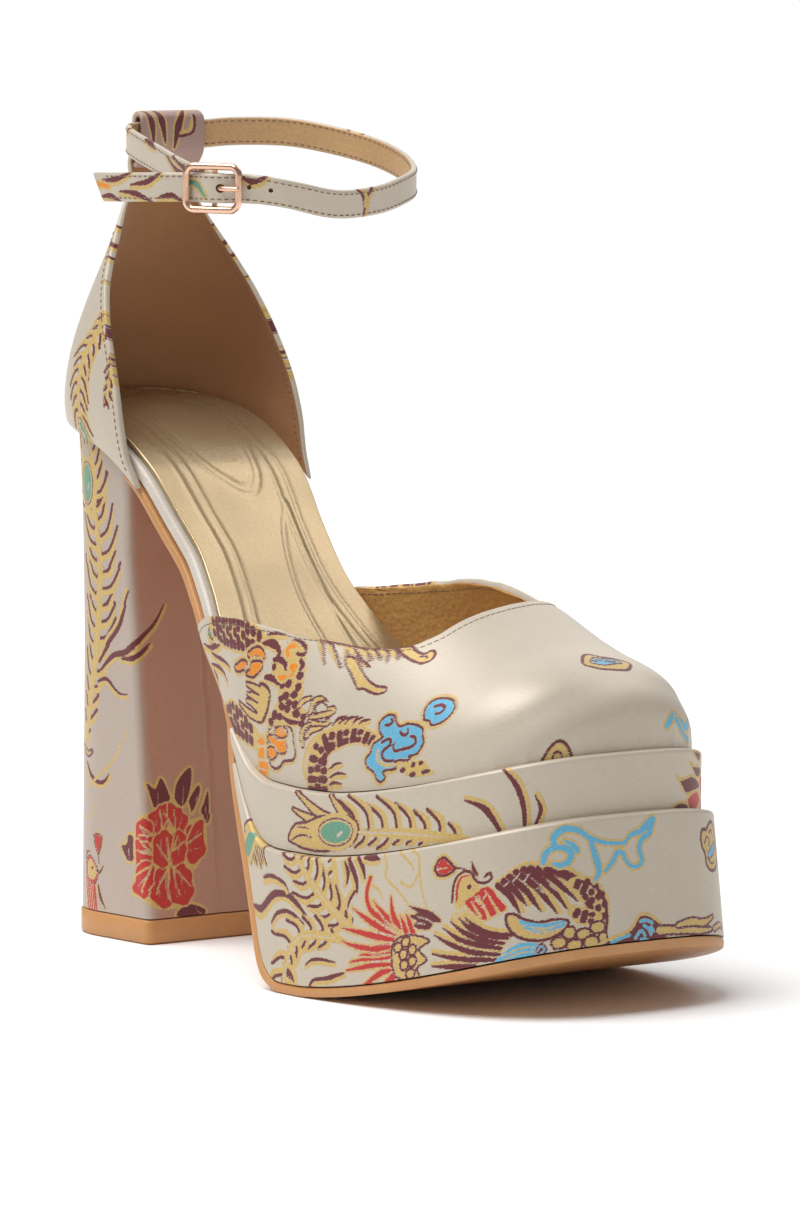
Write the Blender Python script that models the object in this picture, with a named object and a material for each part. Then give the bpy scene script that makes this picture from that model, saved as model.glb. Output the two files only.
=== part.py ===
"""Platform pump with cut-away sides and an ankle strap, for the right foot, built piece by piece.

Sizes are in millimetres and MM turns them into metres. X runs from the heel to the toe, Y to the
wearer's left, which is the inner side of a right shoe, and Z up from the floor. Stations along X
are counted from a plumb line just behind the heel cup; at the end the shoe is centred on the origin.
"""

import math

import bmesh
import bpy
from mathutils import Matrix, Vector

MM = 0.001
GAP = 0.3

# Driving sizes
PLATFORM_HEIGHT = 49.0
OUTSOLE_THICKNESS = 2.3
LOWER_TIER_TOP = 33.5
TOE_SPRING = 17.5
ROLL_START_X = 144.0
ROLL_END_X = 222.0
ROLL_POWER = 1.5
TOP_LIFT_HEIGHT = 6.0
BOARD_THICKNESS = 3.4
SOCK_THICKNESS = 1.4
SOCK_INSET = 1.8
VAMP_WALL = 1.8
COUNTER_WALL = 1.8
TAB_WALL = 1.3
STRAP_WIDTH = 7.2
STRAP_THICKNESS = 1.4

# How far each layer of the forefoot stands out from the edge of the insole board
VAMP_OUT = GAP + VAMP_WALL
UPPER_TIER_OUT = 5.0
LOWER_TIER_OUT = 7.9
LOWER_TIER_FLARE = 2.7
TIER_EDGE = 1.6

# Outsole under the arch: where it starts at the heel breast, where the platform takes over
OUTSOLE_START_X = 46.4
ARCH_END_X = 97.0
ARCH_OUT = 0.6
ARCH_STEPS = 12

# Ends of the insole board and how square its toe and heel are
BOARD_HEEL_X = 9.4
HEEL_ROUND_X = 34.0
HEEL_SQUARENESS = 2.2
BOARD_TOE_X = 203.2
TOE_ROUND_X = 170.0
TOE_SQUARENESS = 2.9

# Toe box: where the vamp starts to round down to the toe, and how square that edge is
TOE_DROP_X = 185.0
TOE_DROP_SQUARENESS = 2.6
VAMP_TIP_EASE = 0.5

# Ankle strap ring
LOOP_RADIUS = 38.0
BUCKLE_ANGLE = -64.5
BUCKLE_X = 89.0
BUCKLE_Y = -33.2
BUCKLE_Z = 191.1
BUCKLE_LENGTH = 14.2
BUCKLE_HEIGHT = 10.6
BUCKLE_WIRE = 0.9
BUCKLE_CORNER = 2.2
BUCKLE_BAR = 0.7
BUCKLE_BAR_DROP = 1.4
PRONG_WIRE = 0.6
PRONG_HOLE = 1.1

# Mesh fineness
SMOOTH_ANGLE = 40.0
FOREFOOT_START_X = 147.0
FOREFOOT_STEPS = 4
VAMP_COLUMNS = 30
VAMP_ROWS = 26
COUNTER_COLUMNS = 24
HEEL_OUTLINE = 14
TOE_STEPS = 12
WIRE_SIDES = 10


class Table:
    """Rows of numbers under named columns. Each column reads as a smooth curve without overshoot."""

    def __init__(self, columns, *rows):
        self.columns = columns.split()
        self.rows = rows

    def column(self, name):
        place = self.columns.index(name)
        return [row[place] for row in self.rows]

    def at(self, name, where):
        keys = self.column(self.columns[0])
        values = self.column(name)
        if where <= keys[0]:
            return values[0]
        if where >= keys[-1]:
            return values[-1]
        i = max(k for k in range(len(keys) - 1) if keys[k] <= where)
        width = keys[i + 1] - keys[i]
        slopes = [
            (values[k + 1] - values[k]) / (keys[k + 1] - keys[k]) for k in range(len(keys) - 1)
        ]
        start = self._tangent(slopes, i)
        end = self._tangent(slopes, i + 1)
        t = (where - keys[i]) / width
        return (
            values[i] * (1 + 2 * t) * (1 - t) ** 2
            + width * start * t * (1 - t) ** 2
            + values[i + 1] * t * t * (3 - 2 * t)
            + width * end * t * t * (t - 1)
        )

    @staticmethod
    def _tangent(slopes, k):
        if k == 0:
            return slopes[0]
        if k == len(slopes):
            return slopes[-1]
        before, after = slopes[k - 1], slopes[k]
        if before * after <= 0:
            return 0.0
        return 2 * before * after / (before + after)


# Insole board in plan, before its ends are rounded: half breadths on the outer and inner side
PLAN = Table(
    "x outer inner",
    (8, 25.8, 25.0),
    (34, 25.8, 25.0),
    (53, 26.0, 23.8),
    (68, 25.8, 20.2),
    (77, 28.0, 18.8),
    (87, 31.8, 20.8),
    (96, 33.6, 25.2),
    (107, 36.4, 30.6),
    (120, 38.4, 35.2),
    (136, 39.0, 37.4),
    (155, 38.0, 37.8),
    (175, 35.2, 36.2),
    (195, 32.0, 33.4),
    (207, 30.5, 32.0),
)

# Underside of the insole board in side view, from the heel seat down the arch to the ball
SEAT = Table(
    "x z",
    (4, 132.6),
    (8, 132.0),
    (20, 129.5),
    (36, 124.5),
    (50, 116.6),
    (62, 104.8),
    (73, 93.8),
    (82, 84.6),
    (92, 74.2),
    (100, 65.2),
    (108, 57.3),
    (116, 52.0),
    (124, 49.6),
    (134, PLATFORM_HEIGHT),
)

# Vamp sections: height over the board's underside, sideways place of the ridge, squareness
VAMP = Table(
    "x rise ridge square",
    (72, 67.0, 6.0, 2.5),
    (92, 63.0, 6.5, 2.5),
    (104, 61.0, 7.0, 2.45),
    (118, 58.5, 7.0, 2.35),
    (132, 54.5, 7.0, 2.25),
    (145, 49.5, 6.5, 2.15),
    (158, 44.0, 5.5, 2.15),
    (172, 35.5, 4.0, 2.2),
    (184, 28.6, 3.0, 2.35),
    (196, 23.8, 2.0, 2.6),
    (210, 21.5, 1.5, 2.8),
)

# Vamp topline: where it crosses each direction round the section, outer edge 0 to inner edge 180
TOPLINE = Table(
    "turn x",
    (0, 84.0),
    (10, 95.0),
    (22, 106.0),
    (31, 116.5),
    (35.5, 127.5),
    (39, 137.0),
    (43, 148.0),
    (46, 154.5),
    (51, 159.0),
    (60, 161.5),
    (78, 162.0),
    (96, 160.3),
    (112, 156.0),
    (121, 147.0),
    (126, 135.5),
    (130, 126.0),
    (138, 115.8),
    (155, 103.0),
    (166, 94.8),
    (174, 87.0),
    (180, 78.5),
)

# Heel counter at heights over the seat: back of the cup, half breadth, front edge, end
# of the round, lean to the inner side
COUNTER = Table(
    "rise back half front centre sway",
    (0, 7.0, 28.2, 52.0, 34.0, 0.0),
    (4, 7.2, 29.0, 49.0, 34.0, 0.0),
    (11, 8.0, 29.4, 46.6, 34.6, 0.3),
    (19, 9.4, 28.8, 43.4, 36.0, 0.6),
    (30, 12.6, 26.6, 36.6, 38.0, 0.9),
    (41, 16.4, 23.6, 30.4, 41.0, 0.9),
    (52, 19.6, 19.6, 26.4, 43.0, 0.5),
    (60, 21.6, 16.8, 24.4, 43.0, 0.0),
)

# Strap loop above the counter, in side view: the outer face goes up, over the strap and down inside
TAB_HALF = 9.3
TAB = Table(
    "step x z",
    (0, 23.0, 194.6),
    (1, 24.4, 198.2),
    (2, 24.6, 204.0),
    (3, 25.2, 206.4),
    (4, 27.2, 207.4),
    (5, 29.3, 206.4),
    (6, 29.9, 204.0),
    (7, 29.9, 198.0),
    (8, 28.6, 195.0),
    (9, 26.7, 193.2),
)

# Heel block at heights over the floor: back, breast edge, half breadth
HEEL = Table(
    "z back breast half",
    (TOP_LIFT_HEIGHT + GAP, 13.0, 53.0, 23.6),
    (40, 13.0, 49.6, 23.4),
    (75, 13.2, 46.4, 23.6),
    (98, 13.2, 44.4, 24.4),
)
HEEL_TOP_BACK = 11.6
HEEL_TOP_BREAST = 44.6
HEEL_TOP_HALF = 25.2
HEEL_BACK_SQUARENESS = 2.3
HEEL_BREAST_CORNER = 2.0
HEEL_ROUND_SHARE = 0.85
TOP_LIFT_OUT = 0.3

# Tails of the two platform tiers where they run up into the arch: upper line, lower line, stand-out
LOWER_TAIL = Table(
    "step top_x top_z low_x low_z out",
    (0, 107.6, 52.2, 106.9, 51.6, 3.6),
    (1, 110.9, 47.8, 109.5, 46.8, 4.2),
    (2, 114.5, 43.0, 112.9, 40.6, 4.8),
    (3, 118.3, 38.6, 117.5, 31.4, 5.4),
    (4, 122.2, 35.3, 122.5, 20.6, 6.0),
    (5, 127.0, 33.8, 127.5, 9.4, 6.6),
    (6, 131.0, LOWER_TIER_TOP, 130.9, 4.95, 7.0),
    (7, 136.0, LOWER_TIER_TOP, 135.5, 2.7, 7.4),
)
UPPER_TAIL = Table(
    "step top_x low_x low_z out",
    (0, 104.2, 104.6, 57.6, 3.0),
    (1, 108.2, 108.2, 52.7, 3.2),
    (2, 111.6, 111.3, 48.4, 3.6),
    (3, 115.2, 114.9, 43.5, 4.0),
    (4, 119.0, 118.7, 39.1, 4.4),
    (5, 123.0, 122.5, 35.8, 4.7),
    (6, 127.4, 127.1, 34.2, 4.9),
    (7, 134.0, 133.8, LOWER_TIER_TOP + GAP, UPPER_TIER_OUT),
)

# Rear of the platform: the upper face of the outsole from the arch down to the floor
REAR = Table(
    "step x z out",
    (0, 101.0, 61.4, 0.8),
    (1, 105.4, 53.4, 2.6),
    (2, 109.6, 45.8, 3.9),
    (3, 114.2, 37.4, 5.0),
    (4, 119.0, 27.4, 6.1),
    (5, 123.4, 17.6, 7.4),
    (6, 127.4, 8.6, 8.7),
    (7, 130.6, 4.4, 9.4),
    (8, 135.4, OUTSOLE_THICKNESS, 10.0),
)

# Ankle strap from the sewn end under the buckle, back through the loop and round to the free tip
STRAP = Table(
    "x y z lean",
    (88.7, -29.9, 191.1, 0),
    (79.5, -28.6, 191.9, 0),
    (66.0, -25.2, 193.8, 0),
    (52.0, -20.8, 196.2, 0),
    (40.0, -17.8, 198.6, 0),
    (33.2, -15.6, 200.0, 0),
    (29.8, -13.0, 200.8, 0),
    (28.5, -10.0, 201.0, 0),
    (27.5, -5.0, 201.1, 0),
    (27.2, 0.0, 201.2, 0),
    (27.5, 5.0, 201.2, 0),
    (28.5, 10.0, 201.3, 0),
    (32.4, 19.0, 202.0, 0),
    (41.0, 29.1, 201.8, 0),
    (52.6, 35.7, 199.8, 0),
    (65.8, 38.0, 197.2, 0),
    (79.1, 35.7, 194.2, 0),
    (90.7, 29.1, 191.6, 0),
    (99.3, 19.0, 190.0, 0),
    (103.9, 6.6, 187.9, 6),
    (104.4, -6.6, 187.2, 14),
    (101.4, -18.4, 189.6, 22),
    (98.1, -24.0, 190.7, 12),
    (95.7, -26.5, 191.0, 2),
    (94.5, -28.1, 191.1, 0),
    (92.3, -30.9, 191.1, 0),
    (90.0, -33.0, 191.1, 0),
    (87.7, -34.0, 191.1, 0),
    (85.0, -34.1, 191.1, 0),
    (81.8, -34.5, 191.1, 0),
    (79.1, -35.6, 191.0, 0),
    (73.4, -37.4, 190.8, 0),
    (65.2, -38.8, 190.5, 0),
    (57.0, -39.2, 190.2, 0),
    (51.6, -39.0, 190.0, 0),
)
STRAP_STEP = 4.0
STRAP_TIP_SLANT = 4.5

# Colours and finishes: red, green, blue, roughness, metallic
FINISHES = {
    "champagne_satin": (0.66, 0.60, 0.50, 0.38, 0.0),
    "gold_leather": (0.52, 0.36, 0.17, 0.35, 0.25),
    "tan_sole": (0.48, 0.25, 0.10, 0.45, 0.0),
    "rose_gold": (0.80, 0.50, 0.34, 0.22, 1.0),
}


# Plain helpers


def spread(first, last, count):
    return [first + (last - first) * k / count for k in range(count + 1)]


def rounded(share, squareness):
    """Half breadth left at a share of the way into a rounded end, from 1 at its start to 0 at its tip."""
    share = min(max(share, 0.0), 1.0)
    return (1.0 - share**squareness) ** (1.0 / squareness)


def resampled(points, count):
    """The same open polyline with count + 1 evenly spaced points."""
    lengths = [0.0]
    for a, b in zip(points, points[1:]):
        lengths.append(lengths[-1] + (b - a).length)
    result = []
    k = 0
    for where in spread(0.0, lengths[-1], count):
        while k < len(points) - 2 and lengths[k + 1] < where:
            k += 1
        part = (where - lengths[k]) / max(lengths[k + 1] - lengths[k], 1e-9)
        result.append(points[k].lerp(points[k + 1], min(part, 1.0)))
    return result


# The last: one outline and one profile that every piece is worked out from


def rocker(x):
    """Rise of the sole at the toe."""
    share = max(0.0, (x - ROLL_START_X) / (ROLL_END_X - ROLL_START_X))
    return TOE_SPRING * share**ROLL_POWER


def board_under(x):
    """Height of the insole board's underside, where the upper meets the sole."""
    return SEAT.at("z", x) + rocker(x)


def half_breadth(x, side, out=0.0):
    """Distance of the board's edge from the middle, moved out by some millimetres."""
    heel = (HEEL_ROUND_X - x) / (HEEL_ROUND_X - BOARD_HEEL_X + out)
    toe = (x - TOE_ROUND_X) / (BOARD_TOE_X - TOE_ROUND_X + out)
    plain = PLAN.at(side, x) + out
    return plain * rounded(heel, HEEL_SQUARENESS) * rounded(toe, TOE_SQUARENESS)


def toe_stations(first, out):
    """Stations that crowd towards the toe tip, so that the round outline is even."""
    tip = BOARD_TOE_X + out
    shares = [math.sin(angle) for angle in spread(0.0, math.pi / 2, TOE_STEPS)]
    return [
        TOE_ROUND_X + (tip - TOE_ROUND_X) * share ** (2.0 / TOE_SQUARENESS)
        for share in shares
        if TOE_ROUND_X + (tip - TOE_ROUND_X) * share ** (2.0 / TOE_SQUARENESS) > first
    ]


def forefoot_stations(out):
    """Stations of a platform layer from the flat spot under the ball to just short of its toe tip."""
    flat = [ROLL_START_X] + spread(FOREFOOT_START_X, TOE_ROUND_X, FOREFOOT_STEPS)[:-1]
    return flat + toe_stations(TOE_ROUND_X - 1.0, out)[:-1]


def profile_normal(x):
    slope = (board_under(x + 0.5) - board_under(x - 0.5)) / 1.0
    return Vector((-slope, 0.0, 1.0)).normalized()


def on_profile(x, lift):
    """Point of the side view a given height above the board's underside, measured square to it."""
    return Vector((x, 0.0, board_under(x))) + profile_normal(x) * lift


# Building meshes


def finish_of(name):
    red, green, blue, roughness, metallic = FINISHES[name]
    made = bpy.data.materials.get(name) or bpy.data.materials.new(name)
    made.use_nodes = True
    shader = made.node_tree.nodes["Principled BSDF"]
    shader.inputs["Base Color"].default_value = (red, green, blue, 1.0)
    shader.inputs["Roughness"].default_value = roughness
    shader.inputs["Metallic"].default_value = metallic
    return made


def make_object(name, mesh_data, finish):
    """A named object from a bmesh in millimetres, faces out and shaded smooth."""
    bmesh.ops.remove_doubles(mesh_data, verts=mesh_data.verts, dist=1e-4)
    bmesh.ops.recalc_face_normals(mesh_data, faces=mesh_data.faces)
    bmesh.ops.triangulate(mesh_data, faces=mesh_data.faces)
    mesh_data.transform(Matrix.Scale(MM, 4))
    mesh = bpy.data.meshes.new(name)
    mesh_data.to_mesh(mesh)
    mesh_data.free()
    mesh.materials.append(finish_of(finish))
    mesh.shade_smooth()
    mesh.set_sharp_from_angle(angle=math.radians(SMOOTH_ANGLE))
    made = bpy.data.objects.new(name, mesh)
    bpy.context.scene.collection.objects.link(made)
    return made


def add_grid(mesh_data, rows):
    """Vertices and quads over rows of points. Gives the rows of vertices back."""
    verts = [[mesh_data.verts.new(point) for point in row] for row in rows]
    for lower, upper in zip(verts, verts[1:]):
        for k in range(len(lower) - 1):
            mesh_data.faces.new((lower[k], lower[k + 1], upper[k + 1], upper[k]))
    return verts


def border(verts):
    """Vertices round the edge of a grid, in order."""
    right = [row[-1] for row in verts[1:-1]]
    left = [row[0] for row in verts[1:-1]]
    return verts[0] + right + verts[-1][::-1] + left[::-1]


def shell(name, outer, inner, finish):
    """A closed wall between an outer and an inner grid of the same size."""
    made = bmesh.new()
    rims = [border(add_grid(made, rows)) for rows in (outer, inner)]
    count = len(rims[0])
    for k in range(count):
        after = (k + 1) % count
        made.faces.new((rims[0][k], rims[0][after], rims[1][after], rims[1][k]))
    return make_object(name, made, finish)


def loft(name, sections, finish):
    """A closed solid through closed sections with equal numbers of points."""
    made = bmesh.new()
    rings = [[made.verts.new(point) for point in section] for section in sections]
    for lower, upper in zip(rings, rings[1:]):
        for k in range(len(lower)):
            after = (k + 1) % len(lower)
            made.faces.new((lower[k], lower[after], upper[after], upper[k]))
    made.faces.new(rings[0][::-1])
    made.faces.new(rings[-1])
    return make_object(name, made, finish)


def wall_inside(rows, thickness_of):
    """The grid moved inwards along its own normals; thickness_of gives the wall at each row."""
    result = []
    for i, row in enumerate(rows):
        before, after = rows[max(i - 1, 0)], rows[min(i + 1, len(rows) - 1)]
        moved = []
        for k, point in enumerate(row):
            along = row[min(k + 1, len(row) - 1)] - row[max(k - 1, 0)]
            across = after[k] - before[k]
            normal = along.cross(across).normalized()
            moved.append(point + normal * thickness_of(i))
        result.append(moved)
    return result


# Sole pieces


def slab_section(top, low, out_top, out_low, edge):
    """One cross-section of a platform tier, with a small round at its upper edges."""
    points = []
    for side, sign in (("outer", -1.0), ("inner", 1.0)):
        low_half = half_breadth(low.x, side, out_low)
        top_half = half_breadth(top.x, side, out_top)
        ease = min(edge, 0.3 * top_half, 0.3 * (top - low).length)
        shoulder = top.lerp(low, ease / (top - low).length)
        points.append(
            [
                Vector((low.x, sign * low_half, low.z)),
                Vector((shoulder.x, sign * top_half, shoulder.z)),
                Vector((top.x, sign * (top_half - 0.3 * ease), top.z - 0.3 * ease)),
                Vector((top.x, sign * (top_half - ease), top.z)),
            ]
        )
    return points[0] + points[1][::-1]


def lower_tier():
    sections = []
    for row in LOWER_TAIL.rows:
        _, top_x, top_z, low_x, low_z, out = row
        flare = LOWER_TIER_FLARE * (LOWER_TIER_TOP - min(low_z, LOWER_TIER_TOP)) / LOWER_TIER_TOP
        top, low = Vector((top_x, 0, top_z)), Vector((low_x, 0, low_z))
        sections.append(slab_section(top, low, out, out + flare, TIER_EDGE))
    low_bottom = OUTSOLE_THICKNESS + GAP
    for x in forefoot_stations(LOWER_TIER_OUT):
        top = Vector((x, 0, LOWER_TIER_TOP + rocker(x)))
        low_x = tip_shift(x, LOWER_TIER_FLARE)
        low = Vector((low_x, 0, low_bottom + rocker(low_x)))
        sections.append(
            slab_section(top, low, LOWER_TIER_OUT, LOWER_TIER_OUT + LOWER_TIER_FLARE, TIER_EDGE)
        )
    return loft("platform_lower_tier", sections, "champagne_satin")


def tip_shift(x, flare):
    """Stations near the toe move forward with a flared wall."""
    share = max(0.0, (x - TOE_ROUND_X) / (BOARD_TOE_X - TOE_ROUND_X + LOWER_TIER_OUT))
    return x + flare * share


def upper_tier():
    sections = []
    for _, top_x, low_x, low_z, out in UPPER_TAIL.rows:
        top = Vector((top_x, 0, board_under(top_x) - GAP))
        low = Vector((low_x, 0, low_z))
        sections.append(slab_section(top, low, out, out, TIER_EDGE))
    for x in forefoot_stations(UPPER_TIER_OUT):
        top = Vector((x, 0, board_under(x) - GAP))
        low = Vector((x, 0, LOWER_TIER_TOP + GAP + rocker(x)))
        sections.append(slab_section(top, low, UPPER_TIER_OUT, UPPER_TIER_OUT, TIER_EDGE))
    return loft("platform_upper_tier", sections, "champagne_satin")


def outsole():
    """A thin sheet from the heel breast down the arch, down the platform's back and to the toe."""
    out_full = LOWER_TIER_OUT + LOWER_TIER_FLARE
    path = []
    for x in spread(OUTSOLE_START_X, ARCH_END_X, ARCH_STEPS):
        path.append((on_profile(x, -GAP), half_pair(x, ARCH_OUT)))
    for _, x, z, out in REAR.rows:
        path.append((Vector((x, 0, z)), half_pair(x, out)))
    for x in forefoot_stations(out_full):
        path.append((Vector((x, 0, OUTSOLE_THICKNESS + rocker(x))), half_pair(x, out_full)))
    return loft("outsole", ribbon_sections(path, -OUTSOLE_THICKNESS), "tan_sole")


def half_pair(x, out):
    return half_breadth(x, "outer", out), half_breadth(x, "inner", out)


def ribbon_sections(path, thickness):
    """Sections of a sheet that follows a side-view path; thickness is measured square to the path."""
    sections = []
    for k, (point, (outer, inner)) in enumerate(path):
        before = path[max(k - 1, 0)][0]
        after = path[min(k + 1, len(path) - 1)][0]
        along = (after - before).normalized()
        far = point + Vector((-along.z, 0.0, along.x)) * thickness
        if abs(point.z + thickness - rocker(point.x)) < 1e-6:
            far = Vector((point.x, 0.0, rocker(point.x)))
        sections.append(
            [
                Vector((point.x, -outer, point.z)),
                Vector((far.x, -outer, far.z)),
                Vector((far.x, inner, far.z)),
                Vector((point.x, inner, point.z)),
            ]
        )
    return sections


def insole_stations(first, last_out):
    heel = [
        HEEL_ROUND_X - (HEEL_ROUND_X - first) * math.cos(angle) ** (2.0 / HEEL_SQUARENESS)
        for angle in spread(0.12, math.pi / 2, 7)
    ]
    middle = spread(44.0, 164.0, 15)
    return heel + middle + toe_stations(166.0, last_out)[:-1]


def insole_board():
    path = []
    for x in insole_stations(BOARD_HEEL_X, 0.0):
        path.append((on_profile(x, 0.0), half_pair(x, 0.0)))
    return loft("insole_board", ribbon_sections(path, BOARD_THICKNESS), "champagne_satin")


def sock():
    path = []
    for x in insole_stations(BOARD_HEEL_X + SOCK_INSET, -SOCK_INSET):
        path.append((on_profile(x, BOARD_THICKNESS + GAP), half_pair(x, -SOCK_INSET)))
    return loft("sock", ribbon_sections(path, SOCK_THICKNESS), "gold_leather")


# Upper pieces


def vamp_point(x, turn, inset):
    """Point of the vamp's wall. turn goes from the outer edge, 0, over the ridge to the inner edge, 180."""
    tip = BOARD_TOE_X + VAMP_OUT + VAMP_TIP_EASE - inset
    x = min(x, tip)
    square = VAMP.at("square", x)
    side = "outer" if turn < 90 else "inner"
    toe = rounded((x - TOE_ROUND_X) / (tip - TOE_ROUND_X), TOE_SQUARENESS)
    half = (PLAN.at(side, x) + VAMP_OUT - inset) * toe
    drop = rounded((x - TOE_DROP_X) / (tip - TOE_DROP_X), TOE_DROP_SQUARENESS)
    rise = (VAMP.at("rise", x) - inset) * drop
    ridge = VAMP.at("ridge", x) * toe
    sign = -1.0 if turn < 90 else 1.0
    reach = half - sign * ridge
    angle = math.radians(turn)
    across = abs(math.cos(angle)) ** (2.0 / square)
    up = abs(math.sin(angle)) ** (2.0 / square)
    return Vector((x, ridge + sign * reach * across, board_under(x) + rise * up))


def vamp_grid(inset):
    tip = BOARD_TOE_X + VAMP_OUT + VAMP_TIP_EASE - inset
    rows = []
    for k in range(VAMP_ROWS + 1):
        share = math.sin(math.pi / 2 * k / VAMP_ROWS) ** 0.9
        row = []
        for turn in vamp_turns():
            start = TOPLINE.at("x", turn)
            x = start + (tip - start) * share if k < VAMP_ROWS else tip
            row.append(vamp_point(x, turn, inset))
        rows.append(row)
    return rows


def vamp_turns():
    """Directions round the section, closer together at the wall than on top."""
    return [
        180.0 * (share - 0.07 * math.sin(2 * math.pi * share))
        for share in spread(0.0, 1.0, VAMP_COLUMNS)
    ]


def vamp():
    return shell("vamp", vamp_grid(0.0), vamp_grid(VAMP_WALL), "champagne_satin")


def counter_row(rise):
    """The heel cup at one height, from the outer front edge round the back to the inner front edge."""
    back, half, front, centre, sway = (
        COUNTER.at(name, rise) for name in ("back", "half", "front", "centre", "sway")
    )
    power = 2.0 / HEEL_SQUARENESS
    wrap = math.pi / 2
    if front < centre:
        wrap = math.acos(((centre - front) / (centre - back)) ** (1.0 / power))
    line = []
    for angle in spread(0.0, wrap, 24):
        x = centre - (centre - back) * abs(math.cos(angle)) ** power
        line.append(Vector((x, half * math.sin(angle) ** power, 0.0)))
    if front > centre + 0.1:
        line += [Vector((x, half, 0.0)) for x in spread(centre, front, 6)[1:]]
    halves = resampled(line, COUNTER_COLUMNS // 2)
    outline = [Vector((p.x, -p.y, 0.0)) for p in halves[::-1]] + halves[1:]
    for point in outline:
        point.y += sway
        point.z = board_under(point.x) + rise
    return outline


def tab_row(x, z):
    """One line across the strap loop, curved as the strap is."""
    return [
        Vector((x + y * y / (2.0 * LOOP_RADIUS), y, z))
        for y in spread(-TAB_HALF, TAB_HALF, COUNTER_COLUMNS)
    ]


def counter():
    heights = (0, 2, 4, 7, 11, 15, 19, 24, 30, 36, 41, 47, 52, 56, 60)
    rows = [counter_row(rise) for rise in heights]
    rows += [tab_row(x, z) for _, x, z in TAB.rows]

    def thickness(row):
        return COUNTER_WALL if row < len(heights) - 3 else TAB_WALL

    return shell("counter", rows, wall_inside(rows, thickness), "champagne_satin")


# Heel


def heel_outline(back, breast, half):
    """D-shaped plan of the heel: round at the back, flat at the breast with small corners."""
    straight = back + HEEL_ROUND_SHARE * half
    power = 2.0 / HEEL_BACK_SQUARENESS
    side = []
    for angle in spread(0.0, math.pi / 2, HEEL_OUTLINE):
        x = straight - (straight - back) * math.cos(angle) ** power
        side.append((x, half * math.sin(angle) ** power))
    side += [(x, half) for x in spread(straight, breast - HEEL_BREAST_CORNER, 3)[1:]]
    for angle in spread(math.pi / 2, 0.0, 3)[1:]:
        corner = HEEL_BREAST_CORNER
        side.append(
            (breast - corner + corner * math.cos(angle), half - corner + corner * math.sin(angle))
        )
    return [(x, -y) for x, y in side] + [(x, y) for x, y in side[:0:-1]]


def heel_block():
    sections = []
    for z, back, breast, half in HEEL.rows:
        sections.append([Vector((x, y, z)) for x, y in heel_outline(back, breast, half)])
    top = heel_outline(HEEL_TOP_BACK, HEEL_TOP_BREAST, HEEL_TOP_HALF)
    sections.append([Vector((x, y, board_under(x) - GAP)) for x, y in top])
    return loft("heel_block", sections, "champagne_satin")


def top_lift():
    _, back, breast, half = HEEL.rows[0]
    plan = heel_outline(back - TOP_LIFT_OUT, breast + TOP_LIFT_OUT, half + TOP_LIFT_OUT)
    sections = [[Vector((x, y, z)) for x, y in plan] for z in (0.0, TOP_LIFT_HEIGHT)]
    return loft("top_lift", sections, "tan_sole")


# Ankle strap and buckle


def smooth_path(points, step):
    """Points about a step apart on a smooth curve through the given points."""
    result = []
    for k in range(len(points) - 1):
        first, last = points[k], points[k + 1]
        before = points[k - 1] if k else first
        after = points[k + 2] if k + 2 < len(points) else last
        pieces = max(1, round((last - first).length / step))
        for t in spread(0.0, 1.0, pieces)[:-1]:
            pull = (last - before) * 0.5 * t * (1 - t) ** 2
            push = (after - first) * 0.5 * t * t * (t - 1)
            blend = first * (1 + 2 * t) * (1 - t) ** 2 + last * t * t * (3 - 2 * t)
            result.append(blend + pull + push)
    return result + [points[-1]]


def ankle_strap():
    """A flat strap on its edge. Its fourth number leans the upper edge inwards, in degrees."""
    path = smooth_path([Vector(row) for row in STRAP.rows], STRAP_STEP)
    sections = []
    for k, place in enumerate(path):
        point = place.to_3d()
        before = path[max(k - 1, 0)].to_3d()
        after = path[min(k + 1, len(path) - 1)].to_3d()
        along = (after - before).normalized()
        outward = Vector((0.0, 0.0, 1.0)).cross(along).normalized()
        across = along.cross(outward)
        lean = Matrix.Rotation(math.radians(-place.w), 3, along)
        wide = lean @ across * STRAP_WIDTH / 2
        thick = lean @ outward * STRAP_THICKNESS / 2
        slant = along * STRAP_TIP_SLANT if k == len(path) - 1 else Vector()
        sections.append(
            [
                point - wide - thick - slant / 2,
                point + wide - thick + slant / 2,
                point + wide + thick + slant / 2,
                point - wide + thick - slant / 2,
            ]
        )
    strap = loft("ankle_strap", sections, "champagne_satin")
    hole = wire("strap_hole_cutter", buckle_points(((1.9, -3.0, 0.0), (1.9, 4.0, 0.0))), PRONG_HOLE)
    hole.hide_render = True
    hole.display_type = "WIRE"
    cut = strap.modifiers.new("prong_hole", "BOOLEAN")
    cut.operation = "DIFFERENCE"
    cut.object = hole
    return strap


def buckle_points(places):
    """Points given along the strap, outward from it and up, from the middle of the buckle."""
    angle = math.radians(BUCKLE_ANGLE)
    outward = Vector((math.cos(angle), math.sin(angle), 0.0))
    along = Vector((-math.sin(angle), math.cos(angle), 0.0))
    middle = Vector((BUCKLE_X, BUCKLE_Y, BUCKLE_Z))
    return [middle + along * t + outward * n + Vector((0, 0, w)) for t, n, w in places]


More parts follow.
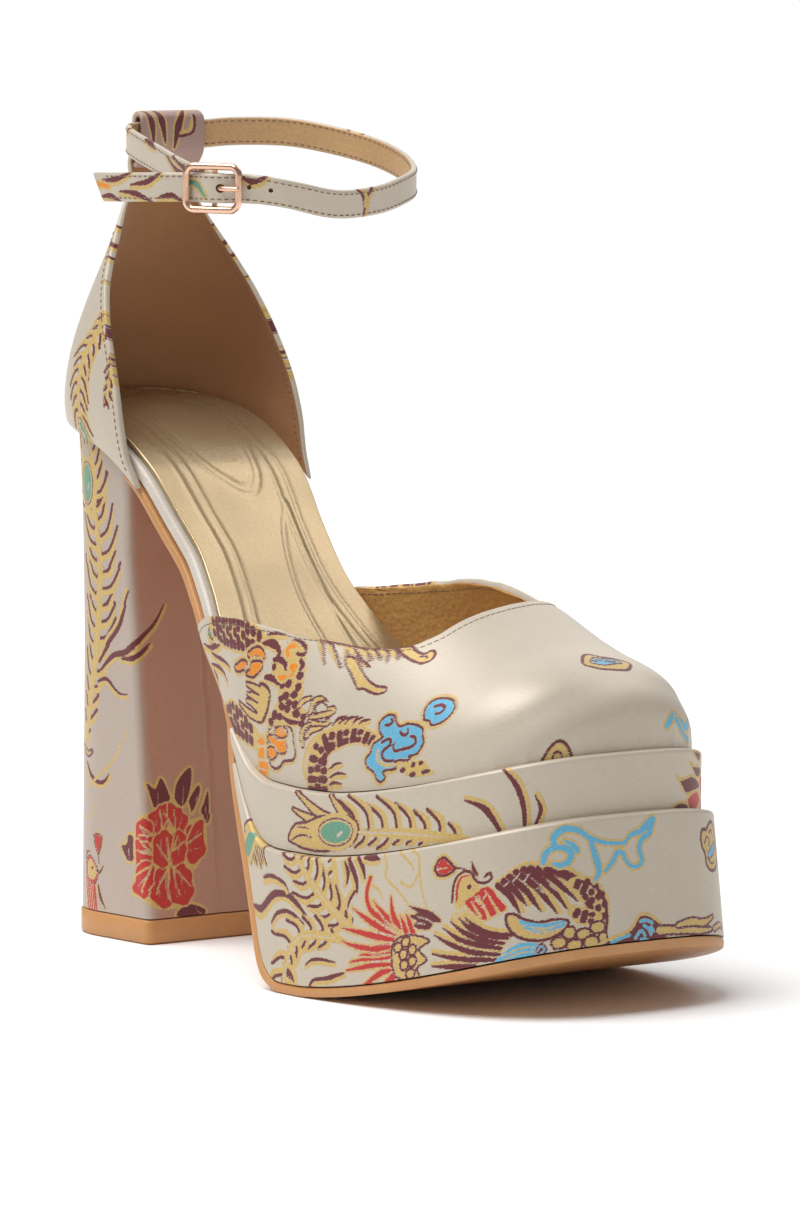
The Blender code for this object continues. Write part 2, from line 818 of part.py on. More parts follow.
def wire(name, points, radius, closed=False):
    """A round wire through points; a closed wire is a ring."""
    made = bmesh.new()
    rings = []
    count = len(points)
    for k, point in enumerate(points):
        before = points[k - 1] if closed or k else points[0]
        after = points[(k + 1) % count] if closed or k < count - 1 else points[-1]
        along = (after - before).normalized()
        up = Vector((0, 0, 1)) if abs(along.z) < 0.9 else Vector((1, 0, 0))
        first = along.cross(up).normalized()
        if closed:
            angle = math.radians(BUCKLE_ANGLE)
            first = Vector((math.cos(angle), math.sin(angle), 0.0))
        second = along.cross(first).normalized()
        rings.append(
            [
                made.verts.new(point + (first * math.cos(a) + second * math.sin(a)) * radius)
                for a in spread(0.0, 2 * math.pi, WIRE_SIDES)[:-1]
            ]
        )
    pairs = list(zip(rings, rings[1:])) + ([(rings[-1], rings[0])] if closed else [])
    for lower, upper in pairs:
        for k in range(WIRE_SIDES):
            after = (k + 1) % WIRE_SIDES
            made.faces.new((lower[k], lower[after], upper[after], upper[k]))
    if not closed:
        made.faces.new(rings[0][::-1])
        made.faces.new(rings[-1])
    return make_object(name, made, "rose_gold")


def buckle_frame():
    """A rounded rectangle of wire with a cross bar set back behind the strap."""
    half_length, half_height = BUCKLE_LENGTH / 2, BUCKLE_HEIGHT / 2
    places = []
    for turn, (sign_t, sign_w) in enumerate(((1, 1), (-1, 1), (-1, -1), (1, -1))):
        for angle in spread(turn * math.pi / 2, (turn + 1) * math.pi / 2, 4):
            places.append(
                (
                    sign_t * (half_length - BUCKLE_CORNER) + BUCKLE_CORNER * math.cos(angle),
                    0.0,
                    sign_w * (half_height - BUCKLE_CORNER) + BUCKLE_CORNER * math.sin(angle),
                )
            )
    frame = wire("buckle_frame", buckle_points(places), BUCKLE_WIRE, closed=True)
    bar_places = (
        (0.0, 0.0, -half_height),
        (0.0, -BUCKLE_BAR_DROP, 1.0 - half_height),
        (0.0, -BUCKLE_BAR_DROP, half_height - 1.0),
        (0.0, 0.0, half_height),
    )
    bar = wire("buckle_bar_join", buckle_points(bar_places), BUCKLE_BAR)
    bar.hide_render = True
    bar.display_type = "WIRE"
    join = frame.modifiers.new("cross_bar", "BOOLEAN")
    join.operation = "UNION"
    join.object = bar
    return frame


def buckle_prong():
    """The pin that comes through the strap and rests on the buckle's front rail."""
    rest = BUCKLE_WIRE + PRONG_WIRE + GAP
    places = (
        (1.55, -1.4, 0.0),
        (1.9, -0.6, 0.0),
        (2.3, 0.6, 0.0),
        (3.6, 1.7, 0.0),
        (5.6, rest, 0.0),
        (BUCKLE_LENGTH / 2 + 1.2, rest - 0.1, 0.0),
    )
    return wire("buckle_prong", buckle_points(places), PRONG_WIRE)


# Assembly


def clear_scene():
    for old in list(bpy.data.objects):
        bpy.data.objects.remove(old)


def centre_on_origin(pieces):
    """Hangs the pieces on one empty, so that the shoe stands on the floor round the origin."""
    corners = [Vector(corner) for piece in pieces for corner in piece.bound_box]
    middle = [(min(c[k] for c in corners) + max(c[k] for c in corners)) / 2 for k in (0, 1)]
    shoe = bpy.data.objects.new("shoe", None)
    bpy.context.scene.collection.objects.link(shoe)
    shoe.location = (-middle[0], -middle[1], 0.0)
    for piece in bpy.data.objects:
        if piece is not shoe:
            piece.parent = shoe


def main():
    clear_scene()
    pieces = [
        outsole(),
        lower_tier(),
        upper_tier(),
        insole_board(),
        sock(),
        vamp(),
        counter(),
        heel_block(),
        top_lift(),
        ankle_strap(),
        buckle_frame(),
        buckle_prong(),
    ]
    centre_on_origin(pieces)


main()
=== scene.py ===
"""Looks of the platform pump: woven figures, satin, leather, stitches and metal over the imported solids.

Sizes are in millimetres in the shoe's own frame, X from heel to toe, Y to the inner side, Z up.
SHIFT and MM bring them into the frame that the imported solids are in.
"""

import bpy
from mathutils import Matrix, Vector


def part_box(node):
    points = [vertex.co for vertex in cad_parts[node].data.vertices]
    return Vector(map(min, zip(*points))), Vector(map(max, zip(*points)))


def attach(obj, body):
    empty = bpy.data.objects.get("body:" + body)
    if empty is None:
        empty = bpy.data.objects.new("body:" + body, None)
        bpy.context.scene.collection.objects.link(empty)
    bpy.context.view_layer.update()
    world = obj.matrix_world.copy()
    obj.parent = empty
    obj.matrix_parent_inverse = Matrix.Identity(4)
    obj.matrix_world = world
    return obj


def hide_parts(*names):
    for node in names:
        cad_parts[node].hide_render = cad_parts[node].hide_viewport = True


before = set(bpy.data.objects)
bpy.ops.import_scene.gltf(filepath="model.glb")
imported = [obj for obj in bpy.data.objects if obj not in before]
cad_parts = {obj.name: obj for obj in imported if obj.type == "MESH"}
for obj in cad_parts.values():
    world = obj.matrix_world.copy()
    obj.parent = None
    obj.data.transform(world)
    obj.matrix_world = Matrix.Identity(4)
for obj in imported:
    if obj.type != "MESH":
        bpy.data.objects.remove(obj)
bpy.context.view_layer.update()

import copy
import math

import bmesh
import bpy
import numpy as np
from mathutils import Matrix, Vector
from mathutils.kdtree import KDTree

MM = 0.001
GAP = 0.3

# Sole and last, as in the solids
PLATFORM_HEIGHT = 49.0
OUTSOLE_THICKNESS = 2.3
LOWER_TIER_TOP = 33.5
TOE_SPRING = 17.5
ROLL_START_X = 144.0
ROLL_END_X = 222.0
ROLL_POWER = 1.5
TOP_LIFT_HEIGHT = 6.0
BOARD_THICKNESS = 3.4
SOCK_THICKNESS = 1.4
SOCK_INSET = 1.8
VAMP_WALL = 1.8
COUNTER_WALL = 1.8
TAB_WALL = 1.3
STRAP_WIDTH = 7.2
STRAP_THICKNESS = 1.4
VAMP_OUT = GAP + VAMP_WALL
UPPER_TIER_OUT = 5.0
LOWER_TIER_OUT = 7.9
LOWER_TIER_FLARE = 2.7
TIER_EDGE = 0.9
OUTSOLE_START_X = 46.4
ARCH_END_X = 97.0
ARCH_OUT = 0.6
BOARD_HEEL_X = 9.4
HEEL_ROUND_X = 34.0
HEEL_SQUARENESS = 2.2
BOARD_TOE_X = 203.2
TOE_ROUND_X = 170.0
TOE_SQUARENESS = 2.9
TOE_DROP_X = 185.0
TOE_DROP_SQUARENESS = 2.6
VAMP_TIP_EASE = 0.5
LOOP_RADIUS = 38.0
TAB_HALF = 9.3
HEEL_TOP_BACK = 11.6
HEEL_TOP_BREAST = 44.6
HEEL_TOP_HALF = 25.2
HEEL_BACK_SQUARENESS = 2.3
HEEL_BREAST_CORNER = 2.0
HEEL_ROUND_SHARE = 0.85
TOP_LIFT_OUT = 0.3
BUCKLE_ANGLE = math.radians(-64.5)
BUCKLE_MIDDLE = np.array([89.0, -33.2, 191.1])
BUCKLE_LENGTH = 14.2
BUCKLE_HEIGHT = 10.6
BUCKLE_WIRE = 0.9
BUCKLE_CORNER = 2.2
BUCKLE_BAR = 0.7
BUCKLE_BAR_DROP = 1.4
PRONG_WIRE = 0.6
STRAP_TIP_SLANT = 4.5

# Where the shoe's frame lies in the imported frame
LIFT_BACK_X = 13.0 - TOP_LIFT_OUT
lift_low, lift_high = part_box("top_lift")
SHIFT = np.array([lift_low.x / MM - LIFT_BACK_X, (lift_low.y + lift_high.y) / 2 / MM, 0.0])


class Table:
    """Rows of numbers under named columns. Each column reads as a smooth curve without overshoot."""

    def __init__(self, columns, *rows):
        self.names = columns.split()
        self.data = np.array(rows, float)

    def column(self, name):
        return self.data[:, self.names.index(name)]

    def at(self, name, where):
        keys, values = self.data[:, 0], self.column(name)
        where = np.clip(where, keys[0], keys[-1])
        i = np.clip(np.searchsorted(keys, where, side="right") - 1, 0, len(keys) - 2)
        width = np.diff(keys)
        slopes = np.diff(values) / width
        before, after = slopes[:-1], slopes[1:]
        same = before * after > 0
        inner = np.where(same, 2 * before * after / np.where(same, before + after, 1.0), 0.0)
        tangent = np.concatenate([slopes[:1], inner, slopes[-1:]])
        t = (where - keys[i]) / width[i]
        return (
            values[i] * (1 + 2 * t) * (1 - t) ** 2
            + width[i] * tangent[i] * t * (1 - t) ** 2
            + values[i + 1] * t * t * (3 - 2 * t)
            + width[i] * tangent[i + 1] * t * t * (t - 1)
        )


PLAN = Table(
    "x outer inner",
    (8, 25.8, 25.0),
    (34, 25.8, 25.0),
    (53, 26.0, 23.8),
    (68, 25.8, 20.2),
    (77, 28.0, 18.8),
    (87, 31.8, 20.8),
    (96, 33.6, 25.2),
    (107, 36.4, 30.6),
    (120, 38.4, 35.2),
    (136, 39.0, 37.4),
    (155, 38.0, 37.8),
    (175, 35.2, 36.2),
    (195, 32.0, 33.4),
    (207, 30.5, 32.0),
)
SEAT = Table(
    "x z",
    (4, 132.6),
    (8, 132.0),
    (20, 129.5),
    (36, 124.5),
    (50, 116.6),
    (62, 104.8),
    (73, 93.8),
    (82, 84.6),
    (92, 74.2),
    (100, 65.2),
    (108, 57.3),
    (116, 52.0),
    (124, 49.6),
    (134, PLATFORM_HEIGHT),
)
VAMP = Table(
    "x rise ridge square",
    (72, 67.0, 6.0, 2.5),
    (92, 63.0, 6.5, 2.5),
    (104, 61.0, 7.0, 2.45),
    (118, 58.5, 7.0, 2.35),
    (132, 54.5, 7.0, 2.25),
    (145, 49.5, 6.5, 2.15),
    (158, 44.0, 5.5, 2.15),
    (172, 35.5, 4.0, 2.2),
    (184, 28.6, 3.0, 2.35),
    (196, 23.8, 2.0, 2.6),
    (210, 21.5, 1.5, 2.8),
)
TOPLINE = Table(
    "turn x",
    (0, 84.0),
    (10, 95.0),
    (22, 106.0),
    (31, 116.5),
    (35.5, 127.5),
    (39, 137.0),
    (43, 148.0),
    (46, 154.5),
    (51, 159.0),
    (60, 161.5),
    (78, 162.0),
    (96, 160.3),
    (112, 156.0),
    (121, 147.0),
    (126, 135.5),
    (130, 126.0),
    (138, 115.8),
    (155, 103.0),
    (166, 94.8),
    (174, 87.0),
    (180, 78.5),
)
COUNTER = Table(
    "rise back half front centre sway",
    (0, 7.0, 28.2, 52.0, 34.0, 0.0),
    (4, 7.2, 29.0, 49.0, 34.0, 0.0),
    (11, 8.0, 29.4, 46.6, 34.6, 0.3),
    (19, 9.4, 28.8, 43.4, 36.0, 0.6),
    (30, 12.6, 26.6, 36.6, 38.0, 0.9),
    (41, 16.4, 23.6, 30.4, 41.0, 0.9),
    (52, 19.6, 19.6, 26.4, 43.0, 0.5),
    (60, 21.6, 16.8, 24.4, 43.0, 0.0),
)
TAB = Table(
    "step x z",
    (0, 23.0, 194.6),
    (1, 24.4, 198.2),
    (2, 24.6, 204.0),
    (3, 25.2, 206.4),
    (4, 27.2, 207.4),
    (5, 29.3, 206.4),
    (6, 29.9, 204.0),
    (7, 29.9, 198.0),
    (8, 28.6, 195.0),
    (9, 26.7, 193.2),
)
HEEL = Table(
    "z back breast half",
    (TOP_LIFT_HEIGHT + GAP, 13.0, 53.0, 23.6),
    (40, 13.0, 49.6, 23.4),
    (75, 13.2, 46.4, 23.6),
    (98, 13.2, 44.4, 24.4),
)
LOWER_TAIL = Table(
    "step top_x top_z low_x low_z out",
    (0, 107.6, 52.2, 106.9, 51.6, 3.6),
    (1, 110.9, 47.8, 109.5, 46.8, 4.2),
    (2, 114.5, 43.0, 112.9, 40.6, 4.8),
    (3, 118.3, 38.6, 117.5, 31.4, 5.4),
    (4, 122.2, 35.3, 122.5, 20.6, 6.0),
    (5, 127.0, 33.8, 127.5, 9.4, 6.6),
    (6, 131.0, LOWER_TIER_TOP, 130.9, 4.95, 7.0),
    (7, 136.0, LOWER_TIER_TOP, 135.5, 2.7, 7.4),
)
UPPER_TAIL = Table(
    "step top_x low_x low_z out",
    (0, 104.2, 104.6, 57.6, 3.0),
    (1, 108.2, 108.2, 52.7, 3.2),
    (2, 111.6, 111.3, 48.4, 3.6),
    (3, 115.2, 114.9, 43.5, 4.0),
    (4, 119.0, 118.7, 39.1, 4.4),
    (5, 123.0, 122.5, 35.8, 4.7),
    (6, 127.4, 127.1, 34.2, 4.9),
    (7, 134.0, 133.8, LOWER_TIER_TOP + GAP, UPPER_TIER_OUT),
)
REAR = Table(
    "step x z out",
    (0, 101.0, 61.4, 0.8),
    (1, 105.4, 53.4, 2.6),
    (2, 109.6, 45.8, 3.9),
    (3, 114.2, 37.4, 5.0),
    (4, 119.0, 27.4, 6.1),
    (5, 123.4, 17.6, 7.4),
    (6, 127.4, 8.6, 8.7),
    (7, 130.6, 4.4, 9.4),
    (8, 135.4, OUTSOLE_THICKNESS, 10.0),
)
STRAP = Table(
    "x y z lean",
    (88.7, -29.9, 191.1, 0),
    (79.5, -28.6, 191.9, 0),
    (66.0, -25.2, 193.8, 0),
    (52.0, -20.8, 196.2, 0),
    (40.0, -17.8, 198.6, 0),
    (33.2, -15.6, 200.0, 0),
    (29.8, -13.0, 200.8, 0),
    (28.5, -10.0, 201.0, 0),
    (27.5, -5.0, 201.1, 0),
    (27.2, 0.0, 201.2, 0),
    (27.5, 5.0, 201.2, 0),
    (28.5, 10.0, 201.3, 0),
    (32.4, 19.0, 202.0, 0),
    (41.0, 29.1, 201.8, 0),
    (52.6, 35.7, 199.8, 0),
    (65.8, 38.0, 197.2, 0),
    (79.1, 35.7, 194.2, 0),
    (90.7, 29.1, 191.6, 0),
    (99.3, 19.0, 190.0, 0),
    (103.9, 6.6, 187.9, 6),
    (104.4, -6.6, 187.2, 14),
    (101.4, -18.4, 189.6, 22),
    (98.1, -24.0, 190.7, 12),
    (95.7, -26.5, 191.0, 2),
    (94.5, -28.1, 191.1, 0),
    (92.3, -30.9, 191.1, 0),
    (90.0, -33.0, 191.1, 0),
    (87.7, -34.0, 191.1, 0),
    (85.0, -34.1, 191.1, 0),
    (81.8, -34.5, 191.1, 0),
    (79.1, -35.6, 191.0, 0),
    (73.4, -37.4, 190.8, 0),
    (65.2, -38.8, 190.5, 0),
    (57.0, -39.2, 190.2, 0),
    (51.6, -39.0, 190.0, 0),
)


# Curves


def rounded(share, squareness):
    """Height of a rounded corner, 1 where the share is 0 and 0 where it is 1."""
    share = np.clip(share, 0.0, 1.0)
    return (1.0 - share**squareness) ** (1.0 / squareness)


def arc_lengths(line):
    """Length along a polyline at each of its points."""
    return np.concatenate([[0.0], np.cumsum(np.linalg.norm(np.diff(line, axis=0), axis=1))])


def at_lengths(line, along, where):
    """Points of a polyline at given lengths along it."""
    return np.stack([np.interp(where, along, line[:, k]) for k in range(line.shape[1])], axis=-1)


def resampled(line, count):
    """The same polyline with count + 1 evenly spaced points."""
    along = arc_lengths(line)
    return at_lengths(line, along, np.linspace(0.0, along[-1], count + 1))


def circle(count):
    """Evenly spaced angles once round."""
    return np.linspace(0.0, 2 * math.pi, count, endpoint=False)


def smoothed(rows, per):
    """A smooth curve through rows of points, with per steps between two of them."""
    rows = np.asarray(rows, float)
    before = np.concatenate([rows[:1], rows[:-2]])
    after = np.concatenate([rows[2:], rows[-1:]])
    first, last = rows[:-1], rows[1:]
    parts = []
    for t in np.arange(per) / per:
        pull = (last - before) * 0.5 * t * (1 - t) ** 2
        push = (after - first) * 0.5 * t * t * (t - 1)
        parts.append(first * (1 + 2 * t) * (1 - t) ** 2 + last * t * t * (3 - 2 * t) + pull + push)
    mixed = np.stack(parts, axis=1).reshape((-1,) + rows.shape[1:])
    return np.concatenate([mixed, rows[-1:]])


def unit(vectors):
    """The same directions, each of length 1."""
    return vectors / np.maximum(np.linalg.norm(vectors, axis=-1, keepdims=True), 1e-9)


# The last


def rocker(x):
    """How far the toe spring lifts the sole."""
    share = np.maximum(0.0, (x - ROLL_START_X) / (ROLL_END_X - ROLL_START_X))
    return TOE_SPRING * share**ROLL_POWER


def board_under(x):
    """Height of the insole board's underside."""
    return SEAT.at("z", x) + rocker(x)


def half_breadth(x, side, out=0.0):
    """Half breadth of the last in plan on one side, grown outwards by a distance."""
    heel = (HEEL_ROUND_X - x) / (HEEL_ROUND_X - BOARD_HEEL_X + out)
    toe = (x - TOE_ROUND_X) / (BOARD_TOE_X - TOE_ROUND_X + out)
    return (PLAN.at(side, x) + out) * rounded(heel, HEEL_SQUARENESS) * rounded(toe, TOE_SQUARENESS)


def toe_edge(angle, side, out):
    """Plan point of an edge in the rounded toe; the angle is 0 at the side and a right angle at the tip."""
    power = 2.0 / TOE_SQUARENESS
    x = TOE_ROUND_X + (BOARD_TOE_X + out - TOE_ROUND_X) * np.sin(angle) ** power
    return x, (PLAN.at(side, x) + out) * np.maximum(np.cos(angle), 0.0) ** power


def on_profile(x, lift):
    """Side-view points a given height above the board's underside, measured square to it."""
    slope = board_under(x + 0.5) - board_under(x - 0.5)
    normal = unit(np.stack([-slope, np.zeros_like(x), np.ones_like(x)], axis=-1))
    return np.stack([x, np.zeros_like(x), board_under(x)], axis=-1) + normal * lift


ROUND_STATIONS = 60
LAST_TOE_ANGLE = 88.0


def toe_angles():
    """Angles round the toe, ending just before its tip."""
    return np.radians(np.linspace(0.0, LAST_TOE_ANGLE, ROUND_STATIONS))


def board_stations(first, tip, count):
    """Stations from the heel end to the toe tip, closer together where the outline turns round."""
    heel = np.radians(np.linspace(2.5, 90.0, ROUND_STATIONS))
    toe = toe_angles()
    back = HEEL_ROUND_X - (HEEL_ROUND_X - first) * np.cos(heel) ** (2.0 / HEEL_SQUARENESS)
    front = TOE_ROUND_X + (tip - TOE_ROUND_X) * np.sin(toe) ** (2.0 / TOE_SQUARENESS)
    middle = np.linspace(HEEL_ROUND_X, TOE_ROUND_X, count)[1:-1]
    return np.concatenate([back, middle, front])


# Meshes


MERGE_DISTANCE = 1e-7
SHARP_ANGLE = math.radians(50.0)


class Piece:
    """Vertices and faces of one piece. Each face has a material number."""

    def __init__(self, name):
        self.name = name
        self.points = []
        self.faces = []
        self.slots = []
        self.count = 0
        self.dressed = []
        self.copies = []

    def add(self, points):
        points = np.asarray(points, float).reshape(-1, 3)
        numbers = np.arange(self.count, self.count + len(points))
        self.points.append(points)
        self.count += len(points)
        return numbers

    def face(self, corners, slot):
        self.faces.append(tuple(int(c) for c in corners))
        self.slots.append(slot)

    def quads(self, a, b, c, d, slot):
        made = np.stack([a, b, c, d], axis=-1).reshape(-1, 4)
        self.faces.extend(map(tuple, made.tolist()))
        self.slots.extend([slot] * len(made))

    def grid(self, rows, slot):
        """Quads over rows of points. Gives the vertex numbers back in rows."""
        rows = np.asarray(rows, float)
        n = self.add(rows).reshape(rows.shape[:2])
        self.quads(n[:-1, :-1], n[:-1, 1:], n[1:, 1:], n[1:, :-1], slot)
        return n

    def tube(self, rings, slot, closed=False):
        """Quads through closed rings of points; the ends are capped unless the tube is a ring itself."""
        rings = np.asarray(rings, float)
        n = self.add(rings).reshape(rings.shape[:2])
        around = np.roll(n, -1, axis=1)
        self.quads(n[:-1], around[:-1], around[1:], n[1:], slot)
        if closed:
            self.quads(n[-1], around[-1], around[0], n[0], slot)
        else:
            self.face(n[0][::-1], slot)
            self.face(n[-1], slot)
        return n

    def strip(self, a, b, slot):
        """Quads between two rows of vertices of the same length."""
        self.quads(a[:-1], a[1:], b[1:], b[:-1], slot)

    def zip(self, a, b, slot):
        """Triangles between two closed loops of vertices that start side by side."""
        a = np.append(a, a[0])
        b = np.append(b, b[0])
        i = j = 0
        while i < len(a) - 1 or j < len(b) - 1:
            ahead = (i + 1) / (len(a) - 1) <= (j + 1) / (len(b) - 1)
            if j == len(b) - 1 or (ahead and i < len(a) - 1):
                self.face((a[i], a[i + 1], b[j]), slot)
                i += 1
            else:
                self.face((a[i], b[j + 1], b[j]), slot)
                j += 1

    def dress(self, numbers, chart):
        """Gives these vertices their place on the cloth and their distances to the woven figures."""
        self.dressed.append((np.asarray(numbers).ravel(), chart))

    def cloth_layers(self, points):
        """Values for every vertex: place on the cloth, and distances to the figures in each thread."""
        cloth = np.stack([points[:, 0], points[:, 2], np.zeros(len(points))], axis=1)
        first = np.full((len(points), 3), FAR)
        second = np.full((len(points), 3), FAR)
        for numbers, chart in self.dressed:
            cloth[numbers, :2] = chart.places
            # The third number is the share of painted shade
            cloth[numbers, 2] = chart.painted_shade_share
            first[numbers] = np.stack([chart.fields[name] for name in THREADS[:3]], axis=1)
            second[numbers] = np.stack([chart.fields[name] for name in THREADS[3:]], axis=1)
        layers = {"cloth": cloth, "threads_a": first, "threads_b": second}
        for twins, sources in self.copies:
            for values in layers.values():
                values[twins] = values[sources]
        return layers

    def build(self, materials, slot, *nodes):
        """The finished object: in place, shaded smooth, riding on the shoe."""
        mesh = bpy.data.meshes.new(self.name)
        shoe_points = np.concatenate(self.points)
        points = (shoe_points + SHIFT) * MM
        mesh.from_pydata(points.tolist(), [], self.faces)
        if self.dressed:
            for name, values in self.cloth_layers(shoe_points).items():
                layer = mesh.attributes.new(name, "FLOAT_VECTOR", "POINT")
                layer.data.foreach_set("vector", values.ravel())
        mesh.polygons.foreach_set("material_index", self.slots)
        for material in materials:
            mesh.materials.append(material)
        work = bmesh.new()
        work.from_mesh(mesh)
        bmesh.ops.remove_doubles(work, verts=work.verts, dist=MERGE_DISTANCE)
        bmesh.ops.recalc_face_normals(work, faces=work.faces)
        work.to_mesh(mesh)
        work.free()
        mesh.shade_smooth()
        mesh.set_sharp_from_angle(angle=SHARP_ANGLE)
        made = bpy.data.objects.new(self.name, mesh)
        bpy.context.scene.collection.objects.link(made)
        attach(made, "root")
        if nodes:
            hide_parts(*nodes)


def surface_normals(rows):
    """Unit normals of a grid of points."""
    along = np.gradient(rows, axis=1)
    across = np.gradient(rows, axis=0)
    return unit(np.cross(along, across))


def border_loop(n):
    """Numbers round the edge of a grid, in order."""
    return np.concatenate([n[0, :-1], n[:-1, -1], n[-1, :0:-1], n[:0:-1, 0]])


def border_out(rows):
    """Directions that point out of a grid's edge, in the order of border_loop."""
    out = np.zeros_like(rows)
    out[0] += unit(rows[0] - rows[1])
    out[-1] += unit(rows[-1] - rows[-2])
    out[:, 0] += unit(rows[:, 0] - rows[:, 1])
    out[:, -1] += unit(rows[:, -1] - rows[:, -2])
    return unit(out)


RIM_STEPS = 6
RIM_ROUND = 0.8
LINING_EVERY = 4
# The third material number is the dark suede of the strap's blind holes, painted shade where a hole would
# show through
OUTSIDE, LINING, HOLE_SHADE = 0, 1, 2


def shell(piece, outer, inner, bulge):
    """A closed wall. bulge says how round the rim is at each edge point, 0 flat and 1 half round."""
    grid = piece.grid(outer, OUTSIDE)
    loop = border_loop(grid)
    edge = border_loop(np.arange(grid.size).reshape(grid.shape))

    def at_rim(values):
        return values.reshape(-1, values.shape[-1])[edge]

    first, last = at_rim(outer), at_rim(inner)
    out = at_rim(border_out(outer)) * at_rim(bulge[..., None])
    middle, half = (first + last) / 2, (first - last) / 2
    radius = np.linalg.norm(half, axis=1, keepdims=True)
    chain = loop
    for step in range(1, RIM_STEPS + 1):
        angle = math.pi * step / RIM_STEPS
        ring = piece.add(middle + half * math.cos(angle) + out * radius * math.sin(angle))
        around, after = np.roll(chain, -1), np.roll(ring, -1)
        piece.quads(chain, around, after, ring, OUTSIDE if step < RIM_STEPS else LINING)
        piece.copies.append((ring, loop))
        chain = ring
    sparse = inner[2:-2:LINING_EVERY, 2:-2:LINING_EVERY]
    lining = piece.grid(sparse, LINING)
    piece.zip(chain, border_loop(lining), LINING)
    return grid


# Panels: each gives rows of points and the panel's own coordinates in millimetres


def vamp_tip(inset):
    """Where the vamp's foremost section ends."""
    return BOARD_TOE_X + VAMP_OUT + VAMP_TIP_EASE - inset


def vamp_point(x, turn, inset):
    """Points of the vamp's wall; turn is 0 at the outer edge of a section and 180 at the inner edge."""
    tip = vamp_tip(inset)
    x = np.minimum(x, tip)
    square = VAMP.at("square", x)
    outer_side = turn < 90
    toe = rounded((x - TOE_ROUND_X) / (tip - TOE_ROUND_X), TOE_SQUARENESS)
    breadth = np.where(outer_side, PLAN.at("outer", x), PLAN.at("inner", x))
    half = (breadth + VAMP_OUT - inset) * toe
    drop = rounded((x - TOE_DROP_X) / (tip - TOE_DROP_X), TOE_DROP_SQUARENESS)
    rise = (VAMP.at("rise", x) - inset) * drop
    ridge = VAMP.at("ridge", x) * toe
    sign = np.where(outer_side, -1.0, 1.0)
    angle = np.radians(turn)
    across = np.abs(np.cos(angle)) ** (2.0 / square)
    up = np.abs(np.sin(angle)) ** (2.0 / square)
    return np.stack([x, ridge + sign * (half - sign * ridge) * across, board_under(x) + rise * up], axis=-1)


VAMP_COLUMNS = 300
VAMP_ROWS = 262
VAMP_BASE_STEPS = 1600
EVEN_SECTION_X = 150.0
OUTER_COLUMNS = 0.66


def vamp_turns():
    """Directions round the section: evenly spaced on each half, closer on the figured outer half."""
    turns = np.linspace(0.0, 180.0, 2000)
    along = arc_lengths(vamp_point(np.full_like(turns, EVEN_SECTION_X), turns, 0.0))
    columns = np.linspace(0.0, 1.0, VAMP_COLUMNS + 1)
    return np.interp(
        np.interp(columns, (0.0, OUTER_COLUMNS, 1.0), (0.0, 0.5, 1.0)),
        along / along[-1],
        turns,
    )


def vamp_grid(inset):
    """Rows from the topline to the toe, evenly spaced down each column."""
    tip = vamp_tip(inset)
    share = np.sin(np.linspace(0.0, math.pi / 2, 500)) ** 0.9
    columns = []
    for turn in vamp_turns():
        start = TOPLINE.at("x", turn)
        xs = start + (tip - start) * share
        columns.append(resampled(vamp_point(xs, np.full_like(xs, turn), inset), VAMP_ROWS))
    return np.stack(columns, axis=1)


PLAN_ONLY = (1.0, 1.0, 0.0)


def point_tree(points):
    """A tree that finds the nearest of some points."""
    tree = KDTree(len(points))
    for k, point in enumerate(points):
        tree.insert(point, k)
    tree.balance()
    return tree


def outline_coordinates(rows, base):
    """Length along a base line to its point nearest in plan, and straight distance from that point."""
    tree = point_tree(base * PLAN_ONLY)
    along = arc_lengths(base)
    flat = rows.reshape(-1, 3)
    nearest = np.array([tree.find(point)[1] for point in flat * PLAN_ONLY])
    u = along[nearest]
    v = np.linalg.norm(flat - base[nearest], axis=1)
    return u.reshape(rows.shape[:2]), v.reshape(rows.shape[:2])


def vamp_base(rows):
    """The vamp's lower edge from the outer rear corner round the toe to the inner rear corner."""
    line = np.concatenate([rows[:, 0], rows[::-1, -1]])
    return resampled(line, VAMP_BASE_STEPS)


COUNTER_COLUMNS = 230
COUNTER_ROWS = 250
COUNTER_HEIGHTS = (0, 2, 4, 7, 11, 15, 19, 24, 30, 36, 41, 47, 52, 56, 60)
COUNTER_STEPS = 24


def counter_row(rise):
    """Plan of the heel cup at a height over the seat, from its outer front round the back."""
    back, half, front, centre, sway = (
        float(COUNTER.at(name, rise)) for name in ("back", "half", "front", "centre", "sway")
    )
    power = 2.0 / HEEL_SQUARENESS
    wrap = math.pi / 2
    if front < centre:
        wrap = math.acos(((centre - front) / (centre - back)) ** (1.0 / power))
    angle = np.linspace(0.0, wrap, 200)
    line = np.stack(
        [centre - (centre - back) * np.abs(np.cos(angle)) ** power, half * np.sin(angle) ** power], axis=1
    )
    if front > centre + 0.1:
        straight = np.linspace(centre, front, 7)[1:]
        line = np.concatenate([line, np.stack([straight, np.full(6, half)], axis=1)])
    side = resampled(line, COUNTER_COLUMNS // 2)
    outline = np.concatenate([side[:0:-1] * (1, -1), side])
    return np.stack([outline[:, 0], outline[:, 1] + sway, board_under(outline[:, 0]) + rise], axis=1)


def tab_row(x, z):
    """A row of the strap loop, bowed round the ankle."""
    y = np.linspace(-TAB_HALF, TAB_HALF, COUNTER_COLUMNS + 1)
    return np.stack([x + y * y / (2.0 * LOOP_RADIUS), y, np.full_like(y, z)], axis=1)


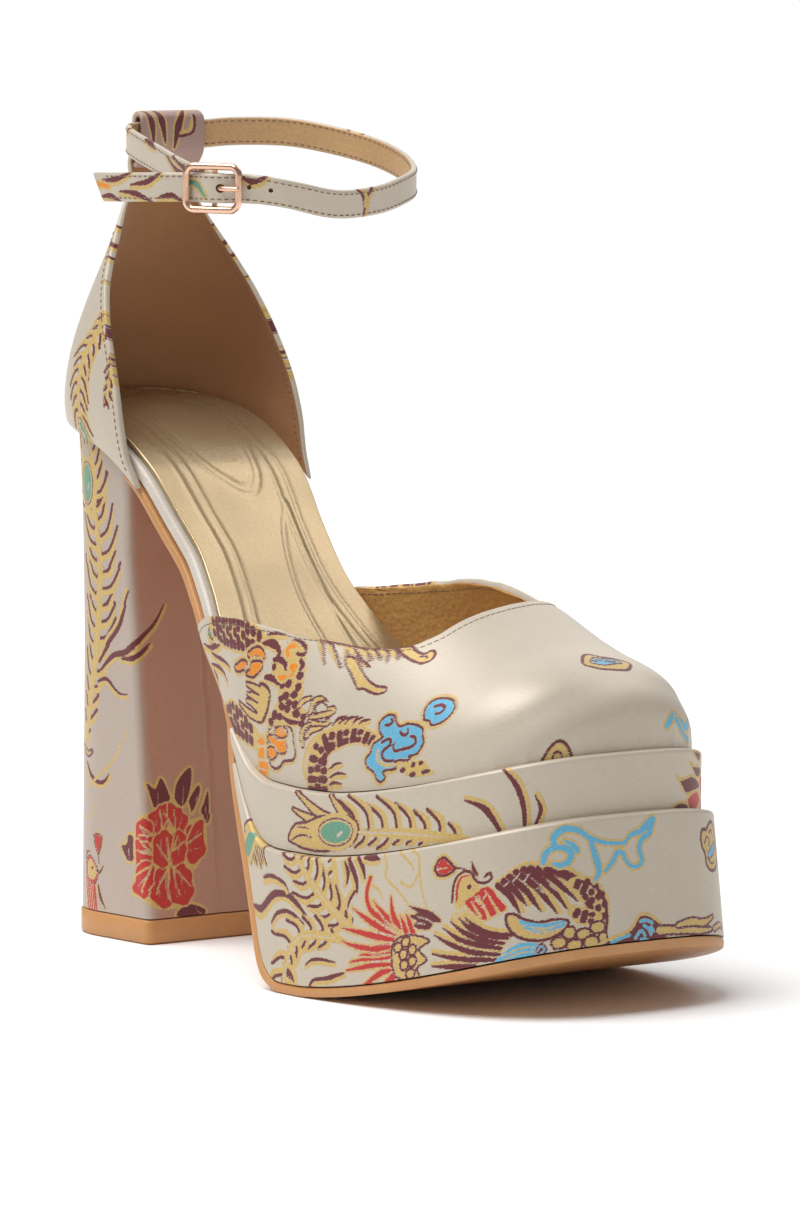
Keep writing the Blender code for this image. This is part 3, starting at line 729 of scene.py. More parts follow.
def counter_grid():
    """Rows from the seat up the cup, over the strap loop and down inside it."""
    rows = [counter_row(rise) for rise in COUNTER_HEIGHTS]
    rows += [tab_row(x, z) for _, x, z in TAB.data]
    fine = smoothed(np.stack(rows), COUNTER_STEPS)
    along = arc_lengths(fine[:, COUNTER_COLUMNS // 2])
    where = np.interp(np.linspace(0.0, along[-1], COUNTER_ROWS + 1), along, np.arange(len(along)))
    low = np.minimum(where.astype(int), len(fine) - 2)
    part = (where - low)[:, None, None]
    even = fine[low] * (1 - part) + fine[low + 1] * part
    loop_start = along[COUNTER_STEPS * (len(COUNTER_HEIGHTS) - 3)] / along[-1]
    return even, loop_start


def centred_coordinates(rows):
    """Signed length from each row's middle, and length along the middle column."""
    steps = np.linalg.norm(np.diff(rows, axis=1), axis=2)
    u = np.concatenate([np.zeros((len(rows), 1)), np.cumsum(steps, axis=1)], axis=1)
    middle = rows.shape[1] // 2
    v = arc_lengths(rows[:, middle])
    return u - u[:, middle : middle + 1], np.repeat(v[:, None], rows.shape[1], axis=1)


HEEL_COLUMNS = 330
HEEL_STRAIGHT_ROWS = 190
HEEL_SWELL_ROWS = 60


def heel_outline(back, breast, half, count):
    """Closed D-shaped plan with evenly spaced points, from the middle of the back, outer side first."""
    straight = back + HEEL_ROUND_SHARE * half
    power = 2.0 / HEEL_BACK_SQUARENESS
    angle = np.linspace(0.0, math.pi / 2, 120)
    side = np.stack(
        [straight - (straight - back) * np.cos(angle) ** power, half * np.sin(angle) ** power], axis=1
    )
    corner = HEEL_BREAST_CORNER
    turn = np.linspace(math.pi / 2, 0.0, 10)
    bend = np.stack(
        [breast - corner + corner * np.cos(turn), half - corner + corner * np.sin(turn)],
        axis=1,
    )
    side = np.concatenate([side, bend])
    loop = np.concatenate([side * (1, -1), side[::-1]])
    return resampled(loop, count)[:-1]


def heel_grid():
    """Rows up the heel: straight between the sections, then swelling out to the seat."""
    rows = []
    low, high = HEEL.data[0, 0], HEEL.data[-1, 0]
    top_plan = heel_outline(HEEL_TOP_BACK, HEEL_TOP_BREAST, HEEL_TOP_HALF, HEEL_COLUMNS)
    top = np.column_stack([top_plan, board_under(top_plan[:, 0]) - GAP])
    for z in np.linspace(low, high, HEEL_STRAIGHT_ROWS):
        plan = heel_outline(HEEL.at("back", z), HEEL.at("breast", z), HEEL.at("half", z), HEEL_COLUMNS)
        rows.append(np.column_stack([plan, np.full(len(plan), z)]))
    below = rows[-1]
    for share in np.linspace(0.0, 1.0, HEEL_SWELL_ROWS)[1:]:
        swell = 0.35 * share + 0.65 * share**2
        row = below + (top - below) * share
        row[:, :2] = below[:, :2] + (top[:, :2] - below[:, :2]) * swell
        rows.append(row)
    return np.stack(rows)


def heel_coordinates(rows):
    """Length round the heel from the outer breast corner, and height."""
    closed = np.concatenate([rows, rows[:, :1]], axis=1)
    steps = np.linalg.norm(np.diff(closed[..., :2], axis=1), axis=2)
    u = np.concatenate([np.zeros((len(rows), 1)), np.cumsum(steps, axis=1)[:, :-1]], axis=1)
    half_way = rows[..., 0].max(axis=1)
    corner = np.array([u[k, np.argmax((rows[k, :, 0] > half_way[k] - 0.05))] for k in range(len(rows))])
    return u - corner[:, None], rows[..., 2]


TOE_CORNERS = 46
TIER_LEDGE = 9.0
TIER_UNDERCUT = 0.3
LOWEST_WALL_ROW = 0.004
EDGE_TURNS = np.radians((18, 36, 54, 72, 90))


def tier_edges(tail, out_top, flare, top_of, low_of):
    """Upper and lower edge of a platform tier, from the outer tail round the toe to the inner tail."""
    sides = []
    angles = np.radians(np.linspace(0.0, 90.0, TOE_CORNERS))
    for side, sign in (("outer", -1.0), ("inner", 1.0)):
        tops, lows = [], []
        for top, low, out, open_out in tail:
            tops.append((top[0], sign * half_breadth(top[0], side, out), top[1]))
            lows.append((low[0], sign * half_breadth(low[0], side, out + open_out), low[1]))
        for x in np.linspace(ROLL_START_X, TOE_ROUND_X, 6)[:-1]:
            tops.append((x, sign * half_breadth(x, side, out_top), top_of(x)))
            lows.append((x, sign * half_breadth(x, side, out_top + flare), low_of(x)))
        for angle in angles:
            x, half = toe_edge(angle, side, out_top)
            tops.append((x, sign * half, top_of(x)))
            x, half = toe_edge(angle, side, out_top + flare)
            lows.append((x, sign * half, low_of(x)))
        both = np.concatenate([np.array(tops, float), np.array(lows, float)], axis=1)
        sides.append(smoothed(both, 8))
    return np.concatenate([sides[0], sides[1][-2::-1]])


def tier_wall(edges, columns, rows):
    """Wall of a tier with a rounded upper edge: rows from the bottom inwards point up to the top ledge."""
    half = columns // 2
    middle = len(edges) // 2
    even = []
    for line in (edges[: middle + 1], edges[middle:]):
        along = arc_lengths((line[:, :3] + line[:, 3:]) / 2)
        even.append(at_lengths(line, along, np.linspace(0.0, along[-1], half + 1)))
    line = np.concatenate([even[0], even[1][1:]])
    top, low = line[:, :3], line[:, 3:]
    run = unit(np.gradient((top + low) / 2, axis=0) * PLAN_ONLY)
    inward = np.stack([-run[:, 1], run[:, 0], np.zeros(len(run))], axis=1)
    height = np.linalg.norm(top - low, axis=1, keepdims=True)
    ease = np.minimum(TIER_EDGE, 0.3 * height)
    up = unit(top - low)
    shoulder = top - up * ease
    result = [low + inward * TIER_LEDGE, low + inward * TIER_UNDERCUT]
    result += [low + (shoulder - low) * share for share in np.linspace(LOWEST_WALL_ROW, 1.0, rows)]
    for angle in EDGE_TURNS:
        result.append(shoulder + up * ease * math.sin(angle) + inward * ease * (1 - math.cos(angle)))
    result.append(top + inward * TIER_LEDGE)
    return np.stack(result)


def tier_coordinates(rows):
    """Length along the tier from the middle of the toe, outer side negative, and height on the wall."""
    middle = rows.shape[1] // 2
    along = arc_lengths(rows[len(rows) // 2])
    u = np.repeat((along - along[middle])[None], len(rows), axis=0)
    v = np.stack([np.linalg.norm(row - rows[2], axis=1) for row in rows])
    return u, v


# Woven figures

THREADS = ("gold", "maroon", "red", "blue", "green", "orange")
# A distance that is off every figure, and how far past a figure its distances are worked out
FAR = 9.0
MARGIN = 0.7


def outline_distance(at, ring):
    """Signed distance from points to a closed outline, below zero inside."""
    a, b = ring, np.roll(ring, -1, axis=0)
    run = b - a
    size = np.maximum((run * run).sum(axis=1), 1e-9)
    t = np.clip(((at[:, None] - a) * run).sum(axis=2) / size, 0.0, 1.0)
    gap = np.linalg.norm(at[:, None] - a - t[..., None] * run, axis=2).min(axis=1)
    x, y = at[:, :1], at[:, 1:]
    spans = (a[:, 1] > y) != (b[:, 1] > y)
    rise = np.where(run[:, 1] == 0, 1e-9, run[:, 1])
    crossed = spans & (x < run[:, 0] * (y - a[:, 1]) / rise + a[:, 0])
    return np.where(crossed.sum(axis=1) % 2 == 1, -gap, gap)


def closed_curve(points, per=6):
    """A smooth closed line through points."""
    points = np.asarray(points, float)
    wrapped = np.concatenate([points[-2:], points, points[:2]])
    return smoothed(wrapped, per)[2 * per : -2 * per][: len(points) * per]


def open_curve(points, per=6):
    """A smooth line through points, from the first to the last."""
    points = np.asarray(points, float)
    return smoothed(points, per) if len(points) > 2 else points


# A rounded cell, as shares of its half length and half breadth
CELL = ((-1, -0.5), (-0.6, -1), (0.6, -1), (1, -0.5), (1, 0.5), (0.6, 1), (-0.6, 1), (-1, 0.5))


def oval(u, v, wide, tall):
    """Outline of an oval by its middle and its whole width and height."""
    turn = circle(8)
    return np.stack([u + wide / 2 * np.cos(turn), v + tall / 2 * np.sin(turn)], axis=1)


class Chart:
    """Figures on one panel in millimetres of cloth, as signed distances, one field for each thread."""

    def __init__(self, u, v):
        self.places = np.stack([u.ravel(), v.ravel()], axis=1)
        self.fields = {name: np.full(len(self.places), FAR) for name in THREADS}
        self.flip = 1.0
        self.shift = (0.0, 0.0)
        # Share of painted shade at each place, 0 on the plain ground
        self.painted_shade_share = np.zeros(len(self.places))

    def moved(self, shift, flip=1.0):
        """The same cloth with figures set down elsewhere, or mirrored."""
        other = copy.copy(self)
        other.shift, other.flip = shift, flip
        return other

    def on_cloth(self, points):
        return np.asarray(points, float) * (self.flip, 1.0) + self.shift

    def near(self, low, high):
        inside = (self.places > np.asarray(low) - MARGIN) & (self.places < np.asarray(high) + MARGIN)
        return np.nonzero(inside.all(axis=1))[0]

    def lay(self, thread, near, inside):
        """One thread over what is there already; thread None bares the ground."""
        for name, field in self.fields.items():
            if name == thread:
                field[near] = np.minimum(field[near], inside)
            else:
                field[near] = np.maximum(field[near], -inside)

    def stroke(self, thread, points, widths):
        """A line of changing width."""
        line = self.on_cloth(open_curve(points))
        along = arc_lengths(line)
        widths = np.atleast_1d(np.asarray(widths, float))
        radius = np.interp(along / along[-1], np.linspace(0.0, 1.0, len(widths)), widths) / 2
        near = self.near(line.min(axis=0) - radius.max(), line.max(axis=0) + radius.max())
        if not len(near):
            return
        at = self.places[near]
        a, run = line[:-1], np.diff(line, axis=0)
        size = np.maximum((run * run).sum(axis=1), 1e-9)
        t = np.clip(((at[:, None] - a) * run).sum(axis=2) / size, 0.0, 1.0)
        gap = np.linalg.norm(at[:, None] - a - t[..., None] * run, axis=2)
        self.lay(thread, near, (gap - radius[:-1] - t * np.diff(radius)).min(axis=1))

    def shape(self, points, *layers):
        """A closed figure in nested threads: each layer is a thread and its reach past the outline."""
        ring = self.on_cloth(closed_curve(points))
        reach = max(grow for _, grow in layers)
        near = self.near(ring.min(axis=0) - reach, ring.max(axis=0) + reach)
        if not len(near):
            return
        distance = outline_distance(self.places[near], ring)
        for thread, grow in layers:
            self.lay(thread, near, distance - grow)

    def edged(self, points, widths, fill="gold", line="maroon", side=0.0, edge=0.6):
        """A tapered leaf with an outline, all round or shifted to one side."""
        curve = open_curve(points)
        way = unit(np.gradient(curve, axis=0))
        normal = np.stack([-way[:, 1], way[:, 0]], axis=1)
        widths = np.atleast_1d(np.asarray(widths, float))
        grow = edge * (2.0 if side == 0 else 1.0)
        skip = max(1, len(curve) // 12)
        self.stroke(line, curve[::skip] + normal[::skip] * side * edge * 0.8, widths + grow)
        self.stroke(fill, curve[::skip], widths)

    def ringed(self, points, widths, fill, rings=(("gold", 2.1), ("maroon", 1.1))):
        """A line with rings of other threads round it."""
        widths = np.atleast_1d(np.asarray(widths, float))
        for thread, grow in rings:
            self.stroke(thread, points, widths + grow)
        self.stroke(fill, points, widths)

    def tendril(self, points, widths, side=-1.0):
        """A maroon line with gold on one side."""
        self.edged(points, widths, fill="maroon", line="gold", side=side, edge=0.75)

    def scales(self, spine, half, pitch, breadth, gap=0.42):
        """Maroon cells on gold along a spine: half is the band's half breadth, breadth that of a cell."""
        line = open_curve(spine, 10)
        along = arc_lengths(line)
        half = np.atleast_1d(np.asarray(half, float))
        share = np.linspace(0.0, 1.0, len(half))
        self.stroke("gold", line[::3], 2 * half + 0.7)
        way = unit(np.gradient(line, axis=0))
        for k, where in enumerate(np.arange(pitch * 0.5, along[-1], pitch)):
            middle = at_lengths(line, along, where)
            run = unit(at_lengths(way, along, where))
            side = np.array([-run[1], run[0]])
            reach = np.interp(where / along[-1], share, half)
            count = max(1, round(2 * reach / breadth) - k % 2)
            wide, long = max(reach / count - gap / 2, 0.35), (pitch - gap) / 2
            for place in (np.arange(count) - (count - 1) / 2) * 2 * reach / count:
                at = middle + side * place - run * abs(place) * 0.2
                ring = [at + run * long * a + side * wide * b for a, b in CELL]
                self.shape(ring, ("maroon", 0.0))

    def plume(self, spine, reach, step=3.0, thick=0.85, sweep=0.9, sides=(1, -1)):
        """A feather of curling barbs. reach is the barbs' length along the spine, which runs to the tip."""
        curve = open_curve(spine, 10)
        along = arc_lengths(curve)
        way = unit(np.gradient(curve, axis=0))
        reach = np.atleast_1d(np.asarray(reach, float))
        share = np.linspace(0.0, 1.0, len(reach))
        for k, where in enumerate(np.arange(step * 0.4, along[-1], step)):
            for sign in sides:
                spot = min(where + (0.5 * step if sign > 0 else 0.0), along[-1])
                middle = at_lengths(curve, along, spot)
                run = unit(at_lengths(way, along, spot))
                size = np.interp(spot / along[-1], share, reach) * (1.0 + 0.16 * math.sin(2.4 * k + sign))
                side = np.array([-run[1], run[0]]) * sign
                bend = middle + side * size * 0.5 + run * size * 0.26 * sweep
                tip = middle + side * size * 0.78 + run * size * sweep
                self.edged((middle, bend, tip), (thick, 1.05 * thick, 0.3), side=-sign, edge=0.65)
        self.stroke("gold", curve[::4], (thick * 1.5, thick * 1.8, thick))

    def eye(self, middle, wide, tall, lean=0.0):
        """The green eye of a plume, with a pale fleck."""
        turn = circle(10)
        x, y = wide * np.cos(turn), tall * np.sin(turn)
        c, s = math.cos(lean), math.sin(lean)
        ring = np.stack([middle[0] + c * x - s * y, middle[1] + s * x + c * y], axis=1)
        self.shape(ring, ("gold", 1.5), ("maroon", 0.45), ("gold", 0.0), ("green", -0.5))
        fleck = np.array(middle) + (0.25 * wide, -0.1 * tall)
        self.stroke(
            None,
            (fleck - (0.12 * wide, 0.18 * tall), fleck + (0.12 * wide, 0.1 * tall)),
            (0.9, 0.7),
        )

    def cloud(self, points, fill, *curls):
        """A curled cloud with a double outline; curls are lines inside it."""
        self.shape(points, ("gold", 1.3), ("maroon", 0.62), (fill, -0.1))
        for curl in curls:
            self.stroke("maroon", curl, (0.9, 1.0, 0.8))

    def petal(self, points, fill="red", line="gold", edge=0.4):
        """A petal with a line round it."""
        self.shape(points, (line, edge), (fill, -edge))

    def cell(self, middle, wide, tall):
        """A gold belly scale in a maroon outline."""
        u, v = middle
        ring = ((u - wide, v), (u - 0.6 * wide, v + tall), (u + 0.6 * wide, v + tall))
        ring += ((u + wide, v), (u + 0.6 * wide, v - tall), (u - 0.6 * wide, v - tall))
        self.shape(ring, ("maroon", 0.3), ("gold", -0.3))


# Sheets, strap and buckle


def half_pair(x, out):
    """Half breadths of the outer and the inner side."""
    return half_breadth(x, "outer", out), half_breadth(x, "inner", out)


def sheet_rings(path, up, halves, thickness, edge, across):
    """Sections of a sheet under a path, with rounded sides. Each ring has its upper face first."""
    outer, inner = halves
    edge = np.minimum(edge, 0.3 * (outer + inner))
    left, right = edge - outer, inner - edge
    upper = left[:, None] + (right - left)[:, None] * np.linspace(0.0, 1.0, across + 1)
    turn = np.radians(np.linspace(90.0, -90.0, 9))[1:-1]
    inner_side = right[:, None] + edge[:, None] * np.cos(turn)
    outer_side = left[:, None] - edge[:, None] * np.cos(turn)
    lower = upper[:, ::-4]
    y = np.concatenate([upper, inner_side, lower, outer_side], axis=1)
    bend = thickness / 2 * (np.sin(turn) - 1)
    flat_top, flat_low = np.zeros(upper.shape[1]), np.full(lower.shape[1], -thickness)
    depth = np.concatenate([flat_top, bend, flat_low, bend[::-1]])
    rings = path[:, None] + up[:, None] * depth[None, :, None]
    rings[..., 1] = y
    return rings


def path_normals(path):
    """Upward normals of a path in the middle plane."""
    along = unit(np.gradient(path, axis=0))
    return np.stack([-along[:, 2], np.zeros(len(path)), along[:, 0]], axis=1)


BOARD_STATIONS = 120
BOARD_ACROSS = 24
BOARD_EDGE = 1.3


def board_rings():
    """Rings along the insole board, from the heel seat to the toe."""
    x = board_stations(BOARD_HEEL_X, BOARD_TOE_X, BOARD_STATIONS)
    path = on_profile(x, BOARD_THICKNESS)
    halves = half_pair(x, 0.0)
    return sheet_rings(path, path_normals(path), halves, BOARD_THICKNESS, BOARD_EDGE, BOARD_ACROSS)


SOCK_ACROSS = 108
SOCK_STATIONS = 380
SOCK_EDGE = 0.6


def sock_rings():
    """Rings along the sock, which lies inside the board's edge and carries the pressed lines."""
    x = board_stations(BOARD_HEEL_X + SOCK_INSET, BOARD_TOE_X - SOCK_INSET, SOCK_STATIONS)
    path = on_profile(x, BOARD_THICKNESS + GAP + SOCK_THICKNESS)
    halves = half_pair(x, -SOCK_INSET)
    rings = sheet_rings(path, path_normals(path), halves, SOCK_THICKNESS, SOCK_EDGE, SOCK_ACROSS)
    top = rings[:, : SOCK_ACROSS + 1]
    top += path_normals(path)[:, None] * sock_relief(top)[..., None]
    return rings


HEEL_PAD = (
    (12.5, 8.0), (15.0, 15.5), (27.0, 16.0), (41.0, 12.4), (52.0, 9.0), (58.0, 6.5), (61.3, 2.2),
    (60.0, -3.0), (54.0, -8.6), (44.0, -10.8), (35.0, -9.8), (24.0, -6.0), (15.0, 0.0),
)
ARCH_LEAF = (
    (64.0, 10.8), (66.0, 8.6), (70.3, 4.9), (76.9, 1.3), (83.9, -1.1), (90.0, -1.7), (98.0, -1.0),
    (108.0, 2.0), (118.0, 8.0), (112.0, 9.0), (100.0, 7.2), (92.0, 6.4), (82.0, 7.4), (73.5, 8.6),
)
RELIEF_LINE = 0.75
# Distance from the sock's edge and depth of each line along it
EDGE_LINES = ((6.3, 0.15), (9.8, 0.17))
RIM_DROP = 0.08
RIM_EASE = 1.0
PAD_LINES = (0.0, 1.6)
PAD_LINE_DEPTH = 0.17
LEAF_DEPTH = 0.09
LEAF_EASE = 0.9
PAD_REACH = 3.0


def ridge(distance, breadth=RELIEF_LINE):
    """A soft bump across a line, 1 on it."""
    return np.exp(-((distance / breadth) ** 2))


def step(distance, ease):
    """A soft step from 0 to 1 across a line."""
    share = np.clip(distance / ease * 0.5 + 0.5, 0.0, 1.0)
    return share * share * (3.0 - 2.0 * share)


def sock_relief(top):
    """Depth of the pressed lines: two along the edge, a heel pad with a double line, a leaf in the arch."""
    tree = point_tree(np.concatenate([top[:, 0], top[:, -1]]))
    flat = top.reshape(-1, 3)
    inset = np.array([tree.find(point)[2] for point in flat])
    pressed = np.max([depth * ridge(inset - place) for place, depth in EDGE_LINES], axis=0)
    floor = RIM_DROP * (1.0 - step(inset - EDGE_LINES[0][0], RIM_EASE))
    for outline, lines, sunk in ((HEEL_PAD, PAD_LINES, 0.0), (ARCH_LEAF, PAD_LINES[:1], LEAF_DEPTH)):
        ring = closed_curve(outline)
        low, high = ring.min(axis=0) - PAD_REACH, ring.max(axis=0) + PAD_REACH
        near = np.nonzero(((flat[:, :2] > low) & (flat[:, :2] < high)).all(axis=1))[0]
        distance = outline_distance(flat[near, :2], ring)
        for line in lines:
            pressed[near] = np.maximum(pressed[near], PAD_LINE_DEPTH * ridge(distance + line))
        floor[near] += sunk * step(-distance, LEAF_EASE)
    return -(pressed + floor).reshape(top.shape[:2])


ARCH_STATIONS = 60
REAR_STEPS = 8
FORE_STATIONS = 40
OUTSOLE_ACROSS = 40
OUTSOLE_EDGE = 0.5


def outsole_rings():
    """The sheet from the heel breast down the arch and the platform's back to the toe."""
    arch_x = np.linspace(OUTSOLE_START_X, ARCH_END_X, ARCH_STATIONS)
    arch = on_profile(arch_x, -GAP)
    rear = smoothed(REAR.data[:, 1:], REAR_STEPS)
    out_full = LOWER_TIER_OUT + LOWER_TIER_FLARE
    tip = BOARD_TOE_X + out_full
    toe_x = TOE_ROUND_X + (tip - TOE_ROUND_X) * np.sin(toe_angles()) ** (2.0 / TOE_SQUARENESS)
    fore_x = np.concatenate([np.linspace(ROLL_START_X, TOE_ROUND_X, FORE_STATIONS)[:-1], toe_x])
    fore = np.stack([fore_x, np.zeros_like(fore_x), OUTSOLE_THICKNESS + rocker(fore_x)], axis=1)
    back = np.stack([rear[:, 0], np.zeros(len(rear)), rear[:, 1]], axis=1)
    path = np.concatenate([arch, back, fore])
    out = np.concatenate([np.full(len(arch), ARCH_OUT), rear[:, 2], np.full(len(fore), out_full)])
    up = path_normals(path)
    up[len(arch) + len(back) - 1 :] = (0.0, 0.0, 1.0)
    halves = half_pair(path[:, 0], out)
    return sheet_rings(path, up, halves, OUTSOLE_THICKNESS, OUTSOLE_EDGE, OUTSOLE_ACROSS)


LIFT_BEVEL = 0.45
LIFT_COLUMNS = 240


def lift_rings():
    """Rings of the top-lift, bevelled above and below."""
    _, back, breast, half = HEEL.data[0]
    rings = []
    for z, grow in (
        (0.0, TOP_LIFT_OUT - LIFT_BEVEL),
        (LIFT_BEVEL, TOP_LIFT_OUT),
        (TOP_LIFT_HEIGHT - LIFT_BEVEL, TOP_LIFT_OUT),
        (TOP_LIFT_HEIGHT, TOP_LIFT_OUT - LIFT_BEVEL),
    ):
        plan = heel_outline(back - grow, breast + grow, half + grow, LIFT_COLUMNS)
        rings.append(np.column_stack([plan, np.full(len(plan), z)]))
    return np.stack(rings)


STRAP_STEP = 0.5
STRAP_ACROSS = 16
STRAP_EDGE = 0.55
STRAP_TIP_LENGTH = 8.0
STRAP_RIM = 5
STRAP_STEPS = 14
# How much of the strap's thickness a hole goes through
HOLE_DEPTH = 0.8
# Length along the strap, place across it and radius of each hole
STRAP_HOLES = ((234.2, 0.0, 1.1), (227.3, 0.4, 0.6), (222.0, 0.4, 0.6))


def strap_rings():
    """Rings of the strap: the outer face, the upper edge, the inner face, the lower edge."""
    line = smoothed(STRAP.data, STRAP_STEPS)
    spaced = arc_lengths(line[:, :3])
    where = np.linspace(0.0, spaced[-1], round(spaced[-1] / STRAP_STEP) + 1)
    line = at_lengths(line, spaced, where)
    along = unit(np.gradient(line[:, :3], axis=0))
    outward = unit(np.cross((0.0, 0.0, 1.0), along))
    across = np.cross(along, outward)
    lean = -np.radians(line[:, 3:])
    wide = across * np.cos(lean) - outward * np.sin(lean)
    thick = outward * np.cos(lean) + across * np.sin(lean)
    half_wide, half_thick = STRAP_WIDTH / 2 - STRAP_EDGE, STRAP_THICKNESS / 2
    face = np.linspace(-half_wide, half_wide, STRAP_ACROSS + 1)
    turn = np.radians(np.linspace(90.0, -90.0, STRAP_RIM + 2))[1:-1]
    w = np.concatenate([face, half_wide + STRAP_EDGE * np.cos(turn)])
    t = np.concatenate([np.full(len(face), half_thick), half_thick * np.sin(turn)])
    w, t = np.concatenate([w, -w]), np.concatenate([t, -t])
    run = arc_lengths(line[:, :3])
    ramp = np.clip((run - run[-1]) / STRAP_TIP_LENGTH + 1.0, 0.0, 1.0)
    slant = along[:, None] * (ramp[:, None] * w / STRAP_WIDTH * STRAP_TIP_SLANT)[..., None]
    rings = line[:, None, :3] + wide[:, None] * w[:, None] + thick[:, None] * t[:, None] + slant
    return rings, run, w


def build_strap(materials):
    """The strap as one closed band with round blind holes pressed into it, their walls and bottoms in dark
    suede as painted shade.
    """
    rings, run, w = strap_rings()
    piece = Piece("ankle_strap_brocade")
    n = piece.add(rings.copy()).reshape(rings.shape[:2])
    chart = Chart(*np.broadcast_arrays(run[:, None], w[None]))
    draw_strap(chart)
    piece.dress(n, chart)
    count = n.shape[1]
    face = STRAP_ACROSS + 1
    around = np.roll(n, -1, axis=1)
    keep = np.ones((len(n) - 1, count), bool)
    points = piece.points[0].reshape(rings.shape)
    sunk = {}

    def sunk_corner(i, k):
        """The corner of a cell at the bottom of a hole."""
        if (i, k) not in sunk:
            behind = points[i, 2 * face + STRAP_RIM - 1 - k]
            sunk[i, k] = piece.add(points[i, k] + (behind - points[i, k]) * HOLE_DEPTH)[0]
        return sunk[i, k]

    for place, offset, radius in STRAP_HOLES:
        near = np.hypot(run[:, None] - place, w[None] - offset)
        middle_run = (run[:-1] + run[1:])[:, None] / 2
        middle_w = (w[: face - 1] + w[1:face])[None] / 2
        gone = np.hypot(middle_run - place, middle_w - offset) < radius
        keep[:, : face - 1] &= ~gone
        walls = []
        for i, k in zip(*np.nonzero(gone)):
            for (di, dk), (a, b) in (
                ((-1, 0), ((i, k), (i, k + 1))),
                ((1, 0), ((i + 1, k + 1), (i + 1, k))),
                ((0, -1), ((i + 1, k), (i, k))),
                ((0, 1), ((i, k + 1), (i + 1, k + 1))),
            ):
                if not gone[i + di, k + dk]:
                    walls.append((a, b))
        for i, k in {spot for wall in walls for spot in wall}:
            pull = radius / max(near[i, k], 1e-6)
            points[i, k] = hole_point(rings, run, w, (place, offset), (i, k), pull)
        for a, b in walls:
            piece.face((n[a], n[b], sunk_corner(*b), sunk_corner(*a)), HOLE_SHADE)
        for i, k in zip(*np.nonzero(gone)):
            spots = ((i, k), (i + 1, k), (i + 1, k + 1), (i, k + 1))
            piece.face([sunk_corner(*spot) for spot in spots], HOLE_SHADE)
    inner = np.zeros(count, bool)
    inner[face + STRAP_RIM - 1 : 2 * face + STRAP_RIM] = True
    for slot, columns in ((OUTSIDE, ~inner), (LINING, inner)):
        chosen = keep & columns
        piece.quads(n[:-1][chosen], around[:-1][chosen], around[1:][chosen], n[1:][chosen], slot)
    piece.face(n[0][::-1], OUTSIDE)
    piece.face(n[-1], OUTSIDE)
    piece.build(materials, "brocade", "ankle_strap")


def hole_point(rings, run, w, middle, spot, pull):
    """Where a vertex at the edge of a hole goes, so that the hole is round."""
    place, offset = middle
    i, k = spot
    along = place + (run[i] - place) * pull
    over = offset + (w[k] - offset) * pull
    step_along = (rings[i + 1, k] - rings[i - 1, k]) / (run[i + 1] - run[i - 1])
    step_over = (rings[i, k + 1] - rings[i, k]) / (w[k + 1] - w[k])
    return rings[i, k] + step_along * (along - run[i]) + step_over * (over - w[k])


def buckle_points(places):
    """Points given along the strap, outward from it and up, from the middle of the buckle."""
    places = np.asarray(places, float)
    outward = np.array([math.cos(BUCKLE_ANGLE), math.sin(BUCKLE_ANGLE), 0.0])
    along = np.array([-math.sin(BUCKLE_ANGLE), math.cos(BUCKLE_ANGLE), 0.0])
    up = np.array([0.0, 0.0, 1.0])
    return BUCKLE_MIDDLE + places[:, :1] * along + places[:, 1:2] * outward + places[:, 2:] * up


def wire_rings(points, radius, sides, closed=False):
    """Rings of a round wire; radius is a number or one for each point."""
    if closed:
        along = unit(np.roll(points, -1, axis=0) - np.roll(points, 1, axis=0))
    else:
        along = unit(np.gradient(points, axis=0))
    steady = np.array([math.cos(BUCKLE_ANGLE), math.sin(BUCKLE_ANGLE), 0.0])
    if not closed and abs(along[0] @ (0.0, 0.0, 1.0)) < 0.9:
        steady = np.array([0.0, 0.0, 1.0])
    first = unit(steady - along * (along @ steady)[:, None])
    second = np.cross(along, first)
    angle = circle(sides)
    wheel = first[:, None] * np.cos(angle)[:, None] + second[:, None] * np.sin(angle)[:, None]
    return points[:, None] + wheel * np.broadcast_to(radius, len(points))[:, None, None]


CORNER_STEPS = 14
FRAME_SIDES = 20
PIN_SIDES = 14


def frame_rings():
    """Rings of the buckle's frame, a rounded rectangle of wire."""
    half_length, half_height = BUCKLE_LENGTH / 2, BUCKLE_HEIGHT / 2
    places = []
    for turn, (sign_t, sign_w) in enumerate(((1, 1), (-1, 1), (-1, -1), (1, -1))):
        for angle in np.linspace(turn, turn + 1, CORNER_STEPS) * math.pi / 2:
            t = sign_t * (half_length - BUCKLE_CORNER) + BUCKLE_CORNER * math.cos(angle)
            w = sign_w * (half_height - BUCKLE_CORNER) + BUCKLE_CORNER * math.sin(angle)
            places.append((t, 0.0, w))
    return wire_rings(buckle_points(places), BUCKLE_WIRE, FRAME_SIDES, closed=True)


def bar_rings():
    """Rings of the cross bar, which dips behind the strap."""
    half = BUCKLE_HEIGHT / 2
    drop = BUCKLE_BAR_DROP
    places = ((0, 0, -half), (0, -drop, 1 - half), (0, -drop, half - 1), (0, 0, half))
    return wire_rings(buckle_points(smoothed(places, 6)), BUCKLE_BAR, PIN_SIDES)


STITCH_PITCH = 1.75
STITCH_LENGTH = 1.2
STITCH_RADIUS = 0.17
STITCH_SIDES = 6
# Along a stitch: place as a share of its length, height and thickness as shares of its radius
STITCH_PLACES = np.array((-0.5, -0.38, 0.0, 0.38, 0.5))
STITCH_HEIGHTS = np.array((-0.9, -0.15, 0.2, -0.15, -0.9)) + 0.25
STITCH_THICKNESS = np.array((0.55, 0.95, 1.0, 0.95, 0.55))


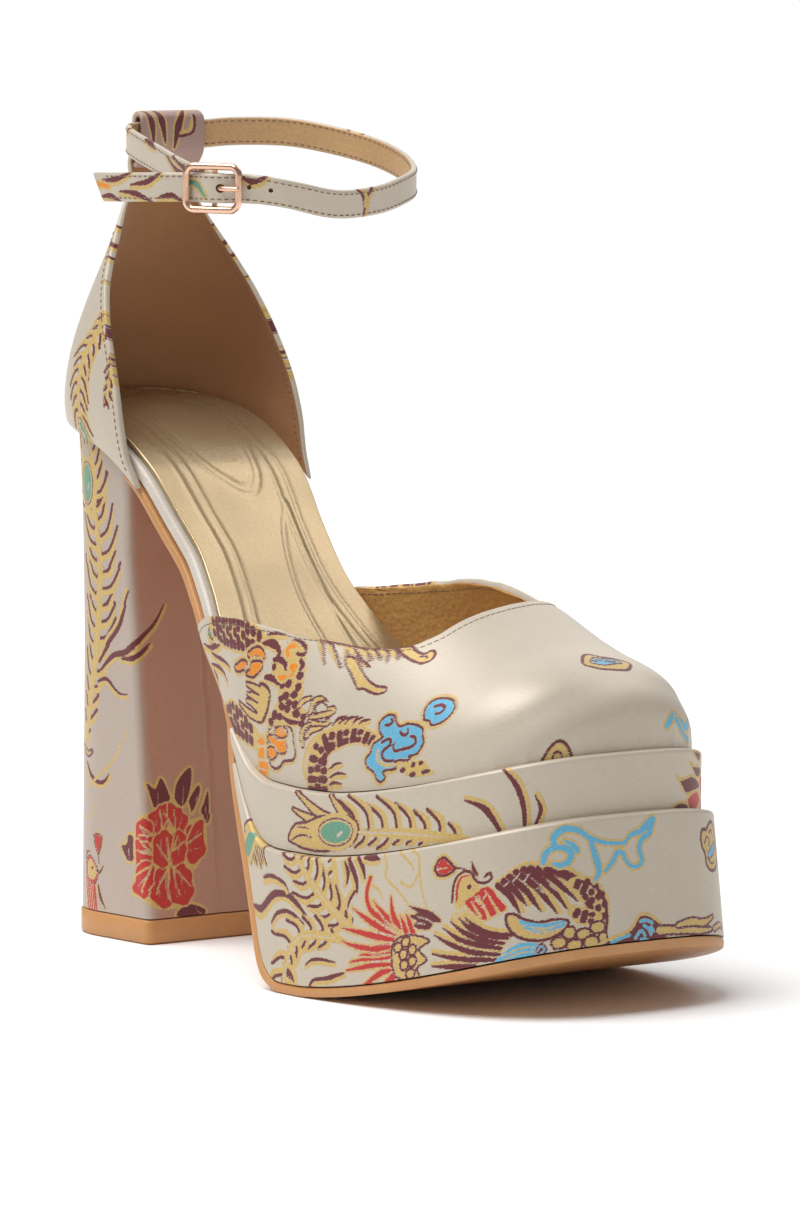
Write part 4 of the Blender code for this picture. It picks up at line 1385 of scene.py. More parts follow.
def add_stitches(piece, line, normals):
    """Short threads along a line that lies on a surface, sunk into it at both ends."""
    along = arc_lengths(line)
    count = int(along[-1] / STITCH_PITCH)
    starts = (np.arange(count) + 0.5) * along[-1] / count
    turn = circle(STITCH_SIDES)
    for where in starts:
        place = at_lengths(line, along, where + STITCH_PLACES * STITCH_LENGTH)
        up = unit(at_lengths(normals, along, where))
        way = unit(place[-1] - place[0])
        side = unit(np.cross(up, way))
        place = place + up * (STITCH_HEIGHTS * STITCH_RADIUS)[:, None]
        wheel = side * np.cos(turn)[:, None] + up * np.sin(turn)[:, None]
        piece.tube(place[:, None] + wheel * (STITCH_THICKNESS * STITCH_RADIUS)[:, None, None], 0)


EDGE_ROWS = 40


def edge_line(rows, away):
    """The line that lies a distance in from the first row of a grid, measured down its columns."""
    columns = np.swapaxes(rows[:EDGE_ROWS], 0, 1)
    return np.array([at_lengths(column, arc_lengths(column), away) for column in columns])


def prong_rings():
    """Rings of the pin, from the cross bar over the strap to the frame."""
    rest = BUCKLE_WIRE + PRONG_WIRE + GAP
    tip = BUCKLE_LENGTH / 2 + 1.2
    places = (
        (1.55, -1.4, 0.0),
        (1.9, -0.6, 0.0),
        (2.3, 0.6, 0.0),
        (3.6, 1.7, 0.0),
        (5.6, rest, 0.0),
        (tip, rest - 0.1, 0.0),
    )
    line = smoothed(places, 8)
    left = arc_lengths(line)[-1] - arc_lengths(line)
    radius = PRONG_WIRE * np.sqrt(np.clip(left / PRONG_WIRE, 0.05, 1.0))
    return wire_rings(buckle_points(line), radius, PIN_SIDES)


# Materials

CHAMPAGNE = (0.585, 0.508, 0.405)
ROSE_CHAMPAGNE = (0.50, 0.405, 0.34)
# Painted shade and reflection: a darker rose for the heel's breast, which faces away from the light
BREAST_PAINTED_SHADE = (0.49, 0.275, 0.195)
# Painted shade: a darker rose for the tab's folded face inside the strap loop
TAB_PAINTED_SHADE = (0.44, 0.29, 0.25)
PALE_SATIN = (0.62, 0.555, 0.475)
SATIN_ROUGHNESS = 0.47
THREAD_COLOURS = {
    "gold": (0.63, 0.435, 0.15),
    "maroon": (0.150, 0.027, 0.032),
    "red": (0.540, 0.036, 0.028),
    "blue": (0.135, 0.440, 0.640),
    "green": (0.138, 0.330, 0.225),
    "orange": (0.800, 0.262, 0.012),
}


def new_material(name, colour, roughness, **more):
    """A material, its nodes and its shader. Further settings go by the shader's own labels."""
    made = bpy.data.materials.new(name)
    made.use_nodes = True
    shader = made.node_tree.nodes["Principled BSDF"]
    shader.inputs["Base Color"].default_value = (*colour, 1.0)
    shader.inputs["Roughness"].default_value = roughness
    for label, value in more.items():
        shader.inputs[label.replace("_", " ")].default_value = value
    return made, Nodes(made.node_tree), shader


class Nodes:
    """Adds nodes to a material. A socket given as a value is linked, anything else is set."""

    def __init__(self, tree):
        self.tree = tree

    def add(self, kind, inputs=(), **settings):
        node = self.tree.nodes.new("ShaderNode" + kind)
        for key, value in settings.items():
            setattr(node, key, value)
        for key, value in dict(inputs).items():
            if isinstance(value, bpy.types.NodeSocket):
                self.tree.links.new(value, node.inputs[key])
            else:
                node.inputs[key].default_value = value
        return node

    def math(self, operation, first, second):
        return self.add("Math", {0: first, 1: second}, operation=operation).outputs[0]

    def remap(self, value, low, high, to_low, to_high):
        sockets = {"Value": value, "From Min": low, "From Max": high, "To Min": to_low, "To Max": to_high}
        return self.add("MapRange", sockets).outputs[0]

    def noise(self, place, scale, detail=2.0, stretch=(1.0, 1.0, 1.0)):
        if stretch != (1.0, 1.0, 1.0):
            place = self.add("Mapping", {"Vector": place, "Scale": stretch}).outputs[0]
        return self.add("TexNoise", {"Vector": place, "Scale": scale, "Detail": detail}).outputs[0]

    def mix(self, share, first, second, blend="MIX"):
        node = self.add("Mix", data_type="RGBA", blend_type=blend)
        wanted = {"Factor_Float": share, "A_Color": first, "B_Color": second}
        for socket in node.inputs:
            if socket.identifier in wanted:
                value = wanted[socket.identifier]
                if isinstance(value, bpy.types.NodeSocket):
                    self.tree.links.new(value, socket)
                else:
                    socket.default_value = value if isinstance(value, float) else (*value, 1.0)
        return next(s for s in node.outputs if s.identifier == "Result_Color")

    def grey(self, value):
        return self.add("CombineColor", {0: value, 1: value, 2: value}).outputs[0]

    def on_object(self):
        return self.add("TexCoord").outputs["Object"]

    def bump(self, shader, height, distance, strength):
        sockets = {"Height": height, "Distance": distance, "Strength": strength}
        self.link(self.add("Bump", sockets).outputs[0], shader, "Normal")

    def link(self, value, shader, label):
        self.tree.links.new(value, shader.inputs[label])


def brocade_material(name, ground, breast):
    """Satin with figures in six threads, read from the distances that the chart left on the mesh.

    The third number of the cloth layer says how far the ground turns to the colour given as breast, a
    painted shade.
    """
    made, nodes, shader = new_material(name, ground, SATIN_ROUGHNESS, Metallic=0.18, Sheen_Weight=0.12)
    layer = nodes.add("Attribute", attribute_name="cloth").outputs["Vector"]
    place = nodes.add("SeparateXYZ", {0: layer}).outputs
    cloth = nodes.add("CombineXYZ", {0: place[0], 1: place[1]}).outputs[0]
    slub = nodes.noise(cloth, 1.0, 3.0, (0.45, 5.5, 1.0))
    drift = nodes.noise(cloth, 0.05, 2.0)
    ragged = nodes.noise(cloth, 1.0, 1.0, (1.3, 3.2, 1.0))
    jitter = nodes.remap(ragged, 0.25, 0.75, -0.16, 0.16)
    streak = nodes.noise(cloth, 1.0, 2.0, (0.9, 7.0, 1.0))
    slub_shade = nodes.remap(slub, 0.3, 0.7, 0.92, 1.04)
    shade = nodes.math("ADD", slub_shade, nodes.remap(drift, 0.3, 0.7, -0.02, 0.02))
    dull = nodes.grey(shade)
    # Painted shade: the ground turns to the darker colour given as breast
    colour = nodes.mix(1.0, nodes.mix(place[2], ground, breast), dull, "MULTIPLY")
    tone = nodes.grey(nodes.remap(streak, 0.3, 0.7, 0.74, 1.2))
    cover = None
    for layer_name, names in (("threads_a", THREADS[:3]), ("threads_b", THREADS[3:])):
        field = nodes.add("Attribute", attribute_name=layer_name).outputs["Vector"]
        parts = nodes.add("SeparateXYZ", {0: field}).outputs
        for part, thread in zip(parts, names):
            inside = nodes.remap(nodes.math("ADD", part, jitter), -0.08, 0.08, 1.0, 0.0)
            dyed = nodes.mix(1.0, THREAD_COLOURS[thread], tone, "MULTIPLY")
            colour = nodes.mix(inside, colour, dyed)
            cover = inside if cover is None else nodes.math("MAXIMUM", cover, inside)
    nodes.link(colour, shader, "Base Color")
    nodes.link(nodes.remap(cover, 0.0, 1.0, SATIN_ROUGHNESS, 0.5), shader, "Roughness")
    weave = nodes.math("MULTIPLY", nodes.math("ADD", slub, streak), 0.3)
    nodes.bump(shader, nodes.math("ADD", cover, weave), 0.00012, 0.5)
    return made


def satin_material():
    """Plain satin with fine slubs."""
    made, nodes, shader = new_material(
        "pale_satin",
        PALE_SATIN,
        0.3,
        Sheen_Weight=0.3,
        Sheen_Roughness=0.35,
    )
    slub = nodes.noise(nodes.on_object(), 900.0, 3.0, (0.4, 1.0, 3.0))
    tone = nodes.grey(nodes.remap(slub, 0.3, 0.7, 0.93, 1.05))
    nodes.link(nodes.mix(1.0, PALE_SATIN, tone, "MULTIPLY"), shader, "Base Color")
    nodes.bump(shader, slub, 0.0001, 0.25)
    return made


def leather_material(name, dark, light, roughness, grain, depth, **more):
    """Leather with a pebbled grain and a slow change of tone."""
    made, nodes, shader = new_material(name, light, roughness, **more)
    place = nodes.on_object()
    pebble = nodes.add("TexVoronoi", {"Vector": place, "Scale": grain}).outputs["Distance"]
    fine = nodes.noise(place, grain * 1.7, 4.0)
    slow = nodes.noise(place, 45.0, 3.0)
    mixed = nodes.remap(nodes.math("ADD", fine, slow), 0.65, 1.35, 0.0, 1.0)
    nodes.link(nodes.mix(mixed, dark, light), shader, "Base Color")
    nodes.link(nodes.remap(slow, 0.3, 0.7, roughness - 0.05, roughness + 0.07), shader, "Roughness")
    nodes.bump(shader, nodes.math("ADD", pebble, fine), depth, 0.5)
    return made


def sole_material():
    """Smooth tan sole, a little uneven in tone."""
    tan, deep = (0.60, 0.30, 0.115), (0.50, 0.235, 0.085)
    made, nodes, shader = new_material("tan_sole", tan, 0.42)
    place = nodes.on_object()
    fine = nodes.noise(place, 1500.0, 3.0, (1.0, 1.0, 2.5))
    slow = nodes.noise(place, 60.0, 3.0)
    worn = nodes.remap(nodes.math("ADD", fine, slow), 0.7, 1.35, 0.0, 1.0)
    nodes.link(nodes.mix(worn, deep, tan), shader, "Base Color")
    nodes.link(nodes.remap(slow, 0.3, 0.7, 0.36, 0.5), shader, "Roughness")
    nodes.bump(shader, fine, 0.00008, 0.35)
    return made


def metal_material():
    """Rose gold, faintly brushed."""
    made, nodes, shader = new_material("rose_gold", (0.83, 0.53, 0.37), 0.2, Metallic=1.0)
    place = nodes.on_object()
    brushed = nodes.noise(place, 2600.0, 3.0, (1.0, 1.0, 0.2))
    tarnish = nodes.noise(place, 260.0, 3.0)
    nodes.link(nodes.mix(tarnish, (0.80, 0.48, 0.33), (0.87, 0.58, 0.42)), shader, "Base Color")
    nodes.link(nodes.remap(brushed, 0.3, 0.7, 0.15, 0.3), shader, "Roughness")
    nodes.bump(shader, brushed, 0.00003, 0.3)
    return made


def thread_material(name, colour):
    """Sewing thread with painted shade in the grooves between its plies."""
    made, nodes, shader = new_material(name, colour, 0.6, Sheen_Weight=0.3)
    ply = nodes.noise(nodes.on_object(), 4200.0, 2.0)
    # Painted shade: darker where the ply bump is low, in the grooves
    dark = tuple(0.6 * c for c in colour)
    nodes.link(nodes.mix(nodes.remap(ply, 0.35, 0.65, 0.0, 1.0), dark, colour), shader, "Base Color")
    nodes.bump(shader, ply, 0.00006, 0.5)
    return made


# Figures on each panel, charted in millimetres of cloth


VAMP_EDGE = 331.0
FLAME = (("gold", 1.2), ("maroon", 0.6), ("orange", -0.1))
LOBE = (("gold", 0.6), ("orange", 0.0))


def draw_vamp(chart):
    """Scaled bodies, clouds and a claw on the outer side; small clouds on the toe."""
    for side in (chart, chart.moved((VAMP_EDGE, 0.0), -1.0)):
        draw_vamp_rear(side)
    draw_vamp_low(chart)
    draw_vamp_head(chart)
    draw_vamp_middle(chart)
    draw_vamp_arch(chart)
    draw_vamp_toe(chart)


def draw_vamp_rear(chart):
    """Hair lines, a scaled body along the topline and a flame."""
    for points in (
        ((8.6, 5.6), (10.7, 5.4), (13.2, 6.6), (15.0, 8.1)),
        ((6.0, 1.0), (11.0, 4.0), (15.0, 7.4), (19.0, 11.4)),
        ((11.8, 3.4), (15.7, 5.6), (20.4, 8.6), (24.3, 10.7), (27.1, 11.8)),
        ((12.1, 0.9), (17.5, 4.5), (20.4, 6.1), (22.9, 7.0), (26.2, 7.2)),
        ((13.9, 0.9), (16.2, 1.2), (18.6, 1.3)),
    ):
        chart.tendril(points, (0.5, 1.0, 0.4))
    leaf = ((9.3, 6.3), (10.7, 8.4), (12.5, 10.2), (13.6, 9.9), (13.2, 8.6), (11.4, 6.6))
    chart.shape(leaf, ("gold", 1.1), ("maroon", 0.5), ("green", -0.1))
    body = ((12.0, 9.9), (21.1, 16.3), (28.6, 21.6), (35.7, 25.9), (41.0, 28.6))
    chart.scales(body, (1.8, 3.2, 3.6, 3.4, 2.0), 2.9, 2.3)
    chart.tendril(((42.1, 30.7), (44.3, 32.4), (46.4, 33.4), (49.6, 34.5)), (0.5, 0.9, 0.4))
    hook = ((41.4, 28.2), (44.3, 30.0), (47.1, 30.7), (49.3, 29.8), (48.4, 28.6))
    chart.ringed(hook, (0.5, 1.4, 2.4, 1.6, 0.5), "maroon", (("gold", 1.2),))
    for flame in (
        ((30.0, 14.3), (32.1, 16.6), (34.3, 19.0), (36.8, 20.2), (36.1, 18.8), (33.6, 16.3), (31.4, 14.7)),
        (
            (36.4, 22.0), (37.9, 24.1), (39.6, 25.9), (41.8, 27.0), (43.9, 26.6), (43.2, 25.6),
            (40.0, 24.5), (38.2, 22.4),
        ),
        (
            (38.9, 21.5), (40.7, 23.1), (43.2, 24.5), (43.7, 23.4), (42.1, 21.3), (40.4, 19.5),
            (37.1, 17.9), (38.9, 19.9),
        ),
    ):
        chart.shape(flame, *FLAME)


def draw_vamp_low(chart):
    """A second scaled body, a banded column and a curled cloud."""
    chart.stroke("gold", ((24.3, 1.3), (30.0, 5.6), (35.7, 8.4), (40.7, 9.1)), (0.6, 0.8, 0.6))
    chart.scales(((25.7, -0.6), (31.4, 3.1), (37.9, 5.6), (44.6, 7.0)), (2.0, 3.4, 3.4, 2.4), 2.9, 2.3)
    column = (
        (45.7, 6.6), (47.5, 8.1), (48.9, 8.6), (49.3, 6.6), (49.3, 3.8), (51.4, 3.4), (51.1, 2.0),
        (49.6, -0.8), (46.4, -0.8), (47.3, 2.0), (46.6, 3.4), (47.1, 5.6),
    )
    chart.shape(column, ("gold", 0.9), ("orange", 0.0))
    for cut in (((45.9, 5.9), (49.3, 6.8)), ((46.8, 2.8), (51.4, 4.2)), ((46.6, 0.6), (50.2, 1.5))):
        chart.stroke(None, cut, (0.5, 0.5))
    cloud = (
        (50.3, 9.0), (51.0, 11.6), (53.4, 13.7), (57.5, 14.0), (60.0, 12.8), (60.7, 10.6), (61.8, 8.1),
        (61.2, 6.3), (57.5, 5.4), (56.4, 4.1), (54.6, 3.1), (52.5, 3.4), (51.0, 5.2),
    )
    chart.shape(cloud, ("gold", 1.1), ("maroon", 0.45), (None, -0.3))
    for lobe in (
        (
            (50.6, 9.1), (51.6, 10.4), (55.0, 9.9), (57.1, 10.6), (58.2, 9.1), (57.9, 7.7), (56.1, 7.2),
            (54.3, 7.4), (52.9, 8.6),
        ),
        ((53.2, 12.2), (55.0, 13.3), (57.1, 13.1), (57.9, 12.0), (56.8, 11.1), (54.6, 10.9), (53.2, 11.4)),
        ((50.9, 6.6), (52.0, 7.7), (53.6, 7.4), (54.3, 6.3), (52.5, 5.0), (51.2, 5.6)),
    ):
        chart.shape(lobe, ("gold", 0.95), ("maroon", 0.5), ("orange", -0.1))
    chart.stroke("gold", ((56.9, 12.2), (55.6, 12.7), (54.6, 12.0), (55.6, 11.6)), (0.5, 0.5))
    palm = (
        (44.5, 19.6), (46.8, 20.6), (48.9, 20.0), (49.3, 17.7), (48.8, 14.9), (47.6, 12.6), (45.0, 12.0),
        (44.6, 16.0),
    )
    chart.shape(palm, ("gold", 1.1), ("maroon", 0.6), ("gold", -0.3))
    for finger in (
        ((46.4, 18.8), (41.8, 17.6), (37.9, 15.9)),
        ((46.4, 16.8), (42.1, 15.7), (38.9, 14.1)),
        ((46.4, 14.7), (42.1, 13.9), (38.8, 12.5)),
        ((46.6, 12.6), (40.7, 10.8), (34.6, 9.2)),
    ):
        chart.edged(finger, (1.5, 1.2, 0.3), edge=0.55)
    chart.shape(palm, ("gold", -0.5))


def draw_vamp_head(chart):
    """A cluster of dark cells and flame lobes on gold."""
    ground = (
        (50.4, 30.6), (51.1, 33.4), (53.9, 34.7), (58.2, 33.8), (58.6, 30.6), (60.0, 28.4), (60.4, 25.6),
        (61.4, 22.7), (61.1, 20.6), (63.9, 18.0), (63.9, 14.6), (58.6, 14.1), (53.2, 13.4), (50.4, 12.0),
        (49.6, 13.4), (51.4, 16.3), (52.5, 19.9), (51.4, 22.0), (46.1, 21.6), (45.7, 22.7), (48.2, 24.5),
        (47.1, 26.3), (48.2, 28.4), (51.1, 29.1),
    )
    chart.shape(ground, ("gold", 0.1))
    for points, width in (
        (
            (
                (50.9, 30.6), (50.9, 32.7), (52.9, 34.0), (55.7, 34.0), (57.6, 32.7), (57.4, 31.4),
                (55.0, 31.3),
            ),
            1.2,
        ),
        (((47.9, 27.4), (49.6, 28.4), (51.8, 28.3), (53.0, 27.2)), 1.7),
        (((46.2, 22.4), (48.9, 23.4), (51.6, 23.2)), 1.8),
        (((57.0, 30.0), (58.4, 29.0), (57.9, 27.9)), 1.5),
        (((55.9, 15.7), (58.5, 15.0), (61.2, 15.3)), 1.3),
    ):
        chart.stroke("maroon", points, (width * 0.7, width, width * 0.8))
    for place in (
        (58.6, 26.3, 1.9, 1.7), (55.4, 24.0, 1.5, 2.0), (59.1, 23.6, 1.7, 1.5), (58.3, 21.6, 2.0, 1.3),
        (55.4, 20.9, 1.7, 1.6), (53.2, 22.9, 1.1, 1.1), (59.3, 19.3, 1.7, 1.6), (54.6, 18.1, 1.8, 1.4),
        (60.4, 17.2, 2.4, 1.3), (56.9, 17.8, 1.6, 1.3), (52.2, 15.6, 1.4, 2.0), (51.2, 13.6, 1.4, 1.4),
        (63.2, 16.8, 1.4, 1.2), (63.0, 15.2, 1.6, 1.1), (48.6, 26.0, 1.1, 1.3), (57.0, 19.4, 1.4, 1.2),
        (53.6, 19.8, 1.2, 1.2), (54.4, 15.6, 1.4, 1.3),
    ):
        chart.shape(oval(*place), ("maroon", 0.35))
    for lobe in (
        (
            (51.1, 30.7), (51.2, 32.4), (52.5, 33.4), (54.6, 33.2), (53.6, 32.4), (52.1, 31.6),
            (52.9, 30.0), (52.0, 29.5),
        ),
        (
            (53.8, 28.1), (55.4, 29.0), (57.0, 28.4), (56.4, 27.4), (56.2, 25.9), (54.6, 25.4),
            (55.4, 26.6), (53.9, 27.4),
        ),
        ((50.5, 24.3), (52.1, 25.4), (53.9, 25.6), (53.8, 24.5), (52.3, 23.8)),
    ):
        chart.shape(lobe, *LOBE)


def draw_vamp_middle(chart):
    """Edging and fringe under the topline, a long claw, a leaf and loose curls."""
    chart.stroke("gold", ((50.0, 36.2), (58.6, 35.8), (69.3, 35.6), (80.0, 35.4), (90.0, 36.1)), (0.9, 0.9))
    for u in np.arange(51.0, 89.0, 2.25):
        v = np.interp(u, (50.0, 58.6, 69.3, 80.0, 90.0), (36.2, 35.8, 35.6, 35.4, 36.1))
        chart.stroke("maroon", ((u, v + 0.5), (u + 1.3, v + 0.1)), (0.9, 0.7))
    for points in (
        ((60.9, 34.8), (62.9, 32.4), (65.0, 29.9)),
        ((63.9, 34.8), (66.8, 32.7), (70.4, 29.5)),
        ((69.3, 35.0), (70.4, 32.9), (71.6, 31.0)),
        ((70.7, 35.2), (74.6, 32.4), (79.6, 30.2)),
        ((74.3, 34.9), (76.4, 33.8), (78.8, 32.0)),
        ((77.1, 35.2), (79.3, 33.8), (81.4, 32.4)),
        ((80.4, 35.2), (82.5, 33.8), (83.9, 31.8)),
        ((83.6, 35.2), (85.4, 33.8), (87.1, 32.4)),
    ):
        chart.edged(points, (1.1, 0.9, 0.3), side=1.0, edge=0.6)
    claw = (
        (71.1, 32.4), (73.6, 32.7), (77.1, 30.0), (80.7, 27.4), (84.3, 25.6), (88.0, 25.0), (87.9, 24.0),
        (85.0, 23.8), (80.7, 25.2), (78.9, 25.2), (75.7, 28.1), (72.5, 30.6),
    )
    chart.shape(claw, ("maroon", 0.5), ("gold", -0.2))
    leaf = (
        (85.2, 35.9), (88.9, 36.3), (90.7, 35.2), (93.9, 34.1), (95.4, 35.2), (96.8, 34.1), (96.8, 32.4),
        (95.0, 31.6), (91.8, 32.5), (88.2, 34.1),
    )
    chart.shape(leaf, ("maroon", 0.5), ("gold", -0.2))
    chart.stroke("maroon", ((93.4, 33.4), (95.0, 33.6), (95.6, 32.8)), (0.6, 0.5))
    for points in (
        ((60.7, 19.1), (62.5, 20.9), (64.5, 21.6)),
        ((65.2, 17.7), (65.7, 20.2), (66.8, 21.6), (68.9, 21.6), (70.2, 20.9)),
        ((66.1, 17.2), (70.0, 18.0), (73.0, 19.0), (73.0, 19.9), (71.1, 19.5)),
        ((65.7, 15.9), (69.3, 15.6), (72.3, 16.2), (72.0, 17.0)),
        ((65.4, 12.4), (67.1, 14.1), (70.4, 14.9)),
        ((64.6, 10.2), (63.6, 12.0), (63.9, 14.1), (65.7, 15.4)),
    ):
        chart.edged(points, (0.9, 1.0, 0.5), edge=0.5)
    chart.stroke("maroon", ((67.5, 17.7), (67.0, 19.5), (67.9, 20.9), (69.3, 21.4)), (0.6, 0.6))


def draw_vamp_arch(chart):
    """An arched body with a crest, and the blue clouds beside it."""
    for spike in (
        ((73.9, 15.9), (75.4, 17.5), (77.9, 18.3)),
        ((76.0, 16.2), (77.2, 17.4), (79.4, 18.0)),
        ((78.2, 16.3), (79.3, 17.7), (82.1, 18.1)),
        ((80.6, 16.3), (81.8, 17.4), (83.8, 17.8)),
        ((82.9, 16.2), (83.9, 17.0), (86.4, 17.2)),
    ):
        chart.tendril(spike, (0.5, 0.9, 0.4))
    outer = (
        (67.9, 0.9), (65.7, 3.4), (65.4, 7.0), (66.8, 10.6), (69.6, 13.1), (73.6, 14.7), (78.6, 15.5),
        (83.6, 15.5), (87.1, 14.5), (90.7, 12.5),
    )
    chart.stroke("gold", outer, (0.9, 0.9))
    spine = (
        (70.9, -0.6), (70.5, 5.6), (70.9, 8.8), (72.9, 11.3), (76.4, 12.5), (80.7, 13.4), (85.0, 13.2),
        (89.3, 11.5),
    )
    chart.scales(spine, (3.8, 3.8, 3.4, 2.8, 2.3, 2.0, 1.8, 1.6), 2.3, 2.4)
    for points in (
        ((74.9, 5.4), (76.8, 6.6), (79.2, 6.9)),
        ((75.2, 3.4), (77.6, 4.4), (80.8, 4.2)),
        ((75.0, 1.4), (76.8, 2.2), (79.4, 1.8)),
    ):
        chart.tendril(points, (0.6, 0.8, 0.4))
    cloud = (
        (90.0, 15.6), (90.7, 17.0), (92.1, 17.7), (93.9, 17.4), (94.6, 16.3), (95.7, 14.9), (97.1, 14.5),
        (98.9, 14.9), (101.1, 14.5), (103.6, 13.4), (104.3, 11.6), (105.0, 9.9), (103.6, 7.7), (101.1, 7.4),
        (101.1, 6.5), (97.9, 6.8), (96.4, 5.9), (97.1, 4.9), (92.9, 4.5), (93.7, 2.7), (92.1, 2.2),
        (90.4, 4.5), (88.2, 5.9), (87.5, 7.4), (88.9, 9.1), (89.3, 10.9), (91.4, 12.0), (92.1, 12.7),
        (90.7, 14.1),
    )
    chart.cloud(
        cloud,
        "blue",
        (
            (91.8, 11.3), (93.6, 12.0), (94.6, 11.6), (94.3, 10.2), (92.9, 9.5), (92.5, 8.1), (93.9, 6.8),
            (96.4, 6.6),
        ),
        (
            (100.7, 12.0), (102.1, 11.6), (102.7, 10.2), (101.4, 9.3), (98.6, 9.1), (96.8, 8.8),
            (95.7, 9.9), (96.1, 10.9),
        ),
        ((91.8, 15.6), (92.9, 15.4), (93.8, 16.1), (93.2, 17.0)),
        ((97.1, 13.4), (98.6, 12.4), (99.6, 12.9), (99.3, 14.0)),
    )
    chart.stroke("gold", ((90.7, 9.5), (91.4, 7.0), (94.3, 5.6), (97.1, 5.6)), (0.9, 0.8))
    scrap = ((97.5, 4.5), (101.4, 5.9), (106.4, 5.9), (107.9, 4.1), (110.0, 1.8), (101.4, 2.0))
    chart.shape(scrap, ("gold", -0.2))
    for place in (
        (99.6, 4.0, 1.8, 1.5), (102.9, 4.9, 1.6, 1.5), (102.9, 2.6, 2.2, 1.3), (105.4, 5.0, 1.6, 1.3),
        (107.0, 2.8, 3.0, 1.1),
    ):
        chart.shape(oval(*place), ("maroon", 0.0))
    small = (
        (103.2, 17.5), (103.6, 19.6), (105.5, 20.6), (108.5, 20.3), (110.8, 19.3), (112.0, 17.2),
        (111.0, 15.4), (109.0, 14.4), (106.8, 14.2), (105.6, 15.4), (103.8, 16.0),
    )
    chart.cloud(small, "blue", ((105.5, 18.8), (107.5, 19.0), (109.0, 18.0), (108.2, 16.8), (106.6, 16.9)))


def draw_vamp_toe(chart):
    """Small clouds on the toe, and others on the inner side that the photo doesn't show."""
    cloud = (
        (158.6, 23.5), (160.4, 25.8), (162.7, 27.5), (165.0, 27.8), (167.3, 26.2), (170.4, 25.5),
        (173.5, 24.3), (175.8, 23.2), (172.7, 21.6), (170.0, 20.8), (165.8, 21.2), (161.2, 22.0),
    )
    chart.shape(cloud, ("maroon", 0.6), ("gold", -0.2))
    blue = (
        (161.4, 24.1), (164.6, 26.2), (166.5, 25.3), (169.8, 24.9), (172.0, 23.5), (168.1, 23.3),
        (164.2, 23.1),
    )
    chart.shape(blue, ("maroon", 0.5), ("blue", -0.1))
    for points in (
        ((162.8, 24.2), (164.6, 25.2), (166.0, 24.2)),
        ((167.2, 24.4), (168.8, 23.9), (170.4, 24.2)),
    ):
        chart.stroke("maroon", points, (0.8, 0.7))
    low = ((138.1, -0.6), (138.8, 2.0), (140.4, 3.9), (142.1, 4.3), (143.8, 2.8), (144.6, -0.6))
    chart.shape(low, ("maroon", 0.6), ("gold", -0.2))
    chart.stroke("maroon", ((140.2, 0.2), (140.6, 1.9), (142.2, 1.7), (142.6, 0.2)), (0.7, 0.6))
    chart.ringed(
        ((175.0, 5.8), (178.0, 8.2), (181.2, 6.6), (184.2, 5.5), (187.0, 7.5)),
        (1.6, 1.6),
        "blue",
        (("gold", 1.2),),
    )
    chart.ringed(((178.8, 7.4), (181.9, 4.3), (186.2, 2.4)), (1.4, 1.0), "blue", (("gold", 1.1),))
    inner = chart.moved((VAMP_EDGE, 0.0), -1.0)
    inner.cloud(
        ((62.0, 12.0), (64.0, 15.0), (68.0, 15.6), (71.0, 13.0), (70.0, 10.0), (65.0, 9.0)),
        "blue",
        ((64.4, 12.0), (66.6, 13.6), (68.6, 12.0)),
    )
    inner.cloud(
        ((96.0, 20.0), (98.0, 22.6), (101.6, 22.4), (103.0, 20.0), (101.0, 18.0), (98.0, 18.0)),
        "orange",
        ((98.0, 20.0), (99.8, 21.2), (101.2, 19.8)),
    )
    inner.tendril(((54.0, 20.0), (58.0, 24.0), (64.0, 23.0), (70.0, 26.0)), (0.5, 1.2, 1.2, 0.4))


def draw_counter(chart):
    """A plume down each side of the heel cup and leaves on the strap loop."""
    for side in (chart, chart.moved((0.0, 0.0), -1.0)):
        side.plume(
            ((-45.5, 34.0), (-49.0, 26.0), (-51.6, 18.0), (-52.4, 14.0)),
            (3.0, 3.6, 3.0, 2.0),
            2.8,
            0.75,
        )
        side.plume(
            ((-38.6, 36.0), (-39.6, 28.0), (-39.0, 19.0), (-40.4, 10.0), (-42.4, 3.0)),
            (3.0, 5.8, 6.6, 6.0, 4.4),
            3.2,
            1.1,
        )
        side.eye((-42.6, 1.0), 1.6, 3.4, -0.4)
        side.tendril(((-36.8, 40.6), (-34.0, 42.0), (-31.0, 40.2), (-29.6, 38.4)), (0.6, 1.2, 1.0, 0.4))
        side.tendril(((-31.0, 45.0), (-27.0, 44.4), (-22.0, 42.6)), (0.5, 1.0, 0.4))
        side.tendril(((-29.6, 48.4), (-24.0, 47.0), (-18.0, 45.4), (-12.0, 45.8)), (0.6, 1.2, 1.0, 0.4))
        side.tendril(((-23.6, 54.0), (-20.0, 50.8), (-16.4, 50.2)), (0.5, 0.9, 0.4))
        side.edged(((-21.0, 62.0), (-17.0, 59.0), (-12.0, 58.6)), (0.6, 1.1, 0.3))
    for points in (
        ((-8.6, 79.0), (-6.6, 84.0), (-6.0, 89.0)),
        ((-5.2, 78.0), (-3.0, 83.6), (-2.0, 88.6)),
        ((1.0, 90.0), (2.4, 84.0), (4.8, 80.0)),
    ):
        chart.ringed(points, (0.6, 2.2, 0.6), "maroon", (("gold", 1.2),))
    for points in (
        ((-9.0, 76.6), (-3.0, 73.6), (3.0, 69.0)),
        ((-8.0, 72.6), (-3.6, 71.4), (1.6, 66.6)),
        ((2.6, 86.6), (5.6, 85.4), (6.4, 82.0)),
        ((3.6, 78.6), (6.0, 75.0), (5.0, 71.0)),
    ):
        chart.edged(points, (0.6, 1.4, 0.4), side=1.0)


